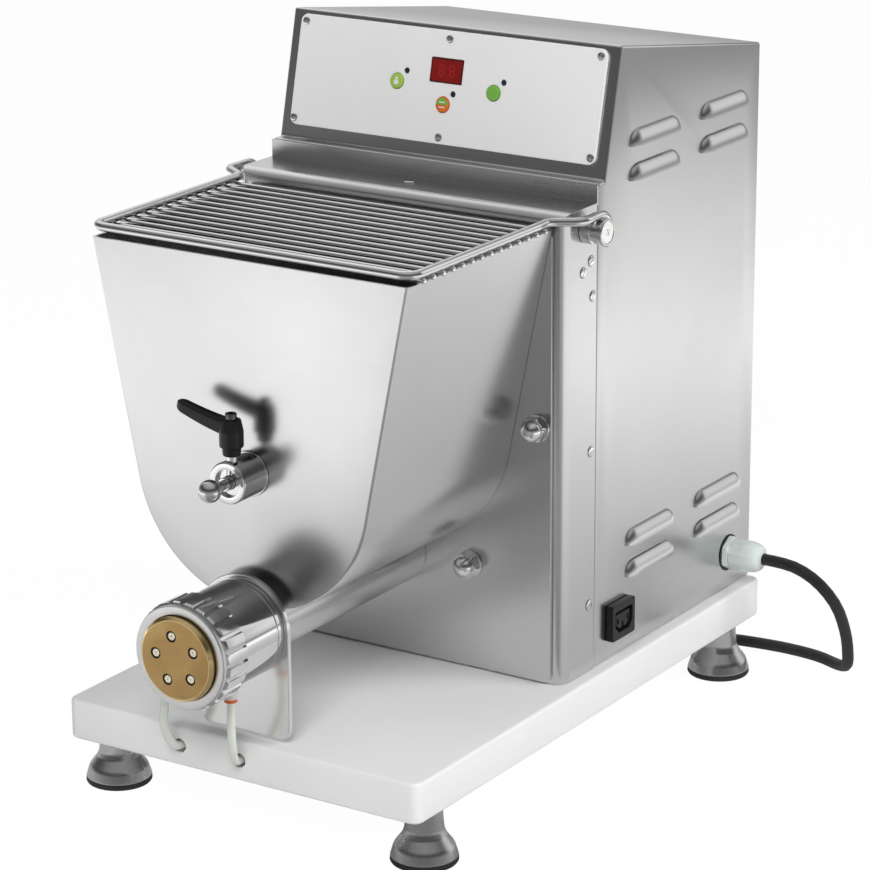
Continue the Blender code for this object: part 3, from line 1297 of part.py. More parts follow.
def die_hole_places(turn):
    for i in range(DIE_HOLES):
        angle = RIGHT_ANGLE + DIE_HOLE_TURN + turn + i * FULL_TURN / DIE_HOLES
        yield i, DIE_HOLE_CIRCLE * math.cos(angle), BARREL_HEIGHT + DIE_HOLE_CIRCLE * math.sin(angle)


def die(parent):
    """The bronze die: a chamfered front through the nut, a flange behind its lip, five round holes."""
    profile = [
        (0, DIE_FACE_Y),
        (DIE_FACE_RADIUS, DIE_FACE_Y),
        (DIE_RADIUS, DIE_FACE_Y + DIE_CHAMFER_DEPTH),
        (DIE_RADIUS, DIE_FLANGE_Y),
        (THREAD_RADIUS, DIE_FLANGE_Y),
        (THREAD_RADIUS, DIE_REAR_Y),
        (DIE_RECESS_RADIUS, DIE_REAR_Y),
        (DIE_RECESS_RADIUS, DIE_REAR_Y - DIE_RECESS_DEPTH),
        (0, DIE_REAR_Y - DIE_RECESS_DEPTH),
    ]
    at = (0, 0, BARREL_HEIGHT)
    disc = turned("die", forward(profile), at, TO_FRONT, BRONZE, parent, steps=BARREL_STEPS)
    tools = []
    for i, x, z in die_hole_places(0):
        start = (x, DIE_FACE_Y - CUT_MARGIN, z)
        tools.append(rod(f"die_hole_{i}", DIE_HOLE_RADIUS, start, (x, DIE_REAR_Y, z), sides=SMALL_STEPS))
    cut(disc, gathered("die_holes", tools))
    merge_flats(disc)


def die_core(parent):
    """The insert behind the die: a plate with feed holes and a pin in the middle of each die hole."""
    rear = DIE_REAR_Y
    front = rear - CORE_THICKNESS
    radius = DIE_RECESS_RADIUS - CLEARANCE
    start = (0, rear, BARREL_HEIGHT)
    core = rod("die_core", radius, start, (0, front, BARREL_HEIGHT), INSERT_CREAM, parent)
    pins = []
    for i, x, z in die_hole_places(0):
        start = (x, rear - CORE_THICKNESS / 2, z)
        end = (x, DIE_FACE_Y + CORE_PIN_SETBACK, z)
        pins.append(rod(f"core_pin_{i}", CORE_PIN_RADIUS, start, end, sides=SMALL_STEPS))
    join(core, gathered("core_pins", pins))
    feeds = []
    for i, x, z in die_hole_places(math.pi / DIE_HOLES):
        start = (x, rear + CUT_MARGIN, z)
        end = (x, front - CUT_MARGIN / 4, z)
        feeds.append(rod(f"core_feed_{i}", CORE_FEED_RADIUS, start, end, sides=SMALL_STEPS))
    cut(core, gathered("core_feeds", feeds))


# Cooling water

def fitting(tag, x, z, direction):
    """A push-in hose fitting on the underside of the head, cut to the collar's curve."""
    length = FITTING_LENGTH + COLLET_LENGTH
    inside = COLLAR_RADIUS / 4
    profile = [
        (0, inside),
        (FITTING_RADIUS, inside),
        (FITTING_RADIUS, -FITTING_LENGTH),
        (COLLET_RADIUS, -FITTING_LENGTH),
        (COLLET_RADIUS, -length),
        (0, -length),
    ]
    turn = Euler((0, direction, 0))
    piece = turned("water_fitting_" + tag, profile, (x, FITTING_Y, z), turn, FITTING_GREY, steps=SMALL_STEPS)
    start = (0, FITTING_Y - 2 * FITTING_RADIUS, BARREL_HEIGHT)
    end = (0, FITTING_Y + 2 * FITTING_RADIUS, BARREL_HEIGHT)
    cut(piece, rod("collar_curve_" + tag, COLLAR_RADIUS + CLEARANCE, start, end, sides=BARREL_STEPS))


def fitting_root(tag):
    """Where a fitting's axis leaves the collar, and its turn from straight down."""
    if tag == "right":
        drop = math.sqrt(COLLAR_RADIUS**2 - RIGHT_FITTING_X**2)
        return RIGHT_FITTING_X, BARREL_HEIGHT - drop, 0
    reach = COLLAR_RADIUS
    x = -reach * math.sin(LEFT_FITTING_TURN)
    z = BARREL_HEIGHT - reach * math.cos(LEFT_FITTING_TURN)
    return x, z, LEFT_FITTING_TURN


def hose(tag, route):
    """A cooling hose from its fitting down into the board's channel and back to the rear coupling."""
    x, z, turn = fitting_root(tag)
    reach = FITTING_LENGTH + COLLET_LENGTH + CLEARANCE
    out = (-math.sin(turn), 0, -math.cos(turn))
    start = Vector((x, FITTING_Y, z)) + Vector(out) * reach
    second = start + Vector(out) * HOSE_LEAVES_STRAIGHT
    channel_x = CHANNEL_LEFT_X if tag == "left" else CHANNEL_RIGHT_X
    end = (channel_x, BOARD_REAR_Y - COUPLING_LENGTH / 2, CHANNEL_HEIGHT)
    straight = [
        (channel_x, BOARD_FRONT_Y + share * BOARD_LENGTH, CHANNEL_HEIGHT) for share in HOSE_STRAIGHT_SHARES
    ]
    bend = [(channel_x + dx, FITTING_Y + dy, CHANNEL_HEIGHT + dz) for dx, dy, dz in route]
    points = smooth_route([start, second, *bend, *straight], 2 * HOSE_RADIUS)
    points.append(end)
    tube("water_hose_" + tag, points, HOSE_RADIUS, 2, HOSE_MILKY)
    profile = [
        (COUPLING_RADIUS, COUPLING_LENGTH),
        (COUPLING_RADIUS, 0),
        (COUPLING_BORE, 0),
        (COUPLING_BORE, COUPLING_LENGTH),
    ]
    at = (channel_x, BOARD_REAR_Y - CLEARANCE, CHANNEL_HEIGHT)
    turned("water_coupling_" + tag, profile, at, TO_FRONT, FITTING_GREY, closed=True, steps=SMALL_STEPS)


def cooling():
    for tag in ("left", "right"):
        x, z, turn = fitting_root(tag)
        fitting(tag, x, z, turn)
    hose("left", LEFT_HOSE_ROUTE)
    hose("right", RIGHT_HOSE_ROUTE)


# Front bearing, pin and clamping lever

def bearing_boss():
    rear = HOPPER_FRONT_Y - CLEARANCE
    profile = [
        (BOSS_RADIUS, BOSS_FACE_Y),
        (BOSS_RADIUS, rear - BOSS_FLANGE_THICKNESS),
        (BOSS_FLANGE_RADIUS, rear - BOSS_FLANGE_THICKNESS),
        (BOSS_FLANGE_RADIUS, rear),
        (BOSS_BORE, rear),
        (BOSS_BORE, BOSS_FACE_Y + BOSS_RECESS_DEPTH),
        (BOSS_RECESS_RADIUS, BOSS_FACE_Y + BOSS_RECESS_DEPTH),
        (BOSS_RECESS_RADIUS, BOSS_FACE_Y),
    ]
    at = (0, 0, MIXER_HEIGHT)
    boss = turned("bearing_boss", forward(profile), at, TO_FRONT, POLISHED_STEEL, closed=True)
    start = (0, CLAMP_Y, MIXER_HEIGHT + PIN_RADIUS)
    end = (0, CLAMP_Y, MIXER_HEIGHT + 2 * BOSS_RADIUS)
    cut(boss, rod("clamp_hole", CLAMP_STUD_RADIUS + CLEARANCE, start, end, sides=SMALL_STEPS))


def bearing_pin():
    """The pull-out pin that carries the front end of the kneading shaft, with a ball knob."""
    inner = HOPPER_FRONT_Y + HOPPER_SHEET + PIN_INSIDE
    neck = BOSS_FACE_Y - PIN_TRAVEL_NECK
    meet = math.asin(PIN_NECK_RADIUS / KNOB_RADIUS)
    ball = arc((0, -KNOB_Y), KNOB_RADIUS, RIGHT_ANGLE, meet - RIGHT_ANGLE, 2 * BELL_STEPS)
    ball[0] = (0, -KNOB_Y + KNOB_RADIUS)
    shank = [(PIN_NECK_RADIUS, neck), (PIN_RADIUS, neck), (PIN_RADIUS, inner), (0, inner)]
    at = (0, 0, MIXER_HEIGHT)
    turned("bearing_pin", ball + forward(shank), at, TO_FRONT, POLISHED_STEEL, steps=MIDDLE_STEPS)


def clamping_lever():
    """The black clamping lever on its stud: collar, hub, cap screw and a rising tapered arm."""
    stud_foot = MIXER_HEIGHT + PIN_RADIUS + CLEARANCE
    collar_foot = MIXER_HEIGHT + BOSS_RADIUS + CLAMP_STUD_SHOWS
    hub_foot = collar_foot + CLAMP_COLLAR_HEIGHT
    shoulder = hub_foot + CLAMP_HUB_STRAIGHT
    hub_top = hub_foot + CLAMP_HUB_HEIGHT
    cap_top = hub_top + CLAMP_CAP_HEIGHT
    profile = [
        (0, cap_top),
        (CLAMP_CAP_RADIUS, cap_top),
        (CLAMP_CAP_RADIUS, hub_top),
        (CLAMP_HUB_TOP_RADIUS, hub_top),
        (CLAMP_HUB_RADIUS, shoulder),
        (CLAMP_HUB_RADIUS, hub_foot + CLAMP_STUD_SHOWS / 2),
        (CLAMP_COLLAR_RADIUS, hub_foot),
        (CLAMP_COLLAR_RADIUS, collar_foot),
        (CLAMP_STUD_RADIUS, collar_foot),
        (CLAMP_STUD_RADIUS, stud_foot),
        (0, stud_foot),
    ]
    at = (0, CLAMP_Y, 0)
    lever = turned("clamping_lever", profile, at, finish=BLACK_PLASTIC, steps=MIDDLE_STEPS)
    shape = bmesh.new()
    bmesh.ops.create_cube(shape, size=1)
    for corner in shape.verts:
        at_tip = corner.co.x < 0
        width = ARM_TIP_WIDTH if at_tip else ARM_ROOT_WIDTH
        tall = ARM_TIP_HEIGHT if at_tip else ARM_ROOT_HEIGHT
        corner.co = (-ARM_LENGTH if at_tip else 0, corner.co.y * width, corner.co.z * tall)
    round_edges(shape, lambda a, b: True, ARM_EDGE, 2)
    root = (0, CLAMP_Y, hub_top - ARM_ROOT_HEIGHT / 2)
    join(lever, placed("lever_arm", mesh_of("lever_arm", shape), root, (0, ARM_RISE, 0)))


# Kneading shaft and auger

def mixer():
    """The kneading shaft: a round shaft with radial rods that end in slanted blades."""
    front = HOPPER_FRONT_Y + HOPPER_SHEET + SHAFT_END_GAP
    rear = DRIVE_END_Y - COUPLING_GAP
    at = (0, 0, MIXER_HEIGHT)
    socket = front + PIN_INSIDE
    profile = [
        (SHAFT_RADIUS, front),
        (SHAFT_RADIUS, rear),
        (0, rear),
        (0, socket),
        (PIN_SOCKET_RADIUS, socket),
        (PIN_SOCKET_RADIUS, front),
    ]
    shaft = turned("mixer", forward(profile), at, TO_FRONT, POLISHED_STEEL, closed=True, steps=SMALL_STEPS)
    blade_from_ends = PADDLE_BLADE_LENGTH / 2 + SHAFT_END_GAP
    stations = np.linspace(front + blade_from_ends, rear - blade_from_ends, PADDLE_COUNT)
    for i, y in enumerate(stations):
        angle = PADDLE_FIRST_ANGLE + i * RIGHT_ANGLE
        out = Vector((math.cos(angle), 0, math.sin(angle)))
        axis = Vector((0, y, MIXER_HEIGHT))
        tip = axis + out * (PADDLE_REACH - PADDLE_BLADE_HEIGHT / 2)
        join(shaft, rod(f"paddle_rod_{i}", PADDLE_RADIUS, axis, tip, sides=PADDLE_SIDES))
        shape = bmesh.new()
        bmesh.ops.create_cube(shape, size=1)
        size = (PADDLE_BLADE_HEIGHT, PADDLE_BLADE_LENGTH, PADDLE_BLADE_THICKNESS)
        bmesh.ops.scale(shape, vec=size, verts=shape.verts)
        turn = Euler((PADDLE_TILT, -angle, 0), "XYZ")
        join(shaft, placed(f"paddle_blade_{i}", mesh_of("paddle_blade", shape), tip, turn))


def auger():
    """The screw that presses the dough forward: a core with one tapered flight."""
    front = HEAD_FRONT_Y + AUGER_FRONT_GAP
    rear = DRIVE_END_Y - COUPLING_GAP
    start = (0, rear, BARREL_HEIGHT)
    end = (0, front, BARREL_HEIGHT)
    core = rod("auger", AUGER_CORE_RADIUS, start, end, POLISHED_STEEL, sides=SMALL_STEPS)
    half_turns = math.floor(2 * (rear - front - 2 * AUGER_FLIGHT_FROM_ENDS) / AUGER_PITCH)
    turns = half_turns / 2
    span = turns * AUGER_PITCH
    first = (front + rear) / 2 + span / 2
    root = AUGER_CORE_RADIUS / 2
    section = (
        (root, -AUGER_FLIGHT_ROOT / 2),
        (AUGER_RADIUS, -AUGER_FLIGHT_TIP / 2),
        (AUGER_RADIUS, AUGER_FLIGHT_TIP / 2),
        (root, AUGER_FLIGHT_ROOT / 2),
    )
    shape = bmesh.new()
    corners = [shape.verts.new((radius, offset, 0)) for radius, offset in section]
    face = shape.faces.new(corners)
    bmesh.ops.spin(
        shape,
        geom=[face, *face.edges, *corners],
        axis=(0, 1, 0),
        cent=(0, 0, 0),
        dvec=(0, -AUGER_PITCH / AUGER_STEPS_PER_TURN, 0),
        angle=turns * FULL_TURN,
        steps=round(turns * AUGER_STEPS_PER_TURN),
        use_duplicate=False,
    )
    flight = mesh_of("auger_flight", shape)
    join(core, placed("auger_flight", flight, (0, first, BARREL_HEIGHT), (0, AUGER_START_ANGLE, 0)))


# Guard

def rail_route():
    """The guard's bent rod: right hook, jog, right rail, front rail and the same back on the left."""
    right = []
    for step in range(HOOK_STEPS + 1):
        angle = RIGHT_ANGLE - HOOK_SWEEP * (1 - step / HOOK_STEPS)
        y = PIVOT_Y + HOOK_RADIUS * math.cos(angle)
        right.append((HOOK_X, y, PIVOT_HEIGHT + HOOK_RADIUS * math.sin(angle)))
    ease = (JOG_END_Y - JOG_START_Y) * JOG_ROUND_SHARE
    slant = (HOOK_X - RAIL_HALF_WIDTH) * JOG_SLANT_SHARE
    right.append((HOOK_X, JOG_END_Y + ease, RAIL_HEIGHT))
    right.append((HOOK_X - slant, JOG_END_Y - ease / 2, RAIL_HEIGHT))
    right.append((RAIL_HALF_WIDTH + slant, JOG_START_Y + ease / 2, RAIL_HEIGHT))
    right.append((RAIL_HALF_WIDTH, JOG_START_Y - ease, RAIL_HEIGHT))
    centre = (RAIL_HALF_WIDTH - RAIL_CORNER, RAIL_FRONT_Y + RAIL_CORNER)
    corner = arc(centre, RAIL_CORNER, 0, -RIGHT_ANGLE, RAIL_CORNER_STEPS)
    right += [(x, y, RAIL_HEIGHT) for x, y in corner]
    return right + [(-x, y, z) for x, y, z in reversed(right)]


def guard_lid():
    """The wire guard: a thick bent rod with thin bars under it, hooked over the two side pivots."""
    axis = axis_marker("guard_axis", (0, PIVOT_Y, PIVOT_HEIGHT))
    lid = tube("guard_lid", rail_route(), RAIL_RADIUS, 2, POLISHED_STEEL, axis.location, axis)
    reach = RAIL_HALF_WIDTH + BAR_OVERHANG
    bars = []
    for i in range(BAR_COUNT):
        y = BAR_FIRST_Y + i * BAR_PITCH
        start = (-reach, y, BAR_HEIGHT)
        bars.append(rod(f"guard_bar_{i}", BAR_RADIUS, start, (reach, y, BAR_HEIGHT), sides=BAR_SIDES))
    join(lid, gathered("guard_bars", bars))


def pivot(tag, sign, turn):
    """A side pivot: boss, narrower neck for the guard's hook, and a cap."""
    profile = [
        (0, PIVOT_LENGTH),
        (PIVOT_RADIUS, PIVOT_LENGTH),
        (PIVOT_RADIUS, PIVOT_NECK_END),
        (PIVOT_NECK_RADIUS, PIVOT_NECK_END),
        (PIVOT_NECK_RADIUS, PIVOT_NECK_START),
        (PIVOT_RADIUS, PIVOT_NECK_START),
        (PIVOT_RADIUS, 0),
        (0, 0),
    ]
    at = (sign * (SIDE_X + CLEARANCE), PIVOT_Y, PIVOT_HEIGHT)
    turned("pivot_" + tag, profile, at, turn, POLISHED_STEEL)


def lid_switch():
    """The safety switch inside the frame, beside the right pivot."""
    width, deep, tall = SWITCH_BODY
    x = SIDE_X - SHEET - CLEARANCE
    top = SHELF_HEIGHT - SHEET - SWITCH_FROM_SIDE
    box("lid_switch", (x - width, SWITCH_Y, top - tall), (x, SWITCH_Y + deep, top), BLACK_PLASTIC)


# Drive inside the body

def gear_outline(teeth):
    """A spur gear's outline as (x, z) points, a tooth centred on +X."""
    pitch_radius = teeth * GEAR_MODULE / 2
    pitch = FULL_TURN / teeth
    root = pitch_radius - TOOTH_DEDENDUM_SHARE * GEAR_MODULE
    tip = pitch_radius + TOOTH_ADDENDUM_SHARE * GEAR_MODULE
    stations = (
        (-TOOTH_ROOT_SHARE, root),
        (-TOOTH_TIP_SHARE, tip),
        (TOOTH_TIP_SHARE, tip),
        (TOOTH_ROOT_SHARE, root),
    )
    outline = []
    for i in range(teeth):
        for share, radius in stations:
            angle = (i + share / 2) * pitch
            outline.append((radius * math.cos(angle), radius * math.sin(angle)))
    return outline


def gear(name, teeth, height, phase, shaft_start, shaft_end):
    """A spur gear with its hub and shaft."""
    spin = Matrix.Rotation(-phase, 4, "Y") @ Euler(TO_FRONT).to_matrix().to_4x4()
    centre = (0, GEAR_Y, height)
    wheel = plate(name, gear_outline(teeth), GEAR_WIDTH, centre, spin.to_euler(), DARK_STEEL)
    if teeth > PINION_TEETH:
        hub_start = (0, GEAR_Y - GEAR_HUB_LENGTH / 2, height)
        hub_end = (0, GEAR_Y + GEAR_HUB_LENGTH / 2, height)
        join(wheel, rod(name + "_hub", GEAR_HUB_RADIUS, hub_start, hub_end, sides=SMALL_STEPS))
    start = (0, shaft_start, height)
    join(wheel, rod(name + "_shaft", DRIVE_SHAFT_RADIUS, start, (0, shaft_end, height), sides=SMALL_STEPS))


def gears():
    """Three wheels in a column: motor pinion on the mixer wheel, mixer wheel on the auger wheel."""
    rear = GEARCASE_REAR_Y - GEARCASE_WALL - CLEARANCE
    auger_phase = RIGHT_ANGLE - FULL_TURN / AUGER_TEETH * (AUGER_TEETH // 4)
    mixer_low = -RIGHT_ANGLE + math.pi / MIXER_TEETH
    gear("auger_gear", AUGER_TEETH, BARREL_HEIGHT, auger_phase, DRIVE_END_Y, rear)
    gear("mixer_gear", MIXER_TEETH, MIXER_HEIGHT, mixer_low, DRIVE_END_Y, rear)
    top_tooth = (RIGHT_ANGLE - mixer_low) / (FULL_TURN / MIXER_TEETH)
    offset = top_tooth - math.floor(top_tooth)
    pinion_phase = -RIGHT_ANGLE + (0.5 - offset) * FULL_TURN / PINION_TEETH
    shaft_end = GEARCASE_REAR_Y + CLEARANCE + MOTOR_FLANGE_THICKNESS
    front = GEARCASE_FRONT_Y + GEARCASE_WALL + CLEARANCE
    gear("drive_pinion", PINION_TEETH, PINION_HEIGHT, pinion_phase, front, shaft_end)


def case_outline(thinner):
    """The gear case's end view: a round-ended upright shape round all three wheels."""
    wheel = AUGER_TEETH * GEAR_MODULE / 2 + GEAR_MODULE
    radius = wheel + GEARCASE_MARGIN + GEARCASE_WALL - thinner
    top = PINION_HEIGHT - radius / 2
    outline = arc((0, top), radius, 0, math.pi, GEARCASE_SIDE_STEPS)
    outline += arc((0, BARREL_HEIGHT), radius, math.pi, FULL_TURN, GEARCASE_SIDE_STEPS)
    return outline


def gear_case():
    case = along_y("gear_case", case_outline(0), GEARCASE_FRONT_Y, GEARCASE_REAR_Y, CAST_METAL)
    inner_front = GEARCASE_FRONT_Y + GEARCASE_WALL
    inner_rear = GEARCASE_REAR_Y - GEARCASE_WALL
    cut(case, along_y("case_inside", case_outline(GEARCASE_WALL), inner_front, inner_rear))
    radius = DRIVE_SHAFT_RADIUS + BEARING_HOLE_PLAY
    for tag, height in (("auger", BARREL_HEIGHT), ("mixer", MIXER_HEIGHT)):
        start = (0, GEARCASE_FRONT_Y - CUT_MARGIN, height)
        end = (0, inner_front + CUT_MARGIN, height)
        cut(case, rod("case_bearing_" + tag, radius, start, end, sides=SMALL_STEPS))
    start = (0, inner_rear - CUT_MARGIN, PINION_HEIGHT)
    end = (0, GEARCASE_REAR_Y + CUT_MARGIN, PINION_HEIGHT)
    cut(case, rod("case_bearing_motor", radius, start, end, sides=SMALL_STEPS))


def motor():
    """The motor behind the gear case: flange, round body and cooling fins."""
    front = GEARCASE_REAR_Y + CLEARANCE
    rear = front + MOTOR_LENGTH
    depth = MOTOR_FLANGE_THICKNESS + CUT_MARGIN
    profile = [
        (0, front + depth),
        (DRIVE_SHAFT_RADIUS + BEARING_HOLE_PLAY, front + depth),
        (DRIVE_SHAFT_RADIUS + BEARING_HOLE_PLAY, front),
        (MOTOR_FLANGE_RADIUS, front),
        (MOTOR_FLANGE_RADIUS, front + MOTOR_FLANGE_THICKNESS),
        (MOTOR_RADIUS, front + MOTOR_FLANGE_THICKNESS),
        (MOTOR_RADIUS, rear),
        (0, rear),
    ]
    body = turned("motor", forward(profile), (0, 0, PINION_HEIGHT), TO_FRONT, CAST_METAL)
    fins = []
    start = front + (MOTOR_LENGTH - MOTOR_FIN_LENGTH) / 2
    for i in range(MOTOR_FINS):
        shape = bmesh.new()
        bmesh.ops.create_cube(shape, size=1)
        size = (2 * MOTOR_FIN_HEIGHT, MOTOR_FIN_LENGTH, MOTOR_FIN_WIDTH)
        bmesh.ops.scale(shape, vec=size, verts=shape.verts)
        angle = i * FULL_TURN / MOTOR_FINS
        x = MOTOR_RADIUS * math.cos(angle)
        z = PINION_HEIGHT + MOTOR_RADIUS * math.sin(angle)
        place = (x, start + MOTOR_FIN_LENGTH / 2, z)
        fins.append(placed(f"motor_fin_{i}", mesh_of("motor_fin", shape), place, (0, -angle, 0)))
    join(body, gathered("motor_fins", fins))


# Outlet, gland and mains lead

def outlet_shape(width, tall, chamfer):
    """A rectangle with its two lower corners cut off."""
    x = width / 2
    z = tall / 2
    return [(x, -z + chamfer), (x, z), (-x, z), (-x, -z + chamfer), (-x + chamfer, -z), (x - chamfer, -z)]


def power_outlet():
    """The appliance outlet for a cutter: bezel, body behind the sheet, shaped well and slotted core."""
    foot_x = SIDE_X + CLEARANCE
    face = foot_x + OUTLET_PROUD
    at = ((foot_x + face) / 2, OUTLET_Y, OUTLET_HEIGHT)
    bezel = rounded_rectangle(OUTLET_WIDTH, OUTLET_TALL, OUTLET_CORNER)
    outlet = plate("power_outlet", bezel, OUTLET_PROUD, at, FACING_RIGHT, BLACK_PLASTIC)
    low = (foot_x - OUTLET_BODY_DEPTH, OUTLET_Y - OUTLET_BODY_WIDTH / 2, OUTLET_HEIGHT - OUTLET_BODY_TALL / 2)
    high = (foot_x + OUTLET_PROUD / 2, OUTLET_Y + OUTLET_BODY_WIDTH / 2, OUTLET_HEIGHT + OUTLET_BODY_TALL / 2)
    join(outlet, box("outlet_body", low, high))
    well = outlet_shape(OUTLET_WELL_WIDTH, OUTLET_WELL_TALL, OUTLET_WELL_CHAMFER)
    middle = face - OUTLET_WELL_DEPTH / 2 + CUT_MARGIN / 2
    depth = OUTLET_WELL_DEPTH + CUT_MARGIN
    cut(outlet, plate("outlet_well", well, depth, (middle, OUTLET_Y, OUTLET_HEIGHT), FACING_RIGHT))
    width = OUTLET_WELL_WIDTH - 2 * OUTLET_CORE_INSET
    tall = OUTLET_WELL_TALL - 2 * OUTLET_CORE_INSET
    core = outlet_shape(width, tall, OUTLET_WELL_CHAMFER - OUTLET_CORE_INSET / 2)
    core_face = face - OUTLET_CORE_SETBACK
    core_foot = face - OUTLET_WELL_DEPTH - OUTLET_CORE_SETBACK
    middle = ((core_face + core_foot) / 2, OUTLET_Y, OUTLET_HEIGHT)
    join(outlet, plate("outlet_core", core, core_face - core_foot, middle, FACING_RIGHT))
    slots = []
    spots = ((-OUTLET_SLOT_SPREAD, 0), (0, -OUTLET_SLOT_DROP), (OUTLET_SLOT_SPREAD, 0))
    for i, (dy, dz) in enumerate(spots):
        half_wide = OUTLET_SLOT_WIDE / 2
        half_long = OUTLET_SLOT_LONG / 2
        y = OUTLET_Y + dy
        z = OUTLET_HEIGHT + dz
        low = (core_face - OUTLET_WELL_DEPTH, y - half_wide, z - half_long)
        high = (core_face + CUT_MARGIN, y + half_wide, z + half_long)
        slots.append(box(f"outlet_slot_{i}", low, high))
    cut(outlet, gathered("outlet_slots", slots))


def cable_gland():
    """The strain relief on the right side: thread, hexagon, and a domed clamping nut."""
    base = SIDE_X + CLEARANCE
    straight = GLAND_HEX_THICKNESS + GLAND_NUT_STRAIGHT
    dome = GLAND_LENGTH - straight
    profile = [(0, GLAND_LENGTH), (GLAND_TIP_RADIUS, GLAND_LENGTH)]
    full = math.acos(GLAND_TIP_RADIUS / GLAND_NUT_RADIUS)
    for step in range(1, GLAND_DOME_STEPS + 1):
        angle = full * (1 - step / GLAND_DOME_STEPS)
        height = straight + dome * math.sin(angle) / math.sin(full)
        profile.append((GLAND_NUT_RADIUS * math.cos(angle), height))
    profile += [
        (GLAND_NUT_RADIUS, 0),
        (GLAND_THREAD_RADIUS, 0),
        (GLAND_THREAD_RADIUS, -GLAND_INSIDE),
        (0, -GLAND_INSIDE),
    ]
    at = (base, GLAND_Y, GLAND_HEIGHT)
    gland = turned("cable_gland", profile, at, TO_RIGHT, GLAND_GREY, steps=GLAND_SIDES)
    middle = (base + GLAND_HEX_THICKNESS / 2, GLAND_Y, GLAND_HEIGHT)
    join(gland, plate("gland_hexagon", hexagon(GLAND_HEX_FLATS), GLAND_HEX_THICKNESS, middle, FACING_RIGHT))


def lead_route():
    """The mains lead from the gland down to the table and along the rear of the board to its coil."""
    start = (SIDE_X + 2 * CLEARANCE + GLAND_LENGTH, GLAND_Y, GLAND_HEIGHT)
    chosen = [start, (start[0] + 2 * LEAD_RADIUS, GLAND_Y, GLAND_HEIGHT), *LEAD_ROUTE]
    end_x = COIL_CENTRE[0] + 2 * LEAD_RADIUS + CLEARANCE
    for run_share, rise_share in LEAD_RUN_SHARES:
        x = LEAD_RUN_IN_X - run_share * (LEAD_RUN_IN_X - end_x)
        height = LEAD_RADIUS + rise_share * (COIL_LOW - LEAD_RADIUS)
        chosen.append((x, COIL_ENTRY_Y, height))
    return chosen


def coil_route():
    """Loops that spiral in, climb one layer in the half turn where they reverse, and spiral out."""
    pitch = COIL_PITCH
    layer_turn = COIL_LOOPS_A_LAYER * FULL_TURN
    total = 2 * layer_turn + math.pi
    count = round(total / FULL_TURN * COIL_POINTS_A_LOOP)
    cx, cy = COIL_CENTRE
    points = [(cx + 2 * LEAD_RADIUS, COIL_ENTRY_Y, COIL_LOW)]
    for i in range(count + 1):
        travel = total * i / count
        if travel <= layer_turn:
            radius = COIL_OUTER_RADIUS - pitch * travel / FULL_TURN
            lift = 0
        elif travel <= layer_turn + math.pi:
            share = (travel - layer_turn) / math.pi
            radius = COIL_INNER_RADIUS - pitch / 2 * min(share, 1 - share)
            lift = (1 - math.cos(math.pi * share)) / 2
        else:
            radius = COIL_INNER_RADIUS + pitch * (travel - layer_turn - math.pi) / FULL_TURN
            lift = 1
        angle = -RIGHT_ANGLE - travel
        points.append((cx + radius * math.cos(angle), cy + radius * math.sin(angle), COIL_LOW + lift * pitch))
    return points


def plug_axis_height():
    return PLUG_RADIUS + CLEARANCE


def coil_tail(last):
    """The short end of the lead from the top loop up to the plug."""
    rise = plug_axis_height() - last[2]
    tail = []
    for step in range(1, TAIL_STEPS + 1):
        share = step / TAIL_STEPS
        lift = rise * (1 - math.cos(math.pi * share)) / 2
        tail.append((last[0] + share * TAIL_LENGTH, last[1], last[2] + lift))
    tail.append((tail[-1][0] + 2 * LEAD_RADIUS, last[1], last[2] + rise))
    return tail


def report_lead(lead, coil):
    """Print the lead's lengths and the coil's least gap to itself, measured on its points."""
    stretch = sum((Vector(b) - Vector(a)).length for a, b in zip(lead, lead[1:]))
    wound = sum((Vector(b) - Vector(a)).length for a, b in zip(coil, coil[1:]))
    points = np.array(coil)
    steps_apart = np.abs(np.subtract.outer(np.arange(len(points)), np.arange(len(points))))
    distances = np.linalg.norm(points[:, None] - points[None], axis=2)
    least = distances[steps_apart > COIL_POINTS_A_LOOP // 4].min() - 2 * LEAD_RADIUS
    print(f"mains lead: {stretch:.3f} m to the coil, {wound:.3f} m wound, least gap {least * 1000:.2f} mm")


def mains_lead():
    lead = smooth_route(lead_route(), LEAD_POINT_SPACING)
    tube("mains_lead", lead, LEAD_RADIUS, LEAD_SIDE_RESOLUTION, BLACK_RUBBER)
    coil = coil_route()
    coil += coil_tail(coil[-1])
    tube("mains_coil", coil, LEAD_RADIUS, 1, BLACK_RUBBER)
    report_lead(lead, coil)
    lead_tie()
    mains_plug(coil[-1])


def lead_tie():
    """A flat band round the coil's bundle of loops, on its left."""
    cx, cy = COIL_CENTRE
    gap = LEAD_RADIUS + 2 * CLEARANCE
    inner_low = COIL_INNER_RADIUS - COIL_PITCH / 2 - gap
    inner_high = COIL_OUTER_RADIUS + gap
    low = COIL_LOW - gap
    high = COIL_LOW + COIL_PITCH + gap
    width = inner_high - inner_low
    tall = high - low
    middle = (cx - (inner_low + inner_high) / 2, cy, (low + high) / 2)
    outer = rounded_rectangle(width + 2 * TIE_THICKNESS, tall + 2 * TIE_THICKNESS, LEAD_RADIUS)
    inner = rounded_rectangle(width, tall, LEAD_RADIUS - TIE_THICKNESS)
    tie = plate("lead_tie", outer, TIE_WIDTH, middle, TO_FRONT, BLACK_RUBBER)
    cut(tie, plate("tie_inside", inner, 2 * TIE_WIDTH, middle, TO_FRONT))


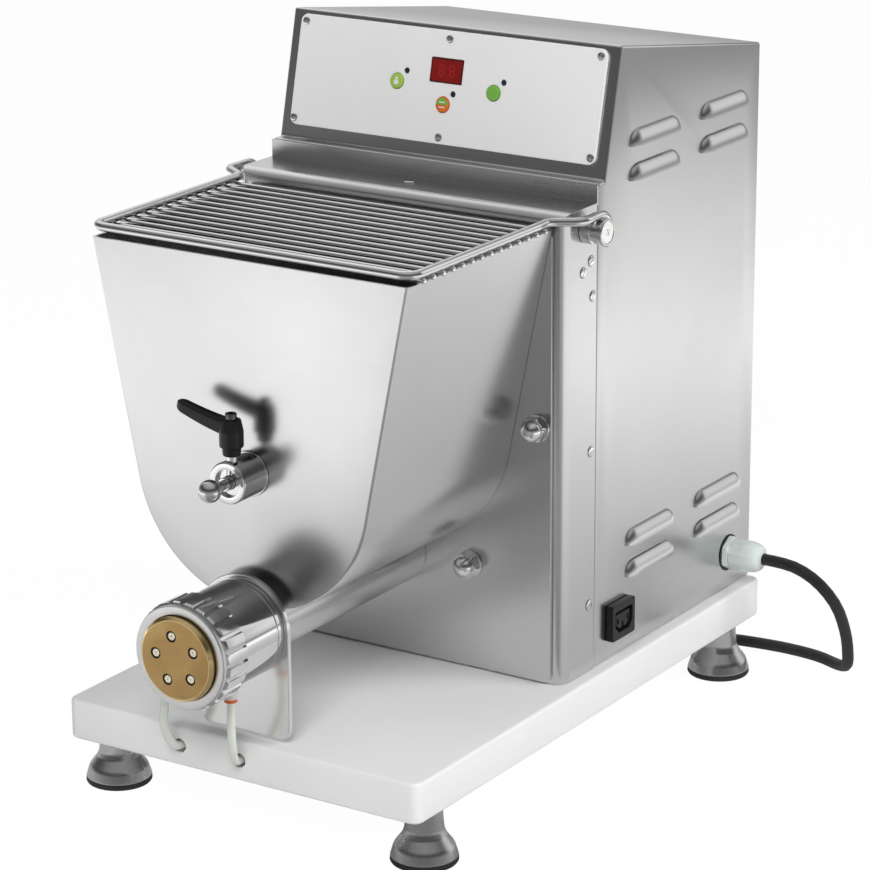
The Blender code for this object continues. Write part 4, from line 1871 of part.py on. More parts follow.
def mains_plug(last):
    """A round earthed plug with two pins, lying on the table at the end of the lead."""
    x = last[0] + CLEARANCE
    length = PLUG_LENGTH + PLUG_NECK_LENGTH
    profile = [
        (0, length),
        (PLUG_RADIUS - PAD_EDGE, length),
        (PLUG_RADIUS, length - PAD_EDGE),
        (PLUG_RADIUS, length - PLUG_LENGTH / 2),
        (PLUG_NECK_RADIUS * 2, length - PLUG_LENGTH),
        (PLUG_NECK_RADIUS, PLUG_NECK_LENGTH / 2),
        (PLUG_NECK_RADIUS, 0),
        (0, 0),
    ]
    plug = turned("mains_plug", profile, (x, last[1], last[2]), TO_RIGHT, BLACK_PLASTIC, steps=PLUG_SIDES)
    for sign in (-1, 1):
        y = last[1] + sign * PLUG_PIN_SPREAD
        start = (x + length - CUT_MARGIN, y, last[2])
        end = (x + length + PLUG_PIN_LENGTH, y, last[2])
        join(plug, rod(f"plug_pin_{sign}", PLUG_PIN_RADIUS, start, end, sides=PLUG_PIN_SIDES))


def build():
    base_board()
    feet()
    front_frame()
    cover()
    rear_panel()
    control_plate()
    display_window()
    for tag, (x, height) in BUTTONS.items():
        button(tag, x, height, BUTTON_ORANGE if tag == "centre" else BUTTON_GREEN)
        indicator(tag, x, height)
    control_board()
    hopper()
    hopper_rear_plate()
    for tag, x, height in nut_places():
        dome_nut(tag, x, height)
    barrel()
    head_bracket()
    head_collar()
    head_axis = axis_marker("head_axis", (0, NUT_FRONT_Y, BARREL_HEIGHT))
    ring_nut(head_axis)
    die(head_axis)
    die_core(head_axis)
    cooling()
    bearing_boss()
    bearing_pin()
    clamping_lever()
    mixer()
    auger()
    guard_lid()
    pivot("left", -1, TO_LEFT)
    pivot("right", 1, TO_RIGHT)
    lid_switch()
    gears()
    gear_case()
    motor()
    power_outlet()
    cable_gland()
    mains_lead()


build()
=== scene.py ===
"""Dresses the electric pasta maker: folded sheet metal, turned head, wire guard, board, feet and mains lead.

Lengths are in metres. +X is the machine's right-hand side, its front faces -Y and +Z is up. A shell is a
pair (points, faces): an array of points and a list of arrays of corner indices, one row for each face.
"""

import math

import bmesh
import bpy
import numpy as np
from mathutils import Matrix


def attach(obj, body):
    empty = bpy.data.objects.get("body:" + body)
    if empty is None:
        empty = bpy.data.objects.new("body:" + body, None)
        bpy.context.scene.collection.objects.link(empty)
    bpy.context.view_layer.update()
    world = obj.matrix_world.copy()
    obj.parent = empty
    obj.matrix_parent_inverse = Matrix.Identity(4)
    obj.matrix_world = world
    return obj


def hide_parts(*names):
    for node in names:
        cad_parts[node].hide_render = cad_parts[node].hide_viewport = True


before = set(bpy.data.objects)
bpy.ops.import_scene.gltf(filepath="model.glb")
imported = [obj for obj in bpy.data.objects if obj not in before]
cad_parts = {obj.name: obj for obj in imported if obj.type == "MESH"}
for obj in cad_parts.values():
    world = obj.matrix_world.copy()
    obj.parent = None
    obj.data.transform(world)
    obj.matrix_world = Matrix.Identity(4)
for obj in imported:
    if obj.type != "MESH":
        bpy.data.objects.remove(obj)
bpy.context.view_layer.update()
QUARTER = math.pi / 2
TURN = 2 * math.pi

# Sizes of the machine, as its solids have them

GAP = 0.0003
SHEET = 0.0015
SIDE_X = 0.1395
BOARD_TOP = 0.0710
BOARD_LOW = 0.0410
BODY_FOOT = BOARD_TOP + GAP
BODY_REAR = 0.2775
SEAM_Y = 0.0398
FRAME_FRONT = -0.0050
SHELF = 0.4200
UPSTAND_TOP = 0.4328
LEDGE = 0.4334
FACE_FOOT = 0.0487
FACE_LEAN = 0.2346
FACE_TILT = math.atan(FACE_LEAN)
TOP_FRONT = 0.5262
TOP_REAR = 0.4936
FACE_OUT = (0, -math.cos(FACE_TILT), math.sin(FACE_TILT))
HOPPER_FRONT = -0.1894
HOPPER_REAR = -0.0086
PLATE_FRONT = -0.0083
MIXER_Z = 0.2600
BARREL_Z = 0.1525
GUARD_PIVOT = (0.0228, 0.4045)
GLAND = (0.1398, 0.2430, 0.1000)
LEAD_RADIUS = 0.0045
COIL_MIDDLE = (-0.0750, 0.3600)
COIL_PITCH = 0.0099
COIL_LOW = 0.0063
BUTTONS = {"left": (-0.0412, 0.4831), "centre": (0.0, 0.4706), "right": (0.0412, 0.4831)}


# Outlines, shells and pieces

def arc(centre, radius, start, end, steps=12):
    """Points of an arc: centre plus radius times (cos, sin) of evenly spaced angles."""
    angles = np.linspace(start, end, steps + 1)
    return np.stack([centre[0] + radius * np.cos(angles), centre[1] + radius * np.sin(angles)], 1)


def rounded(corners, closed=True, steps=6):
    """A flat outline of (a, b, radius) corners: each corner becomes the arc that touches both its sides."""
    places = np.array([corner[:2] for corner in corners], float)
    outline = []
    for i, (here, corner) in enumerate(zip(places, corners)):
        radius = corner[2] if len(corner) > 2 else 0
        if not radius or (not closed and i in (0, len(corners) - 1)):
            outline.append(here[None])
            continue
        sides = np.array([places[i - 1] - here, places[(i + 1) % len(places)] - here])
        sides /= np.linalg.norm(sides, axis=1)[:, None]
        half = math.acos(np.clip(sides[0] @ sides[1], -1, 1)) / 2
        middle = sides.sum(0) / np.linalg.norm(sides.sum(0))
        centre = here + middle * radius / math.sin(half)
        ends = here + sides * radius / math.tan(half) - centre
        sweep = math.pi - 2 * half
        share = np.linspace(0, 1, steps + 1)[:, None]
        bow = np.sin((1 - share) * sweep) * ends[0] + np.sin(share * sweep) * ends[1]
        outline.append(centre + bow / math.sin(sweep))
    return np.concatenate(outline)


def rectangle(width, height, radius, steps=6):
    """A rectangle's outline about its middle, with rounded corners."""
    x = width / 2
    z = height / 2
    return rounded([(x, z, radius), (-x, z, radius), (-x, -z, radius), (x, -z, radius)], steps=steps)


def quads(rows, columns, wrap=True):
    """Corner indices of the faces between the rows of a grid; the last column meets the first if it wraps."""
    i = np.arange(rows - 1)[:, None]
    j = np.arange(columns if wrap else columns - 1)[None]
    k = (j + 1) % columns
    corners = [i * columns + j, i * columns + k, (i + 1) * columns + k, (i + 1) * columns + j]
    return np.stack(corners, -1).reshape(-1, 4)


def skin(rows, wrap=True):
    """The shell of a grid of points (rows, columns, 3); open ends of a wrapped grid are closed with a
    face."""
    count, columns = rows.shape[:2]
    faces = [quads(count, columns, wrap)]
    for row in (0, count - 1):
        width = np.ptp(rows[row], axis=0).max()
        if wrap and width > 0.00002 and not np.allclose(rows[0], rows[-1]):
            faces.append(np.arange(columns)[None] + row * columns)
    return rows.reshape(-1, 3), faces


def lathe(profile, sides=96):
    """A turned shell: every (radius, along) of the profile becomes a ring (radius cos, radius sin, along).
    A profile that starts off the axis is a hollow one, and its end joins its start."""
    profile = np.asarray(profile, float)
    if profile[0, 0] > 0:
        profile = np.concatenate([profile, profile[:1]])
    angles = np.linspace(0, TURN, sides, endpoint=False)
    along = np.repeat(profile[:, 1:], sides, 1)
    return skin(np.stack([profile[:, :1] * np.cos(angles), profile[:, :1] * np.sin(angles), along], 2))


def prism(outline, low, high):
    """A flat outline (a, b) run along its own axis from low to high, with flat ends."""
    ring = np.asarray(outline, float)
    return skin(np.stack([np.column_stack([ring, np.full(len(ring), level)]) for level in (low, high)]))


def tube(path, radius, sides=20):
    """A round section carried along a path. Ring i is path_i + radius_i (cos a, sin a) in the plane across
    the path, and each ring's zero angle is the one before it projected onto that plane."""
    path = np.asarray(path, float)
    radius = np.broadcast_to(radius, len(path))
    ahead = np.gradient(path, axis=0)
    ahead /= np.linalg.norm(ahead, axis=1)[:, None]
    across = np.zeros_like(path)
    last = np.eye(3)[np.abs(ahead[0]).argmin()]
    for i, forward in enumerate(ahead):
        last = last - forward * (last @ forward)
        last /= np.linalg.norm(last)
        across[i] = last
    upright = np.cross(ahead, across)
    angles = np.linspace(0, TURN, sides, endpoint=False)
    turns = angles[None, :, None]
    spokes = np.cos(turns) * across[:, None] + np.sin(turns) * upright[:, None]
    return skin(path[:, None] + radius[:, None, None] * spokes)


def smooth_route(points, spacing):
    """Even points on a centripetal Catmull-Rom curve through the points: three rounds of blending between
    neighbouring points, by knots that are the square roots of their distances apart."""
    points = np.asarray(points, float)
    route = np.concatenate([2 * points[:1] - points[1:2], points, 2 * points[-1:] - points[-2:-1]])
    dense = []
    for p in zip(route, route[1:], route[2:], route[3:]):
        t = np.cumsum([0] + [math.sqrt(np.linalg.norm(b - a)) for a, b in zip(p, p[1:])])
        at = np.linspace(t[1], t[2], 24, endpoint=False)[:, None]
        a = [((t[i + 1] - at) * p[i] + (at - t[i]) * p[i + 1]) / (t[i + 1] - t[i]) for i in range(3)]
        b = [((t[i + 2] - at) * a[i] + (at - t[i]) * a[i + 1]) / (t[i + 2] - t[i]) for i in range(2)]
        dense.append(((t[2] - at) * b[0] + (at - t[1]) * b[1]) / (t[2] - t[1]))
    dense = np.concatenate(dense + [route[-2:-1]])
    run = np.concatenate([[0], np.cumsum(np.linalg.norm(np.diff(dense, axis=0), axis=1))])
    even = np.linspace(0, run[-1], round(run[-1] / spacing) + 1)
    return np.stack([np.interp(even, run, dense[:, k]) for k in range(3)], 1)


def facing(direction):
    """Columns across, up and out of a place that faces a direction, with up leaning as near +Z as it can."""
    out = np.asarray(direction, float) / np.linalg.norm(direction)
    up = np.array((0, 0, 1.0)) if abs(out[2]) < 0.99 else np.array((0, 1.0, 0))
    across = np.cross(up, out)
    across /= np.linalg.norm(across)
    return np.stack([across, np.cross(out, across), out], 1)


FRONT = (0, -1, 0)
REAR = (0, 1, 0)
RIGHT = (1, 0, 0)
LEFT = (-1, 0, 0)
UP = (0, 0, 1)


def put(shell, at, direction=UP, spin=0.0):
    """A shell turned by spin about its own axis, faced in a direction and moved to its place."""
    points, faces = shell
    c, s = math.cos(spin), math.sin(spin)
    turn = facing(direction) @ np.array([[c, -s, 0], [s, c, 0], [0, 0, 1]])
    return points @ turn.T + np.asarray(at, float), faces


def together(*shells):
    """Several shells as one."""
    points = []
    faces = []
    first = 0
    for shell in shells:
        points.append(shell[0])
        faces += [group + first for group in shell[1]]
        first += len(shell[0])
    return np.concatenate(points), faces


def block(low, high):
    """A box between two corners."""
    low = np.asarray(low, float)
    high = np.asarray(high, float)
    base = np.array([(0, 0, 0), (1, 0, 0), (1, 1, 0), (0, 1, 0)], float)
    rows = np.stack([base, base + (0, 0, 1)])
    return skin(low + rows * (high - low))


def shaded(mesh, sharp=32):
    """Smooth shading that stops at edges sharper than an angle in degrees."""
    mesh.shade_smooth()
    mesh.set_sharp_from_angle(angle=math.radians(sharp))


def mesh_of(name, shell, sharp=32):
    """One closed mesh of a shell: doubled points joined and faces turned outwards."""
    points, groups = shell
    corners = np.concatenate([group.ravel() for group in groups])
    counts = np.concatenate([np.full(len(group), group.shape[1]) for group in groups])
    starts = np.concatenate([[0], np.cumsum(counts)[:-1]])
    mesh = bpy.data.meshes.new(name)
    mesh.vertices.add(len(points))
    mesh.vertices.foreach_set("co", points.astype(np.float32).ravel())
    mesh.loops.add(len(corners))
    mesh.loops.foreach_set("vertex_index", corners.astype(np.int32))
    mesh.polygons.add(len(counts))
    mesh.polygons.foreach_set("loop_start", starts.astype(np.int32))
    mesh.update(calc_edges=True)
    work = bmesh.new()
    work.from_mesh(mesh)
    bmesh.ops.remove_doubles(work, verts=work.verts, dist=0.000002)
    bmesh.ops.dissolve_degenerate(work, edges=work.edges, dist=0.000001)
    bmesh.ops.recalc_face_normals(work, faces=work.faces)
    work.to_mesh(mesh)
    work.free()
    shaded(mesh, sharp)
    return mesh


def add(name, shell, body, slot, *replaced, sharp=32):
    """A finished piece from a shell: it rides on a body and may stand for nodes of the frame."""
    piece = bpy.data.objects.new(name, mesh_of(name, shell, sharp))
    bpy.context.scene.collection.objects.link(piece)
    return settle(piece, body, slot, *replaced)


def settle(piece, body, slot, *replaced):
    """Gives a piece its finish, its body and the nodes it stands for."""
    piece.data.materials.clear()
    piece.data.materials.append(FINISHES[slot])
    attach(piece, body)
    if replaced:
        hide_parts(*replaced)
    return piece


def combine(piece, shells, operation):
    """Cuts shells out of a piece, or joins them to it, exactly and for good."""
    for i, shell in enumerate(shells):
        tool = bpy.data.objects.new(f"{piece.name}_tool", mesh_of("tool", shell))
        bpy.context.scene.collection.objects.link(tool)
        change = piece.modifiers.new(f"Cut {i}", "BOOLEAN")
        change.operation = operation
        change.solver = "EXACT"
        change.object = tool
        apply_changes(piece)
        bpy.data.objects.remove(tool, do_unlink=True)
    return piece


def apply_changes(piece):
    """Puts a piece's modifiers into its mesh."""
    graph = bpy.context.evaluated_depsgraph_get()
    mesh = bpy.data.meshes.new_from_object(piece.evaluated_get(graph), depsgraph=graph)
    old = piece.data
    piece.modifiers.clear()
    piece.data = mesh
    bpy.data.meshes.remove(old)
    shaded(piece.data)


def carve(piece, *shells):
    return combine(piece, shells, "DIFFERENCE")


def weld(piece, *shells):
    return combine(piece, shells, "UNION")


def ease(piece, width, segments=3, angle=35, apply=False):
    """Rounds a piece's edges."""
    edge = piece.modifiers.new("Eased edges", "BEVEL")
    edge.width = width
    edge.segments = segments
    edge.limit_method = "ANGLE"
    edge.angle_limit = math.radians(angle)
    edge.use_clamp_overlap = True
    edge.harden_normals = not apply
    if apply:
        apply_changes(piece)
    return piece


def on_face(x, height, out=0.0):
    """A point of the sloping control face at a height, moved out along the face's normal."""
    y = FACE_FOOT + FACE_LEAN * (height - LEDGE)
    return (x, y - out * math.cos(FACE_TILT), height + out * math.sin(FACE_TILT))


# Finishes

def node_group(name, numbers, build):
    """A shader group with a Vector socket and named number sockets, and one Mask output."""
    group = bpy.data.node_groups.new(name, "ShaderNodeTree")
    group.interface.new_socket("Vector", in_out="INPUT", socket_type="NodeSocketVector")
    for socket, value in numbers.items():
        kind = "NodeSocketVector" if isinstance(value, tuple) else "NodeSocketFloat"
        made = group.interface.new_socket(socket, in_out="INPUT", socket_type=kind)
        made.default_value = value
    group.interface.new_socket("Mask", in_out="OUTPUT", socket_type="NodeSocketFloat")
    start = group.nodes.new("NodeGroupInput")
    end = group.nodes.new("NodeGroupOutput")
    group.links.new(build(group, start.outputs), end.inputs["Mask"])
    return group


def node(tree, kind, **settings):
    """A node with its settings; a setting named in_X fills or links the input X."""
    made = tree.nodes.new("ShaderNode" + kind)
    for key, value in settings.items():
        if not key.startswith("in_"):
            setattr(made, key, value)
    for key, value in settings.items():
        if key.startswith("in_"):
            name = key[3:].replace("_", " ")
            socket = made.inputs[int(name)] if name.isdigit() else made.inputs[name]
            if isinstance(value, bpy.types.NodeSocket):
                tree.links.new(value, socket)
            else:
                socket.default_value = value
    return made


def maths(tree, operation, *values):
    settings = {f"in_{i}": value for i, value in enumerate(values)}
    return node(tree, "Math", operation=operation, **settings).outputs[0]


def spread(tree, value, low, high, start=0.0, end=1.0):
    """A mask carried from start..end to low..high."""
    settings = dict(in_Value=value, in_From_Min=start, in_From_Max=end, in_To_Min=low, in_To_Max=high)
    return node(tree, "MapRange", **settings).outputs["Result"]


def grain_lines(tree, start):
    """Fine noise drawn out along one direction, as rolling and brushing leave it."""
    place = node(tree, "VectorMath", operation="MULTIPLY", in_0=start["Vector"], in_1=start["Stretch"])
    lines = node(tree, "TexNoise", in_Vector=place.outputs[0], in_Scale=1.0, in_Detail=3.0, in_Roughness=0.6)
    return lines.outputs["Fac"]


def clouds(tree, start):
    """Soft patches, where a surface was wiped or handled, with finer ones inside them."""
    soft = node(tree, "TexNoise", in_Vector=start["Vector"], in_Scale=start["Size"], in_Detail=4.0,
                in_Roughness=0.55, in_Distortion=0.4)
    return spread(tree, soft.outputs["Fac"], 0.0, 1.0, 0.3, 0.7)


def hairlines(tree, start):
    """Thin random scratches: the narrow borders of bent, stretched cells, thinned out by soft patches."""
    bend = node(tree, "TexNoise", in_Vector=start["Vector"], in_Scale=9.0, in_Detail=1.0)
    bent = node(tree, "VectorMath", operation="MULTIPLY_ADD", in_0=bend.outputs["Color"],
                in_1=(0.03, 0.03, 0.03),
                in_2=start["Vector"])
    cells = node(tree, "TexVoronoi", feature="DISTANCE_TO_EDGE", in_Vector=bent.outputs[0],
                 in_Scale=start["Size"])
    line = spread(tree, cells.outputs["Distance"], 1.0, 0.0, 0.0, 0.012)
    patch = node(tree, "TexNoise", in_Vector=start["Vector"], in_Scale=31.0, in_Detail=2.0)
    some = spread(tree, patch.outputs["Fac"], 0.0, 1.0, 0.52, 0.62)
    return maths(tree, "MULTIPLY", line, some)


def tool_rings(tree, start):
    """Rings that a lathe leaves: noise on the distance from the Y axis and on the place along it."""
    split = node(tree, "SeparateXYZ", in_Vector=start["Vector"])
    square = maths(tree, "MULTIPLY", split.outputs["X"], split.outputs["X"])
    reach = maths(tree, "SQRT", maths(tree, "MULTIPLY_ADD", split.outputs["Z"], split.outputs["Z"], square))
    line = node(tree, "CombineXYZ", in_X=reach, in_Y=split.outputs["Y"])
    rings = node(tree, "TexNoise", in_Vector=line.outputs[0], in_Scale=start["Fineness"], in_Detail=2.0)
    return rings.outputs["Fac"]


def pebbles(tree, start):
    """The fine even texture of moulded plastic and sawn board."""
    fine = node(tree, "TexNoise", in_Vector=start["Vector"], in_Scale=start["Fineness"], in_Detail=2.0)
    return fine.outputs["Fac"]


GRAIN = node_group("grain_lines", {"Stretch": (40.0, 40.0, 900.0)}, grain_lines)
CLOUDS = node_group("wiped_clouds", {"Size": 9.0}, clouds)
HAIRLINES = node_group("hairline_scratches", {"Size": 60.0}, hairlines)
RINGS = node_group("lathe_rings", {"Fineness": 2500.0}, tool_rings)
PEBBLES = node_group("moulded_pebbles", {"Fineness": 2600.0}, pebbles)


def mask(tree, group, vector, **numbers):
    """A group placed in a material with its own values."""
    made = tree.nodes.new("ShaderNodeGroup")
    made.node_tree = group
    tree.links.new(vector, made.inputs["Vector"])
    for socket, value in numbers.items():
        made.inputs[socket].default_value = value
    return made.outputs["Mask"]


def finish(name, light, dark, rough, metallic=0.0, fine=None, relief=0.0, depth=0.00005, cloud=9.0, marks=0.0,
           centre=(0, 0, 0), **sockets):
    """A material: its colour drifts between light and dark in wiped patches, its roughness over a range
    with a
    fine pattern (group, values), which also gives the relief, and thin scratches catch the light."""
    made = bpy.data.materials.new(name)
    made.use_nodes = True
    tree = made.node_tree
    shader = tree.nodes["Principled BSDF"]
    place = node(tree, "TexCoord").outputs["Object"]
    place = node(tree, "Mapping", in_Vector=place, in_Location=tuple(-value for value in centre)).outputs[0]
    soft = mask(tree, CLOUDS, place, Size=cloud)
    group, values = fine
    pattern = mask(tree, group, place, **values)
    colour = node(tree, "Mix", data_type="RGBA", in_0=soft)
    colour.inputs[6].default_value = (*light, 1)
    colour.inputs[7].default_value = (*dark, 1)
    tree.links.new(colour.outputs[2], shader.inputs["Base Color"])
    blend = maths(tree, "MULTIPLY_ADD", pattern, 0.6, maths(tree, "MULTIPLY", soft, 0.4))
    coarse = spread(tree, blend, rough[0], rough[1], 0.25, 0.75)
    if marks:
        lines = mask(tree, HAIRLINES, place, Size=70.0)
        coarse = maths(tree, "MULTIPLY_ADD", lines, marks, coarse)
    tree.links.new(coarse, shader.inputs["Roughness"])
    shader.inputs["Metallic"].default_value = metallic
    if relief:
        bump = node(tree, "Bump", in_Strength=relief, in_Distance=depth, in_Height=pattern)
        tree.links.new(bump.outputs[0], shader.inputs["Normal"])
    for socket, value in sockets.items():
        shader.inputs[socket.replace("_", " ")].default_value = value
    return made


def same(value):
    return (value, value, value)


SHEET_GRAIN = (GRAIN, {"Stretch": (30.0, 30.0, 1100.0)})
SMOOTH_GRAIN = (GRAIN, {"Stretch": (260.0, 260.0, 260.0)})
FINISHES = {
    "satin_steel": finish("satin_steel", (0.66, 0.66, 0.655), (0.61, 0.61, 0.61), (0.215, 0.255), 1.0,
                          SHEET_GRAIN, 0.015, 0.00001, 6.0),
    "satin_body": finish("satin_body", (0.65, 0.65, 0.645), (0.60, 0.60, 0.60), (0.24, 0.28), 1.0,
                         SHEET_GRAIN, 0.015, 0.00001, 5.0),
    "polished_steel": finish("polished_steel", (0.76, 0.76, 0.76), (0.72, 0.72, 0.72), (0.06, 0.10), 1.0,
                             (RINGS, {"Fineness": 1800.0}), 0.008, 0.000005, 14.0, 0.0, (0, 0, BARREL_Z)),
    "turned_steel": finish("turned_steel", (0.70, 0.70, 0.70), (0.65, 0.65, 0.65), (0.09, 0.15), 1.0,
                           (RINGS, {"Fineness": 2400.0}), 0.01, 0.000005, 14.0, 0.0, (0, 0, MIXER_Z)),
    "ring_matte": finish("ring_matte", (0.74, 0.74, 0.735), (0.68, 0.68, 0.675), (0.34, 0.44), 1.0,
                         (RINGS, {"Fineness": 3200.0}), 0.10, 0.00002, 20.0, 0.0, (0, 0, BARREL_Z)),
    "dark_steel": finish("dark_steel", (0.34, 0.34, 0.35), (0.26, 0.26, 0.27), (0.34, 0.48), 1.0,
                         (RINGS, {"Fineness": 1500.0}), 0.10, 0.00003, 20.0, 0.1),
    "cast_metal": finish("cast_metal", (0.46, 0.47, 0.48), (0.38, 0.39, 0.40), (0.48, 0.62), 1.0,
                         (PEBBLES, {"Fineness": 900.0}), 0.35, 0.0002, 16.0, 0.0),
    "foot_metal": finish("foot_metal", (0.56, 0.56, 0.56), (0.51, 0.51, 0.515), (0.24, 0.30), 1.0,
                         SMOOTH_GRAIN, 0.02, 0.00001, 18.0, 0.0),
    "bronze": finish("bronze", (0.48, 0.32, 0.135), (0.41, 0.26, 0.10), (0.32, 0.44), 1.0,
                     (PEBBLES, {"Fineness": 1500.0}), 0.20, 0.00006, 40.0, 0.0, (0, 0, BARREL_Z)),
    "bronze_bright": finish("bronze_bright", (0.90, 0.68, 0.34), (0.84, 0.60, 0.28), (0.14, 0.22), 1.0,
                            (RINGS, {"Fineness": 2600.0}), 0.06, 0.00002, 30.0, 0.0, (0, 0, BARREL_Z)),
    "white_board": finish("white_board", (0.88, 0.88, 0.88), (0.84, 0.84, 0.845), (0.40, 0.52), 0.0,
                          (PEBBLES, {"Fineness": 1100.0}), 0.12, 0.00008, 7.0, 0.05),
    "pale_panel": finish("pale_panel", (0.93, 0.93, 0.925), (0.90, 0.90, 0.895), (0.28, 0.36), 0.0,
                         (PEBBLES, {"Fineness": 3200.0}), 0.05, 0.00003, 9.0, 0.0),
    "black_plastic": finish("black_plastic", (0.012, 0.012, 0.0125), (0.008, 0.008, 0.008), (0.28, 0.38), 0.0,
                            (PEBBLES, {"Fineness": 2200.0}), 0.15, 0.00005, 30.0, 0.0,
                            Specular_IOR_Level=0.25),
    "black_rubber": finish("black_rubber", (0.022, 0.022, 0.022), (0.014, 0.014, 0.014), (0.52, 0.68), 0.0,
                           (PEBBLES, {"Fineness": 1800.0}), 0.20, 0.00006, 30.0, 0.0),
    "display_red": finish("display_red", (0.26, 0.008, 0.006), (0.20, 0.004, 0.004), (0.05, 0.09), 0.0,
                          (PEBBLES, {"Fineness": 600.0}), 0.0, 0.00001, 60.0, 0.0),
    "button_green": finish("button_green", (0.22, 0.50, 0.08), (0.17, 0.44, 0.06), (0.26, 0.34), 0.0,
                           (PEBBLES, {"Fineness": 3000.0}), 0.06, 0.00003, 60.0, 0.0),
    "button_lime": finish("button_lime", (0.40, 0.58, 0.10), (0.33, 0.52, 0.08), (0.26, 0.34), 0.0,
                          (PEBBLES, {"Fineness": 3000.0}), 0.06, 0.00003, 60.0, 0.0),
    "button_orange": finish("button_orange", (0.80, 0.20, 0.03), (0.72, 0.15, 0.02), (0.26, 0.34), 0.0,
                            (PEBBLES, {"Fineness": 3000.0}), 0.06, 0.00003, 60.0, 0.0),
    "mark_white": finish("mark_white", (0.82, 0.84, 0.80), (0.78, 0.80, 0.76), (0.35, 0.42), 0.0,
                         (PEBBLES, {"Fineness": 3000.0}), 0.05, 0.00002, 60.0, 0.0),
    "indicator_dark": finish("indicator_dark", (0.020, 0.022, 0.050), (0.014, 0.014, 0.034), (0.10, 0.16),
                             0.0,
                             (PEBBLES, {"Fineness": 900.0}), 0.0, 0.00001, 60.0, 0.0),
    "circuit_green": finish("circuit_green", (0.03, 0.22, 0.10), (0.02, 0.16, 0.07), (0.35, 0.50), 0.0,
                            (GRAIN, {"Stretch": (700.0, 60.0, 60.0)}), 0.20, 0.00005, 30.0, 0.0),
    "gland_grey": finish("gland_grey", (0.72, 0.78, 0.77), (0.67, 0.73, 0.72), (0.32, 0.42), 0.0,
                         (PEBBLES, {"Fineness": 2200.0}), 0.10, 0.00004, 40.0, 0.0),
    "hose_milky": finish("hose_milky", (0.78, 0.79, 0.74), (0.72, 0.73, 0.67), (0.20, 0.30), 0.0,
                         SMOOTH_GRAIN, 0.05, 0.00003, 30.0, 0.0, Subsurface_Weight=0.15),
    "fitting_grey": finish("fitting_grey", (0.66, 0.68, 0.65), (0.60, 0.62, 0.59), (0.22, 0.32), 0.0,
                           SMOOTH_GRAIN, 0.05, 0.00003, 40.0, 0.0),
    "collet_orange": finish("collet_orange", (0.80, 0.16, 0.03), (0.70, 0.12, 0.02), (0.28, 0.36), 0.0,
                            SMOOTH_GRAIN, 0.05, 0.00003, 60.0, 0.0),
    "insert_cream": finish("insert_cream", (0.80, 0.74, 0.60), (0.74, 0.66, 0.52), (0.36, 0.46), 0.0,
                           SMOOTH_GRAIN, 0.05, 0.00003, 90.0, 0.0),
    # Near black, painted as the shade inside holes and sockets.
    "painted_recess_shade": finish("painted_recess_shade", (0.012, 0.011, 0.010), (0.008, 0.008, 0.008), (0.5, 0.6), 0.0,
                          SMOOTH_GRAIN, 0.05, 0.00003, 90.0, 0.0),
}
SLOT_OF = {
    "satin_body": "satin_steel", "turned_steel": "polished_steel", "ring_matte": "polished_steel",
    "bronze_bright": "bronze", "button_lime": "button_green", "mark_white": "pale_panel",
    "collet_orange": "button_orange", "painted_recess_shade": "black_plastic",
}


# Camera, floor and light

def camera():
    """The photograph's view: azimuth, height angle and a slight roll, as a row for each of the camera's
    axes."""
    azimuth, height, roll = math.radians(33.064), math.radians(17.548), math.radians(-0.315)
    back = np.array((math.sin(azimuth) * math.cos(height), -math.cos(azimuth) * math.cos(height),
                     math.sin(height)))
    right = np.array((math.cos(azimuth), math.sin(azimuth), 0))
    c, s = math.cos(roll), math.sin(roll)
    axes = np.array([[c, s, 0], [-s, c, 0], [0, 0, 1]]) @ np.array([right, np.cross(back, right), back])
    made = bpy.data.objects.new("camera", bpy.data.cameras.new("camera"))
    made.data.lens = 147.61
    made.data.sensor_width = 36
    made.data.clip_start = 0.05
    made.data.clip_end = 60
    place = Matrix(axes.T.tolist()).to_4x4()
    place.translation = (1.3688, -2.0598, 1.0186)
    made.matrix_world = place
    bpy.context.scene.collection.objects.link(made)
    bpy.context.scene.camera = made


# The painted pool of light that metal sees on the floor, grey by distance out to 4 m: painted shade near the
# machine, brightest about 1.2 m out, fading beyond.
POOL = ((0.0, 0.50), (0.10, 0.60), (0.20, 0.95), (0.29, 1.75), (0.42, 1.35), (0.60, 0.70), (1.0, 0.30))


def shape_ramp(ramp, stops):
    """Gives a colour ramp its grey stops."""
    elements = ramp.color_ramp.elements
    while len(elements) < len(stops):
        elements.new(0.5)
    for element, (at, value) in zip(elements, stops):
        element.position = at
        element.color = (value, value, value, 1)


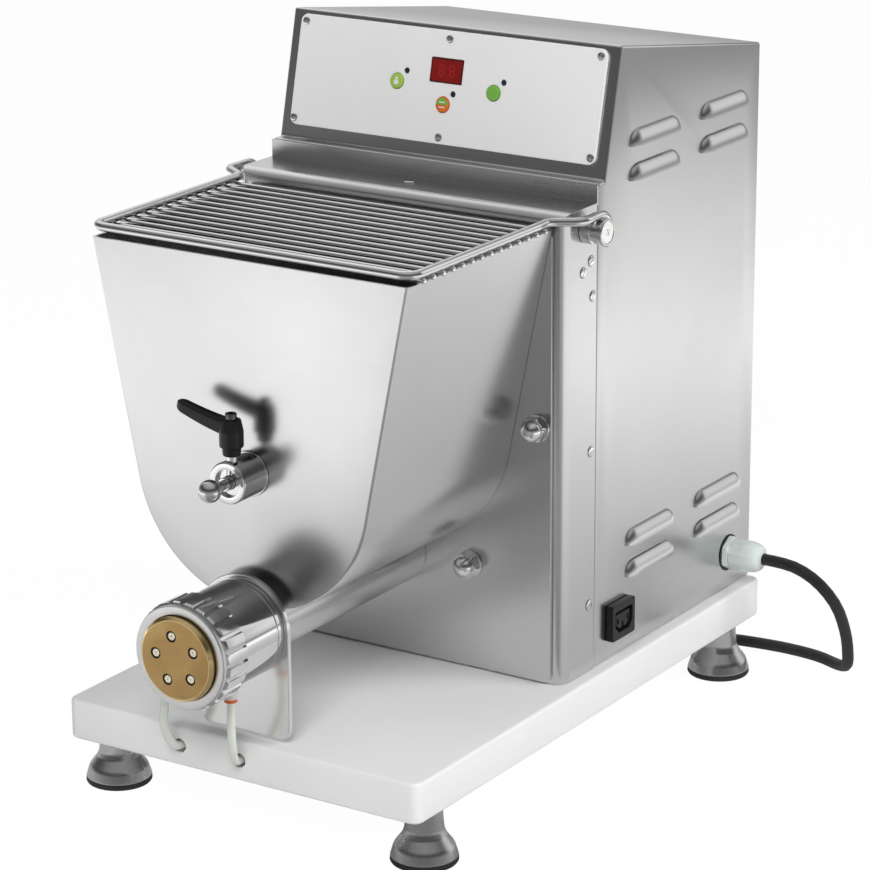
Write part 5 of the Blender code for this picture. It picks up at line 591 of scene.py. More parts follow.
def floor():
    """A wide pale floor that shows white to the camera and keeps the soft shadow. In metal it shows a
    painted pool of light: painted shade near the machine and towards the camera's side, brighter towards the
    front left."""
    piece = bpy.data.objects.new("floor", mesh_of("floor", block((-8, -8, -0.01), (8, 8, 0))))
    bpy.context.scene.collection.objects.link(piece)
    made = bpy.data.materials.new("pale_floor")
    made.use_nodes = True
    tree = made.node_tree
    shader = tree.nodes["Principled BSDF"]
    place = node(tree, "TexCoord").outputs["Object"]
    soft = mask(tree, CLOUDS, place, Size=1.5)
    colour = node(tree, "Mix", data_type="RGBA", in_0=soft)
    colour.inputs[6].default_value = (0.86, 0.86, 0.86, 1)
    colour.inputs[7].default_value = (0.84, 0.84, 0.84, 1)
    tree.links.new(colour.outputs[2], shader.inputs["Base Color"])
    shader.inputs["Roughness"].default_value = 0.8
    shader.inputs["Specular IOR Level"].default_value = 0.1
    rays = node(tree, "LightPath")
    away = node(tree, "VectorMath", operation="LENGTH", in_0=place).outputs["Value"]
    pool = node(tree, "ValToRGB", in_Fac=spread(tree, away, 0.0, 1.0, 0.0, 4.0)).outputs["Color"]
    shape_ramp(pool.node, POOL)
    # Painted shade on the floor's side towards the camera and painted light towards the front left, as metal
    # sees it.
    heading = node(tree, "VectorMath", operation="NORMALIZE", in_0=place).outputs[0]
    toward = node(tree, "VectorMath", operation="DOT_PRODUCT", in_0=heading,
                  in_1=(0.454, -0.891, 0.0)).outputs["Value"]
    ahead = node(tree, "VectorMath", operation="DOT_PRODUCT", in_0=heading,
                 in_1=(-0.545, -0.839, 0.0)).outputs["Value"]
    shade = maths(tree, "MULTIPLY", spread(tree, toward, 1.0, 0.20, 0.72, 0.90),
                  spread(tree, ahead, 1.0, 1.18, 0.4, 0.9))
    pool = node(tree, "VectorMath", operation="SCALE", in_0=pool, in_Scale=shade).outputs[0]
    # Metal sees the painted pool of light; other rays see plain white.
    painted_pool_glow = node(tree, "Mix", data_type="RGBA", in_0=rays.outputs["Is Glossy Ray"])
    painted_pool_glow.inputs[6].default_value = (1.03, 1.03, 1.03, 1)
    tree.links.new(pool, painted_pool_glow.inputs[7])
    white = node(tree, "Emission", in_Color=painted_pool_glow.outputs[2], in_Strength=1.0)
    seen = maths(tree, "MULTIPLY", rays.outputs["Is Camera Ray"], 0.94)
    shown = maths(tree, "MULTIPLY_ADD", rays.outputs["Is Glossy Ray"], 0.70, seen)
    clear = maths(tree, "MULTIPLY_ADD", rays.outputs["Is Transmission Ray"], 0.5, shown)
    mix = node(tree, "MixShader", in_0=clear)
    tree.links.new(shader.outputs[0], mix.inputs[1])
    tree.links.new(white.outputs[0], mix.inputs[2])
    tree.links.new(mix.outputs[0], tree.nodes["Material Output"].inputs["Surface"])
    piece.data.materials.append(made)


def lamp(name, place, target, size, power, colour=(1, 1, 1)):
    """A large soft lamp that faces a point."""
    light = bpy.data.lights.new(name, "AREA")
    light.shape = "RECTANGLE"
    light.size, light.size_y = size
    light.energy = power
    light.color = colour
    made = bpy.data.objects.new(name, light)
    turn = facing(np.asarray(place, float) - np.asarray(target, float))
    pose = Matrix(turn.tolist()).to_4x4()
    pose.translation = place
    made.matrix_world = pose
    made.visible_glossy = False
    bpy.context.scene.collection.objects.link(made)


PANELS = (
    ((-0.55, 0.60, 0.58), 0.75, 0.95),
    ((0.50, 0.80, 0.33), 0.90, 0.95),
)


def studio():
    """A pale studio: white to the camera, even light on matt surfaces, and in metal a bright ceiling over a
    greyer band near the horizon."""
    world = bpy.data.worlds.new("studio")
    bpy.context.scene.world = world
    world.use_nodes = True
    tree = world.node_tree
    rays = node(tree, "LightPath")
    round_about = node(tree, "TexCoord").outputs["Generated"]
    way = node(tree, "SeparateXYZ", in_Vector=round_about)
    ramp = node(tree, "ValToRGB", in_Fac=spread(tree, way.outputs["Z"], 0.0, 1.0, -0.2, 1.0))
    shape_ramp(ramp, ((0.0, 0.40), (0.17, 0.40), (0.26, 0.36), (0.36, 0.08), (0.60, 0.10), (0.75, 0.35),
                      (1.0, 0.55)))
    glow = ramp.outputs["Color"]
    for aim, start, power in PANELS:
        near = node(tree, "VectorMath", operation="DOT_PRODUCT", in_0=round_about, in_1=aim).outputs["Value"]
        soft = spread(tree, near, 0.0, power, start, 1.0)
        glow = node(tree, "VectorMath", operation="ADD", in_0=glow, in_1=soft).outputs[0]
    in_metal = node(tree, "Background", in_Color=glow, in_Strength=1.0)
    on_matt = node(tree, "Background", in_Color=(0.13, 0.13, 0.13, 1), in_Strength=1.0)
    white = node(tree, "Background", in_Color=(1, 1, 1, 1), in_Strength=1.0)
    first = node(tree, "MixShader", in_0=rays.outputs["Is Glossy Ray"])
    tree.links.new(on_matt.outputs[0], first.inputs[1])
    tree.links.new(in_metal.outputs[0], first.inputs[2])
    shown = maths(tree, "MAXIMUM", rays.outputs["Is Camera Ray"], rays.outputs["Is Transmission Ray"])
    last = node(tree, "MixShader", in_0=shown)
    tree.links.new(first.outputs[0], last.inputs[1])
    tree.links.new(white.outputs[0], last.inputs[2])
    tree.links.new(last.outputs[0], tree.nodes["World Output"].inputs["Surface"])
    lamp("right_softbox", (2.4, 0.5, 1.5), (0, 0, 0.2), (1.6, 1.2), 43)
    lamp("front_softbox", (1.0, -2.4, 2.2), (0, 0, 0.2), (1.4, 1.0), 58)
    lamp("left_softbox", (-0.7, -1.7, 2.6), (-0.3, -0.6, 0), (1.4, 1.0), 7)
    bpy.context.scene.view_settings.view_transform = "Standard"


camera()
floor()
studio()


# Mains lead

def lead_points():
    """The lead's points: out of the gland, down to the table, along the board's rear, two loops in, a layer
    up while it turns back, two loops out, and a short rise to the plug."""
    start = (GLAND[0] + 0.0308, GLAND[1], GLAND[2])
    entry = COIL_MIDDLE[1] - 0.0628
    end = COIL_MIDDLE[0] + 0.0093
    way = [start, (start[0] + 0.009, *GLAND[1:]), (0.1980, 0.2435, 0.0980), (0.2160, 0.2450, 0.0890),
           (0.2300, 0.2490, 0.0720), (0.2350, 0.2560, 0.0500), (0.2330, 0.2660, 0.0290),
           (0.2260, 0.2790, 0.0130),
           (0.2120, 0.2930, 0.0055), (0.1900, 0.3030, 0.0045), (0.1600, 0.3060, 0.0045),
           (0.1200, 0.3020, 0.0045)]
    way += [(0.1 - share * (0.1 - end), entry, LEAD_RADIUS + (COIL_LOW - LEAD_RADIUS) * rise)
            for share, rise in ((0, 0), (0.4, 0.3), (0.75, 0.9), (1, 1))]
    way = smooth_route(way, 0.0085)
    travel = np.linspace(0, 9 * math.pi, 217)
    turning = np.clip((travel - 4 * math.pi) / math.pi, 0, 1)
    radius = np.where(travel < 4.5 * math.pi, 0.0628 - COIL_PITCH * np.minimum(travel, 4 * math.pi) / TURN,
                      0.0430 + COIL_PITCH * np.maximum(travel - 5 * math.pi, 0) / TURN)
    radius -= COIL_PITCH / 2 * np.minimum(turning, 1 - turning)
    lift = (1 - np.cos(math.pi * turning)) / 2
    angle = -QUARTER - travel
    coil = np.stack([COIL_MIDDLE[0] + radius * np.cos(angle), COIL_MIDDLE[1] + radius * np.sin(angle),
                     COIL_LOW + lift * COIL_PITCH], 1)
    share = np.array((0.2, 0.4, 0.6, 0.8, 1.0))
    rise = 0.0188 - coil[-1, 2]
    tail = coil[-1] + np.stack([share * 0.036, 0 * share, rise * (1 - np.cos(math.pi * share)) / 2], 1)
    return np.concatenate([way[:-1], coil, tail, tail[-1:] + (0.009, 0, 0)])


def mains_lead():
    """The lead in one piece, with the plug on its end and a tie round its coil."""
    path = lead_points()
    lead = add("lead_cable", tube(path, LEAD_RADIUS, 18), "machine", "black_rubber", "mains_lead",
               "mains_coil")
    end = path[-1] + (GAP, 0, 0)
    sleeve = [(0, 0), (0.0066, 0), (0.0075, 0.0008), (0.0078, 0.006)]
    for step in range(4):
        at = 0.0075 + step * 0.0042
        sleeve += [(0.0082 + 0.0004 * step, at), (0.0082 + 0.0004 * step, at + 0.0024),
                   (0.0070 + 0.0005 * step, at + 0.0027), (0.0070 + 0.0005 * step, at + 0.0040)]
    body = [(0.0125, 0.0250), (0.0162, 0.0300), (0.0178, 0.0360), (0.0170, 0.0420), (0.0170, 0.0500),
            (0.0185, 0.0545), (0.0185, 0.0592), (0.0177, 0.0600), (0, 0.0600)]
    shells = [lathe(sleeve + body, 72)]
    for side in (-1, 1):
        pin = lathe([(0, 0.058), (0.0024, 0.058), (0.0024, 0.0775), (0.0017, 0.0790), (0, 0.0792)], 32)
        shells.append(put(pin, (0.0095 * side, 0, 0)))
    plug = add("plug", put(together(*shells), end, RIGHT), "machine", "black_plastic", "mains_plug")
    gap = LEAD_RADIUS + 0.0006
    low, high = COIL_LOW - gap, COIL_LOW + COIL_PITCH + gap
    near, far = 0.0430 - COIL_PITCH / 2 - gap, 0.0628 + gap
    middle = (COIL_MIDDLE[0] - (near + far) / 2, COIL_MIDDLE[1], (low + high) / 2)
    outer = rectangle(far - near + 0.0024, high - low + 0.0024, 0.0045)
    inner = rectangle(far - near, high - low, 0.0033)
    steps = ((outer, -0.003), (outer, 0.003), (inner, 0.003), (inner, -0.003), (outer, -0.003))
    rings = [np.column_stack([ring, np.full(len(ring), at)]) for ring, at in steps]
    tie = add("coil_tie", put(skin(np.stack(rings)), middle, FRONT), "machine", "black_rubber", "lead_tie")
    gland = cable_gland()


def cable_gland():
    """The gland: a chamfered hexagon, a nut with ten flats and fine grip lines, and a domed tip."""
    angles = np.linspace(0, TURN, 180, endpoint=False)

    def flats(count, across, turn=0.0):
        pitch = TURN / count
        off = (angles + turn + pitch / 2) % pitch - pitch / 2
        return across / 2 / np.cos(off)

    def rings(stations):
        """Rings of limits: a ring's radius at an angle is the smaller of its flats and its round limit."""
        rows = [np.stack([radius * np.cos(angles), radius * np.sin(angles), np.full(180, at)], 1)
                for radius, at in stations]
        return skin(np.stack(rows))

    hexagon = flats(6, 0.0240)
    thread = rings([(np.full(180, 0.0095), -0.010), (np.full(180, 0.0095), 0.004)])
    foot = rings([(np.minimum(hexagon, 0.0126), 0), (np.minimum(hexagon, 0.0134), 0.0006),
                  (hexagon, 0.0012), (hexagon, 0.0044), (np.minimum(hexagon, 0.0130), 0.0050),
                  (np.minimum(hexagon, 0.0122), 0.0052)])
    sides = flats(10, 0.0238)
    ribs = sides - 0.00022 * (np.cos(angles * 60) > 0.4)
    nut = [(np.full(180, 0.0108), 0.0048), (np.full(180, 0.0118), 0.0056), (ribs, 0.0062), (ribs, 0.0150),
           (sides, 0.0154), (sides, 0.0170)]
    for share in np.linspace(0, 1, 9):
        reach = 0.0064 + (0.0122 - 0.0064) * math.cos(share * QUARTER) ** 0.8
        nut.append((np.minimum(sides, reach), 0.0176 + 0.0119 * math.sin(share * QUARTER) ** 1.15))
    nut += [(np.full(180, 0.0062), 0.0304), (np.full(180, 0.0046), 0.0305), (np.full(180, 0.0046), 0.024)]
    shell = together(thread, foot, rings(nut))
    piece = add("gland", put(shell, GLAND, RIGHT), "machine", "gland_grey", "cable_gland", sharp=24)
    seal = lathe([(0.0096, -0.0001), (0.0140, -0.0001), (0.0143, 0.0002), (0.0140, 0.0005), (0.0096, 0.0005)])
    add("gland_seal", put(seal, GLAND, RIGHT), "machine", "black_rubber")
    return piece


mains_lead()


# Board and feet

def board():
    """The white board: softened edges and two half-open channels bored through it for the water hoses."""
    outline = rectangle(0.300, 0.490, 0.008, 8)
    piece = add("board", put(prism(outline, 0, 0.030), (0, 0.0335, BOARD_LOW)), "machine", "white_board",
                "base_board")
    ease(piece, 0.0025, 4, 40, apply=True)
    rods = [put(lathe([(0, 0), (0.0052, 0), (0.0052, 0.52), (0, 0.52)], 40), (x, 0.2935, 0.0565), FRONT)
            for x in (-0.0495, 0.0018)]
    carve(piece, together(*rods))


def feet():
    """Turned feet: a stem that widens slightly, a bell with a rolled rim, a fine groove and a rubber pad."""
    stem = rounded([(0, 0.0407), (0.0130, 0.0407, 0.0004), (0.0131, 0.0335), (0.0140, 0.0240, 0.01),
                    (0.0158, 0.0196, 0.006), (0.0214, 0.0122, 0.012), (0.0234, 0.0056, 0.004),
                    (0.0238, 0.0043, 0.0003), (0, 0.0043)], closed=False, steps=8)
    pad = rounded([(0, 0.0040), (0.0238, 0.0040, 0.0003), (0.0240, 0.0012, 0.0006), (0.0232, 0, 0.0003),
                   (0.0200, 0, 0.0003), (0.0196, 0.0006, 0.0003), (0, 0.0006)], closed=False, steps=4)
    for end, y in (("front", -0.1766), ("rear", 0.2436)):
        for side, x in (("left", -0.1323), ("right", 0.1323)):
            add(f"foot_{end}_{side}_turned", put(lathe(stem, 72), (x, y, 0)), "machine", "foot_metal",
                f"foot_{end}_{side}", sharp=40)
            add(f"foot_{end}_{side}_pad", put(lathe(pad, 72), (x, y, 0)), "machine", "black_rubber",
                f"foot_pad_{end}_{side}", sharp=40)


# Sheet-metal body

def along_x(outline, half):
    """A (y, z) outline run across the machine from one side to the other."""
    points = np.asarray(outline, float)
    rows = np.stack([np.column_stack([np.full(len(points), x), points]) for x in (-half, half)])
    return skin(rows)


def body_frame():
    """The folded channel under the control face: rounded front folds, open behind, with its upstand."""
    piece = add("body_frame", block((-SIDE_X, FRAME_FRONT, BODY_FOOT), (SIDE_X, SEAM_Y - 0.0014, SHELF)),
                "machine",
                "satin_body", "front_frame")
    inside = block((-SIDE_X + SHEET, FRAME_FRONT + SHEET, BODY_FOOT - 0.01),
                   (SIDE_X - SHEET, SEAM_Y + 0.01, SHELF - SHEET))

    def fold(target, radius):
        work = bmesh.new()
        work.from_mesh(target.data)
        front = [edge for edge in work.edges if all(v.co.y < 0 and v.co.z < 0.43 for v in edge.verts)
                 and max(v.co.z for v in edge.verts) > 0.3]
        bmesh.ops.bevel(work, geom=front, offset=radius, segments=14, profile=0.5, affect="EDGES")
        work.to_mesh(target.data)
        work.free()
        shaded(target.data)

    fold(piece, 0.0100)
    hollow = bpy.data.objects.new("hollow", mesh_of("hollow", inside))
    fold(hollow, 0.0085)
    bpy.context.scene.collection.objects.link(hollow)
    change = piece.modifiers.new("Hollow", "BOOLEAN")
    change.operation = "DIFFERENCE"
    change.solver = "EXACT"
    change.object = hollow
    apply_changes(piece)
    bpy.data.objects.remove(hollow, do_unlink=True)
    weld(piece, block((-SIDE_X, SEAM_Y - SHEET, SHELF - SHEET), (SIDE_X, SEAM_Y, UPSTAND_TOP)))
    holes = [put(lathe([(0, -0.02), (0.0055, -0.02), (0.0055, 0.02), (0, 0.02)], 24), (x, FRAME_FRONT, z),
                 FRONT)
             for x, z in NUTS.values()]
    carve(piece, together(*holes))
    ease(piece, 0.0004, 2, 50)


def hood_shell(side, y, z):
    """A pressed louvre: over the place (y, z) its reach out of the sheet is the depth times an end share,
    cos(turn), times a rise share, cos(rise) to the power 1.15, so it swells from the sheet at its top and
    ends and stands furthest out at its lower lip. The same surface, a wall's thickness less, closes it."""
    turn = np.linspace(-QUARTER, QUARTER, 49)
    rise = np.linspace(0, QUARTER, 15)

    def layer(depth, tall, half):
        straight = half - tall
        along = np.sign(turn) * straight * (np.abs(turn) > 0.002) + tall * np.sin(turn)
        ends = np.abs(np.cos(turn))
        reach = depth * ends[None] ** 0.85 * np.cos(rise)[:, None] ** 1.15
        height = tall * ends[None] * np.sin(rise)[:, None]
        return np.stack([reach - 0.00035, np.broadcast_to(along, reach.shape), height], 2)

    def with_middle(rows):
        """The straight length between the two round ends."""
        half = rows.shape[1] // 2
        low = rows[:, half - 1:half]
        high = rows[:, half + 1:half + 2]
        share = np.linspace(0, 1, 9)[None, :, None]
        return np.concatenate([rows[:, :half - 1], low + (high - low) * share, rows[:, half + 2:]], 1)

    outer = with_middle(layer(0.0055 + 0.00035, 0.0120, 0.0350))
    inner = with_middle(layer(0.0044 + 0.00035, 0.0109, 0.0339))
    rows = np.concatenate([outer, inner[::-1], outer[:1]])
    points, faces = skin(rows, wrap=False)
    points = points * (side, 1, 1) + (side * SIDE_X, y, z)
    return points, faces


LOUVRES = [(y, z) for z in (0.4515, 0.4265, 0.1525, 0.1282) for y in (0.1185, 0.2220)]


def body_cover():
    """Sides, top, ledge and sloping face folded from one sheet, with the louvres, the holes behind the
    control plate and a flange round the rear."""
    outline = np.array([(SEAM_Y + GAP, BODY_FOOT), (BODY_REAR, BODY_FOOT), (BODY_REAR, TOP_REAR),
                        (FACE_FOOT + FACE_LEAN * (TOP_FRONT - LEDGE), TOP_FRONT), (FACE_FOOT, LEDGE),
                        (SEAM_Y + GAP, LEDGE)])
    piece = add("body_cover", along_x(outline, SIDE_X), "machine", "satin_body", "cover")
    ease(piece, 0.0019, 5, 8, apply=True)
    inner = inset(outline, SHEET)
    carve(piece, along_x(inner, SIDE_X - SHEET))
    half = SIDE_X - SHEET
    carve(piece, block((-half, SEAM_Y - 0.01, BODY_FOOT - 0.01), (half, SEAM_Y + 0.006, LEDGE - SHEET)))
    carve(piece, block((-half, SEAM_Y, BODY_FOOT - 0.01), (half, BODY_REAR - SHEET, BODY_FOOT + 0.01)))
    carve(piece, block((-SIDE_X + 0.010, BODY_REAR - 0.01, BODY_FOOT + 0.010),
                       (SIDE_X - 0.010, BODY_REAR + 0.01, TOP_REAR - 0.010)))
    slots = []
    for side in (-1, 1):
        low, high = sorted((side * (SIDE_X - 0.004), side * (SIDE_X + 0.002)))
        slots += [block((low, y - 0.0325, z - 0.0006), (high, y + 0.0325, z + 0.0085)) for y, z in LOUVRES]
    holes = [put(lathe([(0, -0.01), (0.0074, -0.01), (0.0074, 0.01), (0, 0.01)], 32), on_face(*place),
                 FACE_OUT)
             for place in BUTTONS.values()]
    holes += [put(lathe([(0, -0.01), (0.0023, -0.01), (0.0023, 0.01), (0, 0.01)], 24),
                  on_face(x + 0.0075, z + 0.0081), FACE_OUT) for x, z in BUTTONS.values()]
    holes.append(put(prism(rectangle(0.0278, 0.0183, 0.0004, 2), -0.01, 0.01), on_face(0, 0.4944), FACE_OUT))
    holes.append(put(lathe([(0, -0.01), (0.0101, -0.01), (0.0101, 0.01), (0, 0.01)], 32), GLAND, RIGHT))
    holes.append(block((SIDE_X - 0.01, 0.0721 - 0.0141, 0.1 - 0.01035),
                       (SIDE_X + 0.01, 0.0721 + 0.0141, 0.11035)))
    carve(piece, together(*slots, *holes))
    for tag, side in (("left", -1), ("right", 1)):
        add(f"louvre_hoods_{tag}", together(*[hood_shell(side, y, z) for y, z in LOUVRES]), "machine",
            "satin_body", sharp=50)


def inset(outline, distance):
    """An outline moved inwards: each corner goes to where its two sides, moved in, cross."""
    points = np.asarray(outline, float)
    ahead = np.roll(points, -1, 0) - points
    ahead /= np.linalg.norm(ahead, axis=1)[:, None]
    area = np.sum(points[:, 0] * np.roll(points[:, 1], -1) - np.roll(points[:, 0], -1) * points[:, 1])
    inward = np.stack([-ahead[:, 1], ahead[:, 0]], 1) * (1 if area > 0 else -1)
    before = np.roll(ahead, 1, 0)
    inward_before = np.roll(inward, 1, 0)
    bisector = inward + inward_before
    return points + bisector * distance / (1 + np.sum(inward * inward_before, 1))[:, None]


NUTS = {"upper_left": (-0.1200, 0.2645), "upper_right": (0.1200, 0.2645),
        "lower_left": (-0.0635, 0.1525), "lower_right": (0.0635, 0.1525)}


def pan_head(radius, height, cross=True):
    """A screw's head with a domed top, and the cutter of its cross or slot."""
    share = np.linspace(0, 1, 9)
    dome = np.stack([radius * np.sin(share * QUARTER) ** 0.9,
                     height * (0.45 + 0.55 * np.cos(share * QUARTER))], 1)
    head = lathe(np.concatenate([[(0, height)], dome[1:], [(radius, -0.0004), (0, -0.0004)]]), 40)
    arm = radius * (0.62 if cross else 1.2)
    wide = radius * (0.11 if cross else 0.13)
    cuts = [block((-arm, -wide, height * 0.35), (arm, wide, height * 2))]
    if cross:
        cuts.append(block((-wide, -arm, height * 0.349), (wide, arm, height * 2)))
        cuts.append(put(lathe([(0, height * 0.30), (radius * 0.24, height * 0.5), (radius * 0.30, height * 2),
                               (0, height * 2)], 20), (0, 0, 0)))
    return head, cuts


def screws(name, places, direction, radius, height, cross, slot="polished_steel",
           spins=(0.3, 1.1, 0.7, 0.1, 0.5, 0.9)):
    """A set of screw heads: one is cut, then copied to each place with its own turn."""
    head, cuts = pan_head(radius, height, cross)
    pattern = bpy.data.objects.new("screw", mesh_of("screw", head))
    bpy.context.scene.collection.objects.link(pattern)
    for tool in cuts:
        carve(pattern, tool)
    points = np.empty(len(pattern.data.vertices) * 3)
    pattern.data.vertices.foreach_get("co", points)
    points = points.reshape(-1, 3)
    sizes = {}
    for polygon in pattern.data.polygons:
        sizes.setdefault(len(polygon.vertices), []).append(polygon.vertices[:])
    faces = [np.array(group) for group in sizes.values()]
    bpy.data.objects.remove(pattern, do_unlink=True)
    shells = [put((points, faces), place, direction, spins[i % len(spins)]) for i, place in enumerate(places)]
    return add(name, together(*shells), "machine", slot, sharp=28)


def body_screws():
    """Screws of the body: cross heads in the control plate and the shelf, slotted ones along the seam."""
    plate = [(-0.1256, 0.5175), (0, 0.5167), (0.1256, 0.5175), (-0.1270, 0.4480), (0, 0.4477),
             (0.1270, 0.4480)]
    screws("panel_screws", [on_face(x, z, 0.0023) for x, z in plate], FACE_OUT, 0.0030, 0.0016, True)
    shared = [(0.0320, 0.2392), (0.0308, 0.1229)]
    strip = [(0.0303, 0.3800), (0.0194, 0.3738), (0.0328, 0.3540)] + shared
    screws("strip_screws_right", [(SIDE_X, y, z) for y, z in strip], RIGHT, 0.0037, 0.0010, False)
    seat = lathe(rounded([(0.0037, 0.0002), (0.0042, 0.0002, 0.0001), (0.0042, -0.0003), (0.0037, -0.0003)],
                         steps=2), 40)
    add("screw_seats_right", together(*[put(seat, (SIDE_X, y, z), RIGHT) for y, z in strip]), "machine",
        "dark_steel")
    screws("strip_screws_left", [(-SIDE_X, y, z) for y, z in shared], LEFT, 0.0037, 0.0010, False)
    screws("shelf_screw", [(-0.0070, 0.0220, SHELF)], UP, 0.0042, 0.0014, True)


def rear_plate():
    """The rear panel with its cooling slots, softened from its solid, and the screws of the rear flange."""
    softened("rear_panel", "rear_cover", 0.0003, "satin_body")
    places = [(x, BODY_REAR, z) for x in (-0.1340, 0, 0.1340) for z in (0.0770, 0.4880)]
    places += [(x, BODY_REAR, 0.2800) for x in (-0.1340, 0.1340)]
    screws("rear_screws", places, REAR, 0.0030, 0.0015, True)


def softened(source, name, width, slot, segments=2, angle=40, body="machine"):
    """A copy of a node whose flat facets are joined again and whose edges are rounded."""
    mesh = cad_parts[source].data.copy()
    work = bmesh.new()
    work.from_mesh(mesh)
    bmesh.ops.remove_doubles(work, verts=work.verts, dist=0.000005)
    bmesh.ops.dissolve_limit(work, angle_limit=math.radians(0.5), verts=work.verts, edges=work.edges)
    work.to_mesh(mesh)
    work.free()
    if "custom_normal" in mesh.attributes:
        mesh.attributes.remove(mesh.attributes["custom_normal"])
    shaded(mesh)
    piece = bpy.data.objects.new(name, mesh)
    bpy.context.scene.collection.objects.link(piece)
    ease(piece, width, segments, angle)
    return settle(piece, body, slot, source)


# Control plate

def control_plate():
    """The pale face sheet with eased edges and its holes."""
    height = (0.5227 - 0.4430) / math.cos(FACE_TILT)
    centre = on_face(0, (0.5227 + 0.4430) / 2)
    piece = add("face_sheet", put(prism(rectangle(0.2614, height, 0.006), GAP, 0.0023), centre, FACE_OUT),
                "machine", "pale_panel", "control_plate")
    cuts = [put(lathe([(0, -0.01), (0.0060, -0.01), (0.0060, 0.01), (0, 0.01)], 48), on_face(*place),
                FACE_OUT)
            for place in BUTTONS.values()]
    cuts += [put(lathe([(0, -0.01), (0.0022, -0.01), (0.0022, 0.01), (0, 0.01)], 32),
                 on_face(x + 0.0075, z + 0.0081), FACE_OUT) for x, z in BUTTONS.values()]
    cuts.append(put(prism(rectangle(0.0276, 0.0181, 0.0006, 3), -0.01, 0.01), on_face(0, 0.4944), FACE_OUT))
    carve(piece, together(*cuts))
    ease(piece, 0.0004, 3, 50)


def display():
    """The red window with a darker rim, and two faint figures of seven bars behind its face."""
    at = on_face(0, 0.4944)
    window = add("display_glass",
                 put(prism(rectangle(0.0270, 0.0175, 0.0006, 3), -0.0007, 0.0021), at, FACE_OUT),
                 "machine", "display_red", "display_window")
    ease(window, 0.0003, 2, 50)
    rim = [np.column_stack([ring, np.full(len(ring), level)]) for ring, level in (
        (rectangle(0.0268, 0.0173, 0.0006, 3), 0.0019), (rectangle(0.0268, 0.0173, 0.0006, 3), 0.00235),
        (rectangle(0.0250, 0.0155, 0.0006, 3), 0.00235), (rectangle(0.0250, 0.0155, 0.0006, 3), 0.0019),
        (rectangle(0.0268, 0.0173, 0.0006, 3), 0.0019))]
    add("display_rim", put(skin(np.stack(rim)), at, FACE_OUT), "machine", "display_rim")
    bar = np.array([(-0.0016, 0), (-0.0012, 0.0004), (0.0012, 0.0004), (0.0016, 0), (0.0012, -0.0004),
                    (-0.0012, -0.0004)])
    upright = bar[:, ::-1]
    marks = []
    for x in (-0.0045, 0.0045):
        for dx, dz, shape in ((0, 0.0038, bar), (0, 0, bar), (0, -0.0038, bar), (-0.0019, 0.0019, upright),
                              (0.0019, 0.0019, upright), (-0.0019, -0.0019, upright),
                              (0.0019, -0.0019, upright)):
            marks.append(prism(shape + (x + dx, dz), 0.0020, 0.00213))
    add("display_figures", put(together(*marks), at, FACE_OUT), "machine", "display_figures")


FINISHES["display_rim"] = finish("display_rim", (0.10, 0.010, 0.012), (0.07, 0.006, 0.008), (0.20, 0.30), 0.0,
                                 (PEBBLES, {"Fineness": 900.0}), 0.0, 0.00001, 60.0, 0.0)
FINISHES["display_figures"] = finish("display_figures", (0.42, 0.020, 0.016), (0.36, 0.014, 0.010),
                                     (0.2, 0.3), 0.0,
                                     (PEBBLES, {"Fineness": 900.0}), 0.0, 0.00001, 60.0, 0.0)
SLOT_OF["display_rim"] = SLOT_OF["display_figures"] = "display_red"


def buttons():
    """Push buttons with a rolled rim, and generic marks on two of them; a small dark lens by each."""
    profile = rounded([(0, 0.0033), (0.0049, 0.0033, 0.0006), (0.0052, 0.0029), (0.0056, 0.0031, 0.0003),
                       (0.0056, 0), (0.0070, 0), (0.0070, -0.0012), (0.0030, -0.0012), (0.0030, -0.0062),
                       (0, -0.0062)], closed=False, steps=4)
    finishes = {"left": "button_lime", "centre": "button_orange", "right": "button_green"}
    for tag, place in BUTTONS.items():
        at = on_face(*place)
        add(f"push_button_{tag}", put(lathe(profile, 64), at, FACE_OUT), f"button_{tag}_body", finishes[tag],
            f"button_{tag}", sharp=40)
        lens = rounded([(0, 0.0026), (0.0019, 0.0026, 0.0009), (0.0019, -0.0117), (0, -0.0117)], False, 6)
        spot = on_face(place[0] + 0.0075, place[1] + 0.0081)
        add(f"lens_{tag}", put(lathe(lens, 40), spot, FACE_OUT), "machine", "indicator_dark",
            f"indicator_{tag}")
    half = arc((0, 0), 0.0048, 0, math.pi, 24)
    top = add("button_centre_start", put(prism(half, 0.0030, 0.00345), on_face(*BUTTONS["centre"]), FACE_OUT),
              "button_centre_body", "button_green")
    ease(top, 0.00012, 2)
    bars = [prism(rectangle(0.0050, 0.0008, 0.0002, 2) + (0, z), 0.0030, level)
            for z, level in ((0.0018, 0.00355), (-0.0018, 0.0034))]
    add("button_centre_marks", put(together(*bars), on_face(*BUTTONS["centre"]), FACE_OUT),
        "button_centre_body", "mark_white")
    drop = arc((0, -0.0006), 0.0021, -math.pi, 0, 20)
    drop = np.concatenate([drop, [(0.0019, 0.0004), (0.0006, 0.0009), (0.0016, 0.0026), (0.0003, 0.0032),
                                  (-0.0009, 0.0030), (-0.0006, 0.0010), (-0.0019, 0.0004)]])
    add("button_left_mark", put(prism(drop, 0.0030, 0.0034), on_face(*BUTTONS["left"]), FACE_OUT),
        "button_left_body", "mark_white")


# Hopper, its rear plate and nuts

def trough(thinner=0.0, above=0.0, steps=72):
    """The hopper's end view: sides that lean in and touch the round trough."""
    radius = 0.0980 - thinner
    rise = 0.4092 - MIXER_Z
    touch = math.atan2(rise, 0.1306) - math.acos(0.0980 / math.hypot(0.1306, rise))
    rim = 0.1306 - thinner / math.cos(touch) + above * math.tan(-touch)
    return np.concatenate([[(-rim, 0.4092 + above)],
                           arc((0, MIXER_Z), radius, -math.pi - touch, touch, steps),
                           [(rim, 0.4092 + above)]])


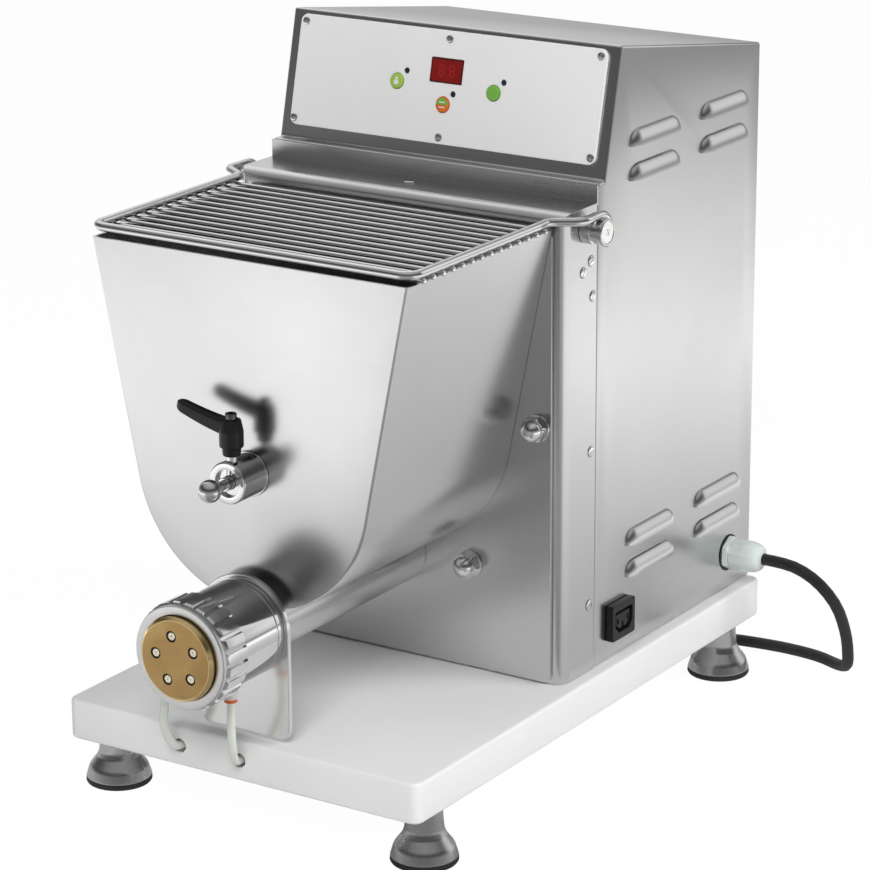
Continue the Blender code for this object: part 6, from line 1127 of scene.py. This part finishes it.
def dough_hopper():
    """The trough and its front wall: rounded front edge, eased edges, and the holes for barrel and pin."""
    piece = add("dough_hopper", put(prism(trough(), -HOPPER_REAR, -HOPPER_FRONT), (0, 0, 0), FRONT),
                "machine",
                "satin_steel", "hopper")
    work = bmesh.new()
    work.from_mesh(piece.data)
    front = [edge for edge in work.edges if all(v.co.y < HOPPER_FRONT + 0.001 for v in edge.verts)
             and not all(v.co.z > 0.4090 for v in edge.verts)]
    bmesh.ops.bevel(work, geom=front, offset=0.0022, segments=5, profile=0.5, affect="EDGES")
    work.to_mesh(piece.data)
    work.free()
    shaded(piece.data)
    inner = prism(trough(0.002, 0.01), -HOPPER_REAR - 0.01, -HOPPER_FRONT - 0.002)
    carve(piece, put(inner, (0, 0, 0), FRONT))
    round_hole = [(0, -0.02), (0.0253, -0.02), (0.0253, 0.21), (0, 0.21)]
    pin_hole = [(0, -0.01), (0.0054, -0.01), (0.0054, 0.01), (0, 0.01)]
    carve(piece, put(lathe(round_hole, 96), (0, HOPPER_REAR, BARREL_Z), FRONT),
          put(lathe(pin_hole, 48), (0, HOPPER_FRONT, MIXER_Z), FRONT))
    ease(piece, 0.0004, 2, 60)


def hopper_plate():
    outline = rectangle(0.2616, 0.4092 - 0.0728, 0.006, 8)
    at = (0, 0, (0.4092 + 0.0728) / 2)
    piece = add("hopper_back", put(prism(outline, -PLATE_FRONT - 0.003, -PLATE_FRONT), at, FRONT), "machine",
                "satin_steel", "hopper_rear_plate")
    holes = [put(lathe([(0, -0.02), (0.0055, -0.02), (0.0055, 0.02), (0, 0.02)], 24), (x, PLATE_FRONT, z),
                 FRONT)
             for x, z in NUTS.values()]
    holes += [put(lathe([(0, -0.02), (0.0120, -0.02), (0.0120, 0.02), (0, 0.02)], 32), (0, PLATE_FRONT, z),
                  FRONT)
              for z in (MIXER_Z, BARREL_Z)]
    carve(piece, together(*holes))
    ease(piece, 0.0005, 3, 50)


def nut_shell(flats, height, dome, seat):
    """A dome nut: the radius of ring k is the smaller of the hexagon's, flats / 2 / cos(angle off the flat),
    and a round limit, which chamfers the hexagon's corners; the dome is a quarter circle on top."""
    angles = np.linspace(0, TURN, 144, endpoint=False)
    off = (angles + math.pi / 6) % (math.pi / 3) - math.pi / 6
    hexagon = flats / 2 / np.cos(off)
    corner = flats / math.sqrt(3)
    limits = [(corner - 0.0009, seat), (corner, seat + 0.0006), (corner, seat + height - 0.0014),
              (corner - 0.0008, seat + height - 0.0005), (flats / 2 - 0.0001, seat + height),
              (dome + 0.0001, seat + height)]
    for share in np.linspace(0, 1, 13):
        limits.append((dome * math.cos(share * QUARTER),
                       seat + height + 0.0004 + dome * 0.98 * math.sin(share * QUARTER)))
    rows = []
    for limit, at in limits:
        radius = np.minimum(hexagon, limit)
        rows.append(np.stack([radius * np.cos(angles), radius * np.sin(angles), np.full(144, at)], 1))
    return skin(np.stack(rows))


def dome_nuts():
    for i, (tag, (x, z)) in enumerate(NUTS.items()):
        washer = rounded([(0, 0.0019), (0.0100, 0.0019, 0.0004), (0.0100, GAP, 0.0002), (0.0049, GAP),
                          (0.0049, -0.0045), (0, -0.0045)], False, 4)
        shell = together(lathe(washer, 64), nut_shell(0.0170, 0.0073, 0.0078, 0.0018))
        add(f"cap_nut_{tag}", put(shell, (x, PLATE_FRONT, z), FRONT, 0.25 + 0.4 * i), "machine",
            "polished_steel",
            f"dome_nut_{tag}", sharp=24)


# Barrel, bracket and head

def barrel_tube():
    piece = add("barrel_tube",
                put(lathe([(0.0250, 0.2010), (0.0250, 0.0086), (0.0210, 0.0086), (0.0210, 0.2010)],
                                         128), (0, 0, BARREL_Z), FRONT), "machine", "satin_steel", "barrel")
    carve(piece, block((-0.018, HOPPER_FRONT + 0.014, BARREL_Z + 0.010), (0.018, HOPPER_REAR - 0.012, 0.2)))
    ease(piece, 0.0003, 2, 50)


# Satin steel painted lighter than the hopper's, standing in for the bright reflection on the bracket's face.
FINISHES["bracket_steel_painted_bright"] = finish("bracket_steel_painted_bright", (0.84, 0.84, 0.835), (0.79, 0.79, 0.79), (0.16, 0.22),
                                   1.0,
                                   SHEET_GRAIN, 0.015, 0.00001, 6.0)
SLOT_OF["bracket_steel_painted_bright"] = "satin_steel"


def bracket():
    """The upright plate with a round top: corners rounded, its edge eased."""
    corners = arc((0, BARREL_Z), 0.0376, 0, math.pi, 48)
    foot = [(-0.0376, 0.0746, 0.008), (0.0376, 0.0746, 0.008)]
    low = rounded([(-0.0376, 0.15, 0), *foot, (0.0376, 0.15, 0)], False, 8)
    outline = np.concatenate([corners, low])
    piece = add("barrel_bracket", put(prism(outline, 0.1970, 0.2010), (0, 0, 0), FRONT), "machine",
                "bracket_steel_painted_bright",
                "head_bracket")
    carve(piece,
          put(lathe([(0, 0.19), (0.0253, 0.19), (0.0253, 0.21), (0, 0.21)], 96), (0, 0, BARREL_Z), FRONT))
    ease(piece, 0.0006, 3, 50)


def collar():
    """The cooled collar: a fine groove near its rear, rounded rims, the nut's thread and a widening mouth."""
    thread = []
    for at in np.arange(0.2475, 0.2610, 0.0018):
        thread += [(0.0320, at), (0.0310, at + 0.0009)]
    profile = [(0.0350, 0.2466, 0.0006), (0.0350, 0.2088), (0.0344, 0.2085), (0.0344, 0.2076),
               (0.0350, 0.2073),
               (0.0350, 0.2013, 0.0006), (0.0210, 0.2013), (0.0210, 0.2497), (0.0255, 0.2617, 0.0003),
               (0.0320, 0.2617)]
    profile = rounded([*profile, *[(radius, at) for radius, at in thread[::-1]]], steps=5)
    add("cooled_collar", put(lathe(profile, 144), (0, 0, BARREL_Z), FRONT), "machine", "polished_steel",
        "head_collar", sharp=28)


def grip_ring():
    """The fluted nut. Its ribbed part has radius 38.6 mm less a groove depth of 1.8 mm times a smooth groove
    mask of the angle, which fades out towards the front so that each rib ends in a round nose; a plain
    face ring with an eased rim stands in front of it."""
    angles = np.linspace(0, TURN, 24 * 20, endpoint=False)
    pitch = TURN / 24
    off = np.abs((angles + pitch / 2) % pitch - pitch / 2) / pitch
    groove = np.clip((0.20 - off) / 0.09, 0, 1)
    groove = groove * groove * (3 - 2 * groove)
    stations = [(0.0324, 0.2475), (0.0364, 0.2470), (0.0378, 0.2474), (0.0386, 0.2482), (0.0386, 0.2580),
                (0.0386, 0.2672), (0.0384, 0.2684), (0.0379, 0.2694), (0.0370, 0.2700), (0.0366, 0.2702)]
    rows = []
    for radius, at in stations:
        deepest = 0.0386 - 0.0018 * groove if radius > 0.0364 else radius
        reach = np.minimum(np.full(len(angles), radius), deepest)
        rows.append(np.stack([reach * np.cos(angles), reach * np.sin(angles), np.full(len(angles), at)], 1))
    plain = rounded([(0.0366, 0.2702), (0.0370, 0.2706, 0.0002), (0.0370, 0.2737, 0.0009),
                     (0.0304, 0.2737, 0.0004),
                     (0.0304, 0.2707), (0.0324, 0.2707), (0.0324, 0.2475)], False, 5)
    for radius, at in plain[1:]:
        rows.append(np.stack([radius * np.cos(angles), radius * np.sin(angles), np.full(len(angles), at)], 1))
    ring = add("grip_ring", put(skin(np.stack(rows)), (0, 0, BARREL_Z), FRONT), "nut", "ring_matte",
               "ring_nut", sharp=30)
    ring.data.materials.append(FINISHES["ring_ribs"])
    count = len(ring.data.polygons)
    centres = np.empty(count * 3)
    ring.data.polygons.foreach_get("center", centres)
    ribbed = centres.reshape(-1, 3)[:, 1] > -0.2703
    ring.data.polygons.foreach_set("material_index", ribbed.astype(np.int32))


FINISHES["ring_ribs"] = finish("ring_ribs", (0.74, 0.74, 0.74), (0.69, 0.69, 0.69), (0.13, 0.20), 1.0,
                               (RINGS, {"Fineness": 3200.0}), 0.02, 0.00001, 20.0, 0.0, (0, 0, BARREL_Z))
SLOT_OF["ring_ribs"] = "polished_steel"


def die_holes(turn=0.0):
    angles = QUARTER + math.radians(10.6) + turn + np.arange(5) * TURN / 5
    return np.stack([0.0167 * np.cos(angles), 0.0167 * np.sin(angles)], 1)


def shaping_die():
    """The die: face with a bright chamfer ring, flange and recess, and five bored, countersunk holes."""
    profile = [(0, 0.2785), (0.0279, 0.2785), (0.0300, 0.2765), (0.0300, 0.2704), (0.0320, 0.2704, 0.0003),
               (0.0320, 0.2620), (0.0255, 0.2620), (0.0255, 0.2670), (0, 0.2670)]
    piece = add("shaping_die", put(lathe(rounded(profile, False, 3), 144), (0, 0, BARREL_Z), FRONT),
                "die_set",
                "bronze", "die")
    bore = [(0, 0.25), (0.0040, 0.25), (0.0040, 0.27825), (0.0043, 0.2788), (0, 0.2788)]
    carve(piece, together(*[put(lathe(bore, 40), (x, 0, BARREL_Z + z), FRONT) for x, z in die_holes()]))
    rim = [(0.0278, 0.27852), (0.02805, 0.27852), (0.0301, 0.2765), (0.0301, 0.2755), (0.0298, 0.2755)]
    add("die_bright_edge", put(lathe(rim, 144), (0, 0, BARREL_Z), FRONT), "die_set", "bronze_bright",
        sharp=24)


def die_inserts():
    """Behind the die a plate with feed holes; in each hole a cream pin with a tiny bore, ringed by
    black painted shade where the gap round the pin is."""
    core = add("die_insert_plate",
               put(lathe([(0, 0.2620), (0.0252, 0.2620), (0.0252, 0.2650), (0, 0.2650)], 96),
                                       (0, 0, BARREL_Z), FRONT), "die_set", "insert_cream", "die_core")
    feeds = [put(lathe([(0, 0.26), (0.0045, 0.26), (0.0045, 0.27), (0, 0.27)], 32), (x, 0, BARREL_Z + z),
                 FRONT)
             for x, z in die_holes(math.pi / 5)]
    carve(core, together(*feeds))
    pin = [(0, 0.2768), (0.0006, 0.2768), (0.0006, 0.2782), (0.0024, 0.2782), (0.0027, 0.2780),
           (0.0027, 0.2640),
           (0, 0.2640)]
    sleeve = rounded([(0.0028, 0.2779, 0.0001), (0.0038, 0.2779, 0.0002), (0.0038, 0.2660),
                      (0.0028, 0.2660)], steps=3)
    spots = [(x, 0, BARREL_Z + z) for x, z in die_holes()]
    add("die_pins", together(*[put(lathe(pin, 40), spot, FRONT) for spot in spots]), "die_set",
        "insert_cream")
    # A black ring of painted shade in each hole's gap round the pin.
    add("die_hole_shade_rings", together(*[put(lathe(sleeve, 40), spot, FRONT) for spot in spots]), "die_set",
        "painted_recess_shade")


# Cooling water

def cooling():
    """Push-in fittings on the collar's underside with orange collets, milky hoses and their couplings."""
    route = {
        "left": [(-0.0428, -0.2325, 0.1060), (-0.0456, -0.2325, 0.0950), (-0.0476, -0.2314, 0.0850),
                 (-0.0488, -0.2284, 0.0745), (-0.0495, -0.2232, 0.0652), (-0.0495, -0.2165, 0.0585)],
        "right": [(0.0108, -0.2318, 0.0880), (0.0096, -0.2295, 0.0765), (0.0068, -0.2247, 0.0662),
                  (0.0036, -0.2180, 0.0590)],
    }
    roots = {
        "left": (-0.0350 * math.sin(math.pi / 4), BARREL_Z - 0.0350 * math.cos(math.pi / 4), math.pi / 4),
        "right": (0.0110, BARREL_Z - math.sqrt(0.0350**2 - 0.0110**2), 0.0),
    }
    body = rounded([(0.0030, 0.0020), (0.0050, 0.0020), (0.0050, -0.0068, 0.0006), (0.0044, -0.0075),
                    (0.0030, -0.0075)],
                   steps=4)
    collet = rounded([(0.0031, -0.0070), (0.0042, -0.0070), (0.0042, -0.0092, 0.0004),
                      (0.0047, -0.0092, 0.0002),
                      (0.0047, -0.0097, 0.0002), (0.0031, -0.0097)], steps=3)
    for tag, (x, z, lean) in roots.items():
        out = np.array((-math.sin(lean), 0, -math.cos(lean)))
        root = np.array((x, -0.2320, z))
        add(f"hose_fitting_{tag}", put(lathe(body, 48), root, -out), "machine", "fitting_grey",
            f"water_fitting_{tag}")
        add(f"hose_collet_{tag}", put(lathe(collet, 48), root, -out), "machine", "collet_orange")
        start = root + out * 0.0060
        channel = -0.0495 if tag == "left" else 0.0018
        straight = [(channel, -0.2115 + share * 0.490, 0.0565) for share in (0.004, 0.04, 0.1)]
        path = smooth_route([start, root + out * 0.0190, *route[tag], *straight], 0.004)
        path = np.concatenate([path, [(channel, y, 0.0565) for y in (0, 0.12, 0.2685)]])
        add(f"hose_{tag}", tube(path, 0.0030, 20), "machine", "hose_milky", f"water_hose_{tag}")
        ferrule = rounded([(0.0047, 0.020, 0.0003), (0.0047, 0.014), (0.0044, 0.0136), (0.0044, 0.006),
                           (0.0047, 0.0056), (0.0047, 0, 0.0003), (0.0034, 0), (0.0034, 0.020)], steps=3)
        add(f"coupling_{tag}", put(lathe(ferrule, 48), (channel, 0.2782, 0.0565), FRONT), "machine",
            "fitting_grey", f"water_coupling_{tag}", sharp=40)


# Front bearing, pin and clamping lever

def front_bearing():
    """The mixer's front bearing: flange, round boss with eased rims and a recess round the pin."""
    profile = rounded([(0.0150, 0.2156, 0.0012), (0.0150, 0.1912), (0.0162, 0.1912, 0.0004), (0.0162, 0.1897),
                       (0.0052, 0.1897), (0.0052, 0.2126), (0.0098, 0.2126), (0.0098, 0.2156, 0.0004)],
                       steps=5)
    piece = add("bearing_housing", put(lathe(profile, 128), (0, 0, MIXER_Z), FRONT), "machine",
                "turned_steel",
                "bearing_boss", sharp=40)
    hole = [(0, 0.264), (0.0038, 0.264), (0.0038, 0.29), (0, 0.29)]
    carve(piece, put(lathe(hole, 40), (0, -0.2093, 0)))


def pull_pin():
    """The pin with a ball knob: the ball, a filleted neck and the shank with a chamfered end."""
    ball = arc((0, 0.2351), 0.0080, QUARTER, math.asin(0.0034 / 0.0080) - QUARTER + 0.12, 28)
    ball[0, 0] = 0
    shank = rounded([(0.0036, 0.2270, 0.001), (0.0034, 0.2196), (0.0048, 0.2196, 0.0004),
                     (0.0048, 0.1724, 0.0008),
                     (0, 0.1714)], False, 5)
    profile = np.concatenate([ball, shank])
    add("pull_pin", put(lathe(profile, 96), (0, 0, MIXER_Z), FRONT), "pin", "turned_steel", "bearing_pin",
        sharp=40)


def handle_arm():
    """The lever's arm: at a share s of its length its section is a rounded rectangle, whose width and height
    narrow from root to tip, sunk along the top between two raised edges; the tip closes in a half round."""
    length = 0.0460
    share = np.concatenate([np.linspace(0, 0.86, 24),
                            0.86 + 0.14 * np.sin(np.linspace(0.08, 1, 14) * QUARTER)])
    end = np.sqrt(np.clip(1 - ((share - 0.86) / 0.14).clip(0, 1) ** 2, 0.0004, 1))
    half_wide = (0.0048 + (0.0038 - 0.0048) * share) * end
    half_tall = (0.0060 + (0.0040 - 0.0060) * share) * (0.35 + 0.65 * end)
    angles = np.linspace(0, TURN, 64, endpoint=False)
    power = 0.42
    across = np.sign(np.cos(angles)) * np.abs(np.cos(angles)) ** power
    up = np.sign(np.sin(angles)) * np.abs(np.sin(angles)) ** power
    sink = 0.0011 * np.clip((share - 0.18) / 0.1, 0, 1) * np.clip((0.94 - share) / 0.08, 0, 1)
    dip = np.where((up > 0.9) & (np.abs(across) < 0.55), 1.0, 0.0)
    bow = 0.0010 * np.sin(share * math.pi)
    rows = np.stack([
        np.repeat(-share[:, None] * length, 64, 1),
        half_wide[:, None] * across,
        half_tall[:, None] * up - sink[:, None] * dip - bow[:, None],
    ], 2)
    points, faces = skin(rows)
    rise = math.radians(14)
    c, s = math.cos(rise), math.sin(rise)
    turn = np.array([[c, 0, s], [0, 1, 0], [-s, 0, c]])
    return points @ turn.T, faces


def clamp_handle():
    """The clamping handle: stud, black hub with a neck below and a tapering top, cap screw and arm."""
    foot = 0.2650
    metal = [(0, 0.2800), (0.0040, 0.2800), (0.0040, foot + 0.0002), (0, foot + 0.0002)]
    at = (0, -0.2093, 0)
    add("clamp_stud", put(lathe(metal, 64), at), "lever", "turned_steel", sharp=40)
    hub = rounded([(0, 0.3036), (0.0054, 0.3036), (0.0060, 0.3041, 0.0004), (0.0068, 0.3038, 0.0010),
                   (0.0084, 0.2960, 0.004), (0.0084, 0.2850, 0.0010), (0.0066, 0.2840, 0.0004),
                   (0.0062, 0.2784, 0.0012),
                   (0, 0.2784)], False, 5)
    arm = put(handle_arm(), (0, -0.2093, 0.3040 - 0.0064))
    piece = add("clamp_handle", put(lathe(hub, 96), at), "lever", "black_plastic", "clamping_lever", sharp=40)
    weld(piece, arm)
    screw = rounded([(0, 0.3084), (0.0040, 0.3084, 0.0005), (0.0040, 0.3030), (0, 0.3030)], False, 4)
    cap = add("clamp_screw", put(lathe(screw, 48), at), "lever", "dark_screw", sharp=40)
    socket = prism(arc((0, 0), 0.0023, 0, TURN, 6)[:-1], 0.3062, 0.31)
    carve(cap, put(socket, at))


FINISHES["dark_screw"] = finish("dark_screw", (0.16, 0.16, 0.165), (0.11, 0.11, 0.115), (0.25, 0.35), 1.0,
                                SMOOTH_GRAIN, 0.05, 0.00002, 60.0, 0.0)
SLOT_OF["dark_screw"] = "black_plastic"


# Guard and its pivots

def wire_guard():
    """The guard: a thick polished rod bent round three sides and hooked over the pivots, and fourteen thin
    bars welded under its rails. Every bar has round ends."""
    y0, z0 = GUARD_PIVOT
    sweep = np.linspace(QUARTER - math.radians(150), QUARTER, 26)
    hook = np.stack([np.full(26, 0.1510), y0 + 0.0118 * np.cos(sweep), z0 + 0.0118 * np.sin(sweep)], 1)
    rail_z = z0 + 0.0118
    ease_y, slant = 0.003, (0.1510 - 0.1315) / 6
    jog = [(0.1510, -0.0010 + ease_y, rail_z), (0.1510 - slant, -0.0010 - ease_y / 2, rail_z),
           (0.1315 + slant, -0.0130 + ease_y / 2, rail_z), (0.1315, -0.0130 - ease_y, rail_z)]
    jog = smooth_route([hook[-1] + (0, -0.008, 0), *jog, (0.1315, -0.030, rail_z)], 0.0012)
    corner = arc((0.1315 - 0.010, -0.186 + 0.010), 0.010, 0, -QUARTER, 20)
    corner = np.column_stack([corner, np.full(len(corner), rail_z)])
    side = np.concatenate([hook, jog, corner])
    path = np.concatenate([side, side[::-1] * (-1, 1, 1)])
    shells = [tube(path, 0.00325, 24)]
    bar_z = rail_z - 0.00325 - 0.0020 + 0.0007
    round_end = np.linspace(0, QUARTER, 5)
    ends = 0.1350 - 0.0008 * (1 - np.sin(round_end))
    radii = 0.0020 - 0.0008 * (1 - np.cos(round_end))
    along = np.concatenate([-ends[::-1], ends])
    radius = np.concatenate([radii[::-1], radii])
    bar = np.stack([along, 0 * along, 0 * along], 1)
    for i in range(14):
        shells.append(put(tube(bar, radius, 16), (0, -0.1750 + 0.0118 * i, bar_z)))
    add("wire_guard", together(*shells), "guard", "rod_steel", "guard_lid", sharp=50)


FINISHES["rod_steel"] = finish("rod_steel", (0.70, 0.70, 0.70), (0.62, 0.62, 0.62), (0.08, 0.14), 1.0,
                               (GRAIN, {"Stretch": (60.0, 900.0, 900.0)}), 0.01, 0.00001, 14.0)
SLOT_OF["rod_steel"] = "polished_steel"


def pivots():
    """The guard's side pivots: turned steel with a neck for the hook, a pale face disc, and a black disc
    of painted shade where its hexagon socket is."""
    profile = rounded([(0, 0.0172), (0.0080, 0.0172), (0.0084, 0.0178, 0.0003), (0.0098, 0.0178, 0.0008),
                       (0.0098, 0.0152, 0.0003), (0.0080, 0.0152), (0.0080, 0.0078), (0.0098, 0.0078, 0.0003),
                       (0.0098, 0, 0.0004), (0, 0)], False, 4)
    for tag, side, way in (("left", -1, LEFT), ("right", 1, RIGHT)):
        at = (side * 0.1398, *GUARD_PIVOT)
        add(f"pivot_stud_{tag}", put(lathe(profile, 80), at, way), "machine", "turned_steel",
            f"pivot_{tag}", sharp=40)
        disc = add(f"pivot_disc_{tag}",
                   put(lathe(rounded([(0, 0.0176), (0.0078, 0.0176, 0.0004), (0.0079, 0.0168),
                                                          (0, 0.0168)], False, 3), 64), at, way),
                   "machine", "mark_white")
        arms = [block((-0.0030, -0.0007, 0.0170), (0.0030, 0.0007, 0.02)),
                block((-0.0007, -0.0030, 0.01701), (0.0007, 0.0030, 0.02))]
        for arm in arms:
            carve(disc, put(arm, at, way, 0.6))
        # A thin black disc of painted shade standing for the socket's recess.
        add(f"pivot_socket_{tag}",
            put(lathe([(0, 0.01712), (0.0034, 0.01712), (0.0034, 0.0169), (0, 0.0169)], 32),
                                       at, way), "machine", "painted_recess_shade")


# Outlet

def outlet():
    """The black outlet: eased bezel, a well with two cut corners, and a core with three slots."""
    face = SIDE_X + GAP + 0.0058
    at = (0, 0.0721, 0.1000)
    piece = add("cutter_outlet", put(prism(rectangle(0.0324, 0.0276, 0.0018), SIDE_X + GAP, face), at, RIGHT),
                "machine", "black_plastic", "power_outlet")
    weld(piece, put(prism(rectangle(0.0270, 0.0195, 0.0006, 2), face - 0.028, face - 0.003), at, RIGHT))
    x, z, cut = 0.0120, 0.00825, 0.0050
    well = rounded([(x, -z + cut, 0.0006), (x, z, 0.0008), (-x, z, 0.0008), (-x, -z + cut, 0.0006),
                    (-x + cut, -z, 0.0006), (x - cut, -z, 0.0006)], steps=3)
    carve(piece, put(prism(well, face - 0.010, face + 0.01), at, RIGHT))
    ease(piece, 0.0006, 3, 50)
    x, z, cut = x - 0.0026, z - 0.0026, cut - 0.0013
    core = rounded([(x, -z + cut, 0.0006), (x, z, 0.0006), (-x, z, 0.0006), (-x, -z + cut, 0.0006),
                    (-x + cut, -z, 0.0006), (x - cut, -z, 0.0006)], steps=3)
    middle = add("outlet_core", put(prism(core, face - 0.0105, face - 0.0012), at, RIGHT), "machine",
                 "black_plastic")
    cuts = [put(block((y - 0.00105, dz - 0.0021, face - 0.008), (y + 0.00105, dz + 0.0021, face)), at, RIGHT)
            for y, dz in ((-0.0070, 0.0), (0, -0.0035), (0.0070, 0.0))]
    carve(middle, *cuts)
    ease(middle, 0.0003, 2, 50)


board()
feet()
body_frame()
body_cover()
body_screws()
rear_plate()
control_plate()
display()
buttons()
dough_hopper()
hopper_plate()
dome_nuts()
barrel_tube()
bracket()
collar()
grip_ring()
shaping_die()
die_inserts()
cooling()
front_bearing()
pull_pin()
clamp_handle()
wire_guard()
pivots()
outlet()


# What stays as its solid, with its finish: the drive, the circuit board, the switch, and the turning tools

for tag, name, body in (("mixer", "kneading_shaft", "kneader"), ("auger", "pressing_screw", "screw")):
    softened(tag, name, 0.0003, "turned_steel", 2, 50, body)
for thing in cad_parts.values():
    for slot in thing.material_slots:
        if slot.material and slot.material.name.split(".")[0] in FINISHES:
            slot.material = FINISHES[slot.material.name.split(".")[0]]
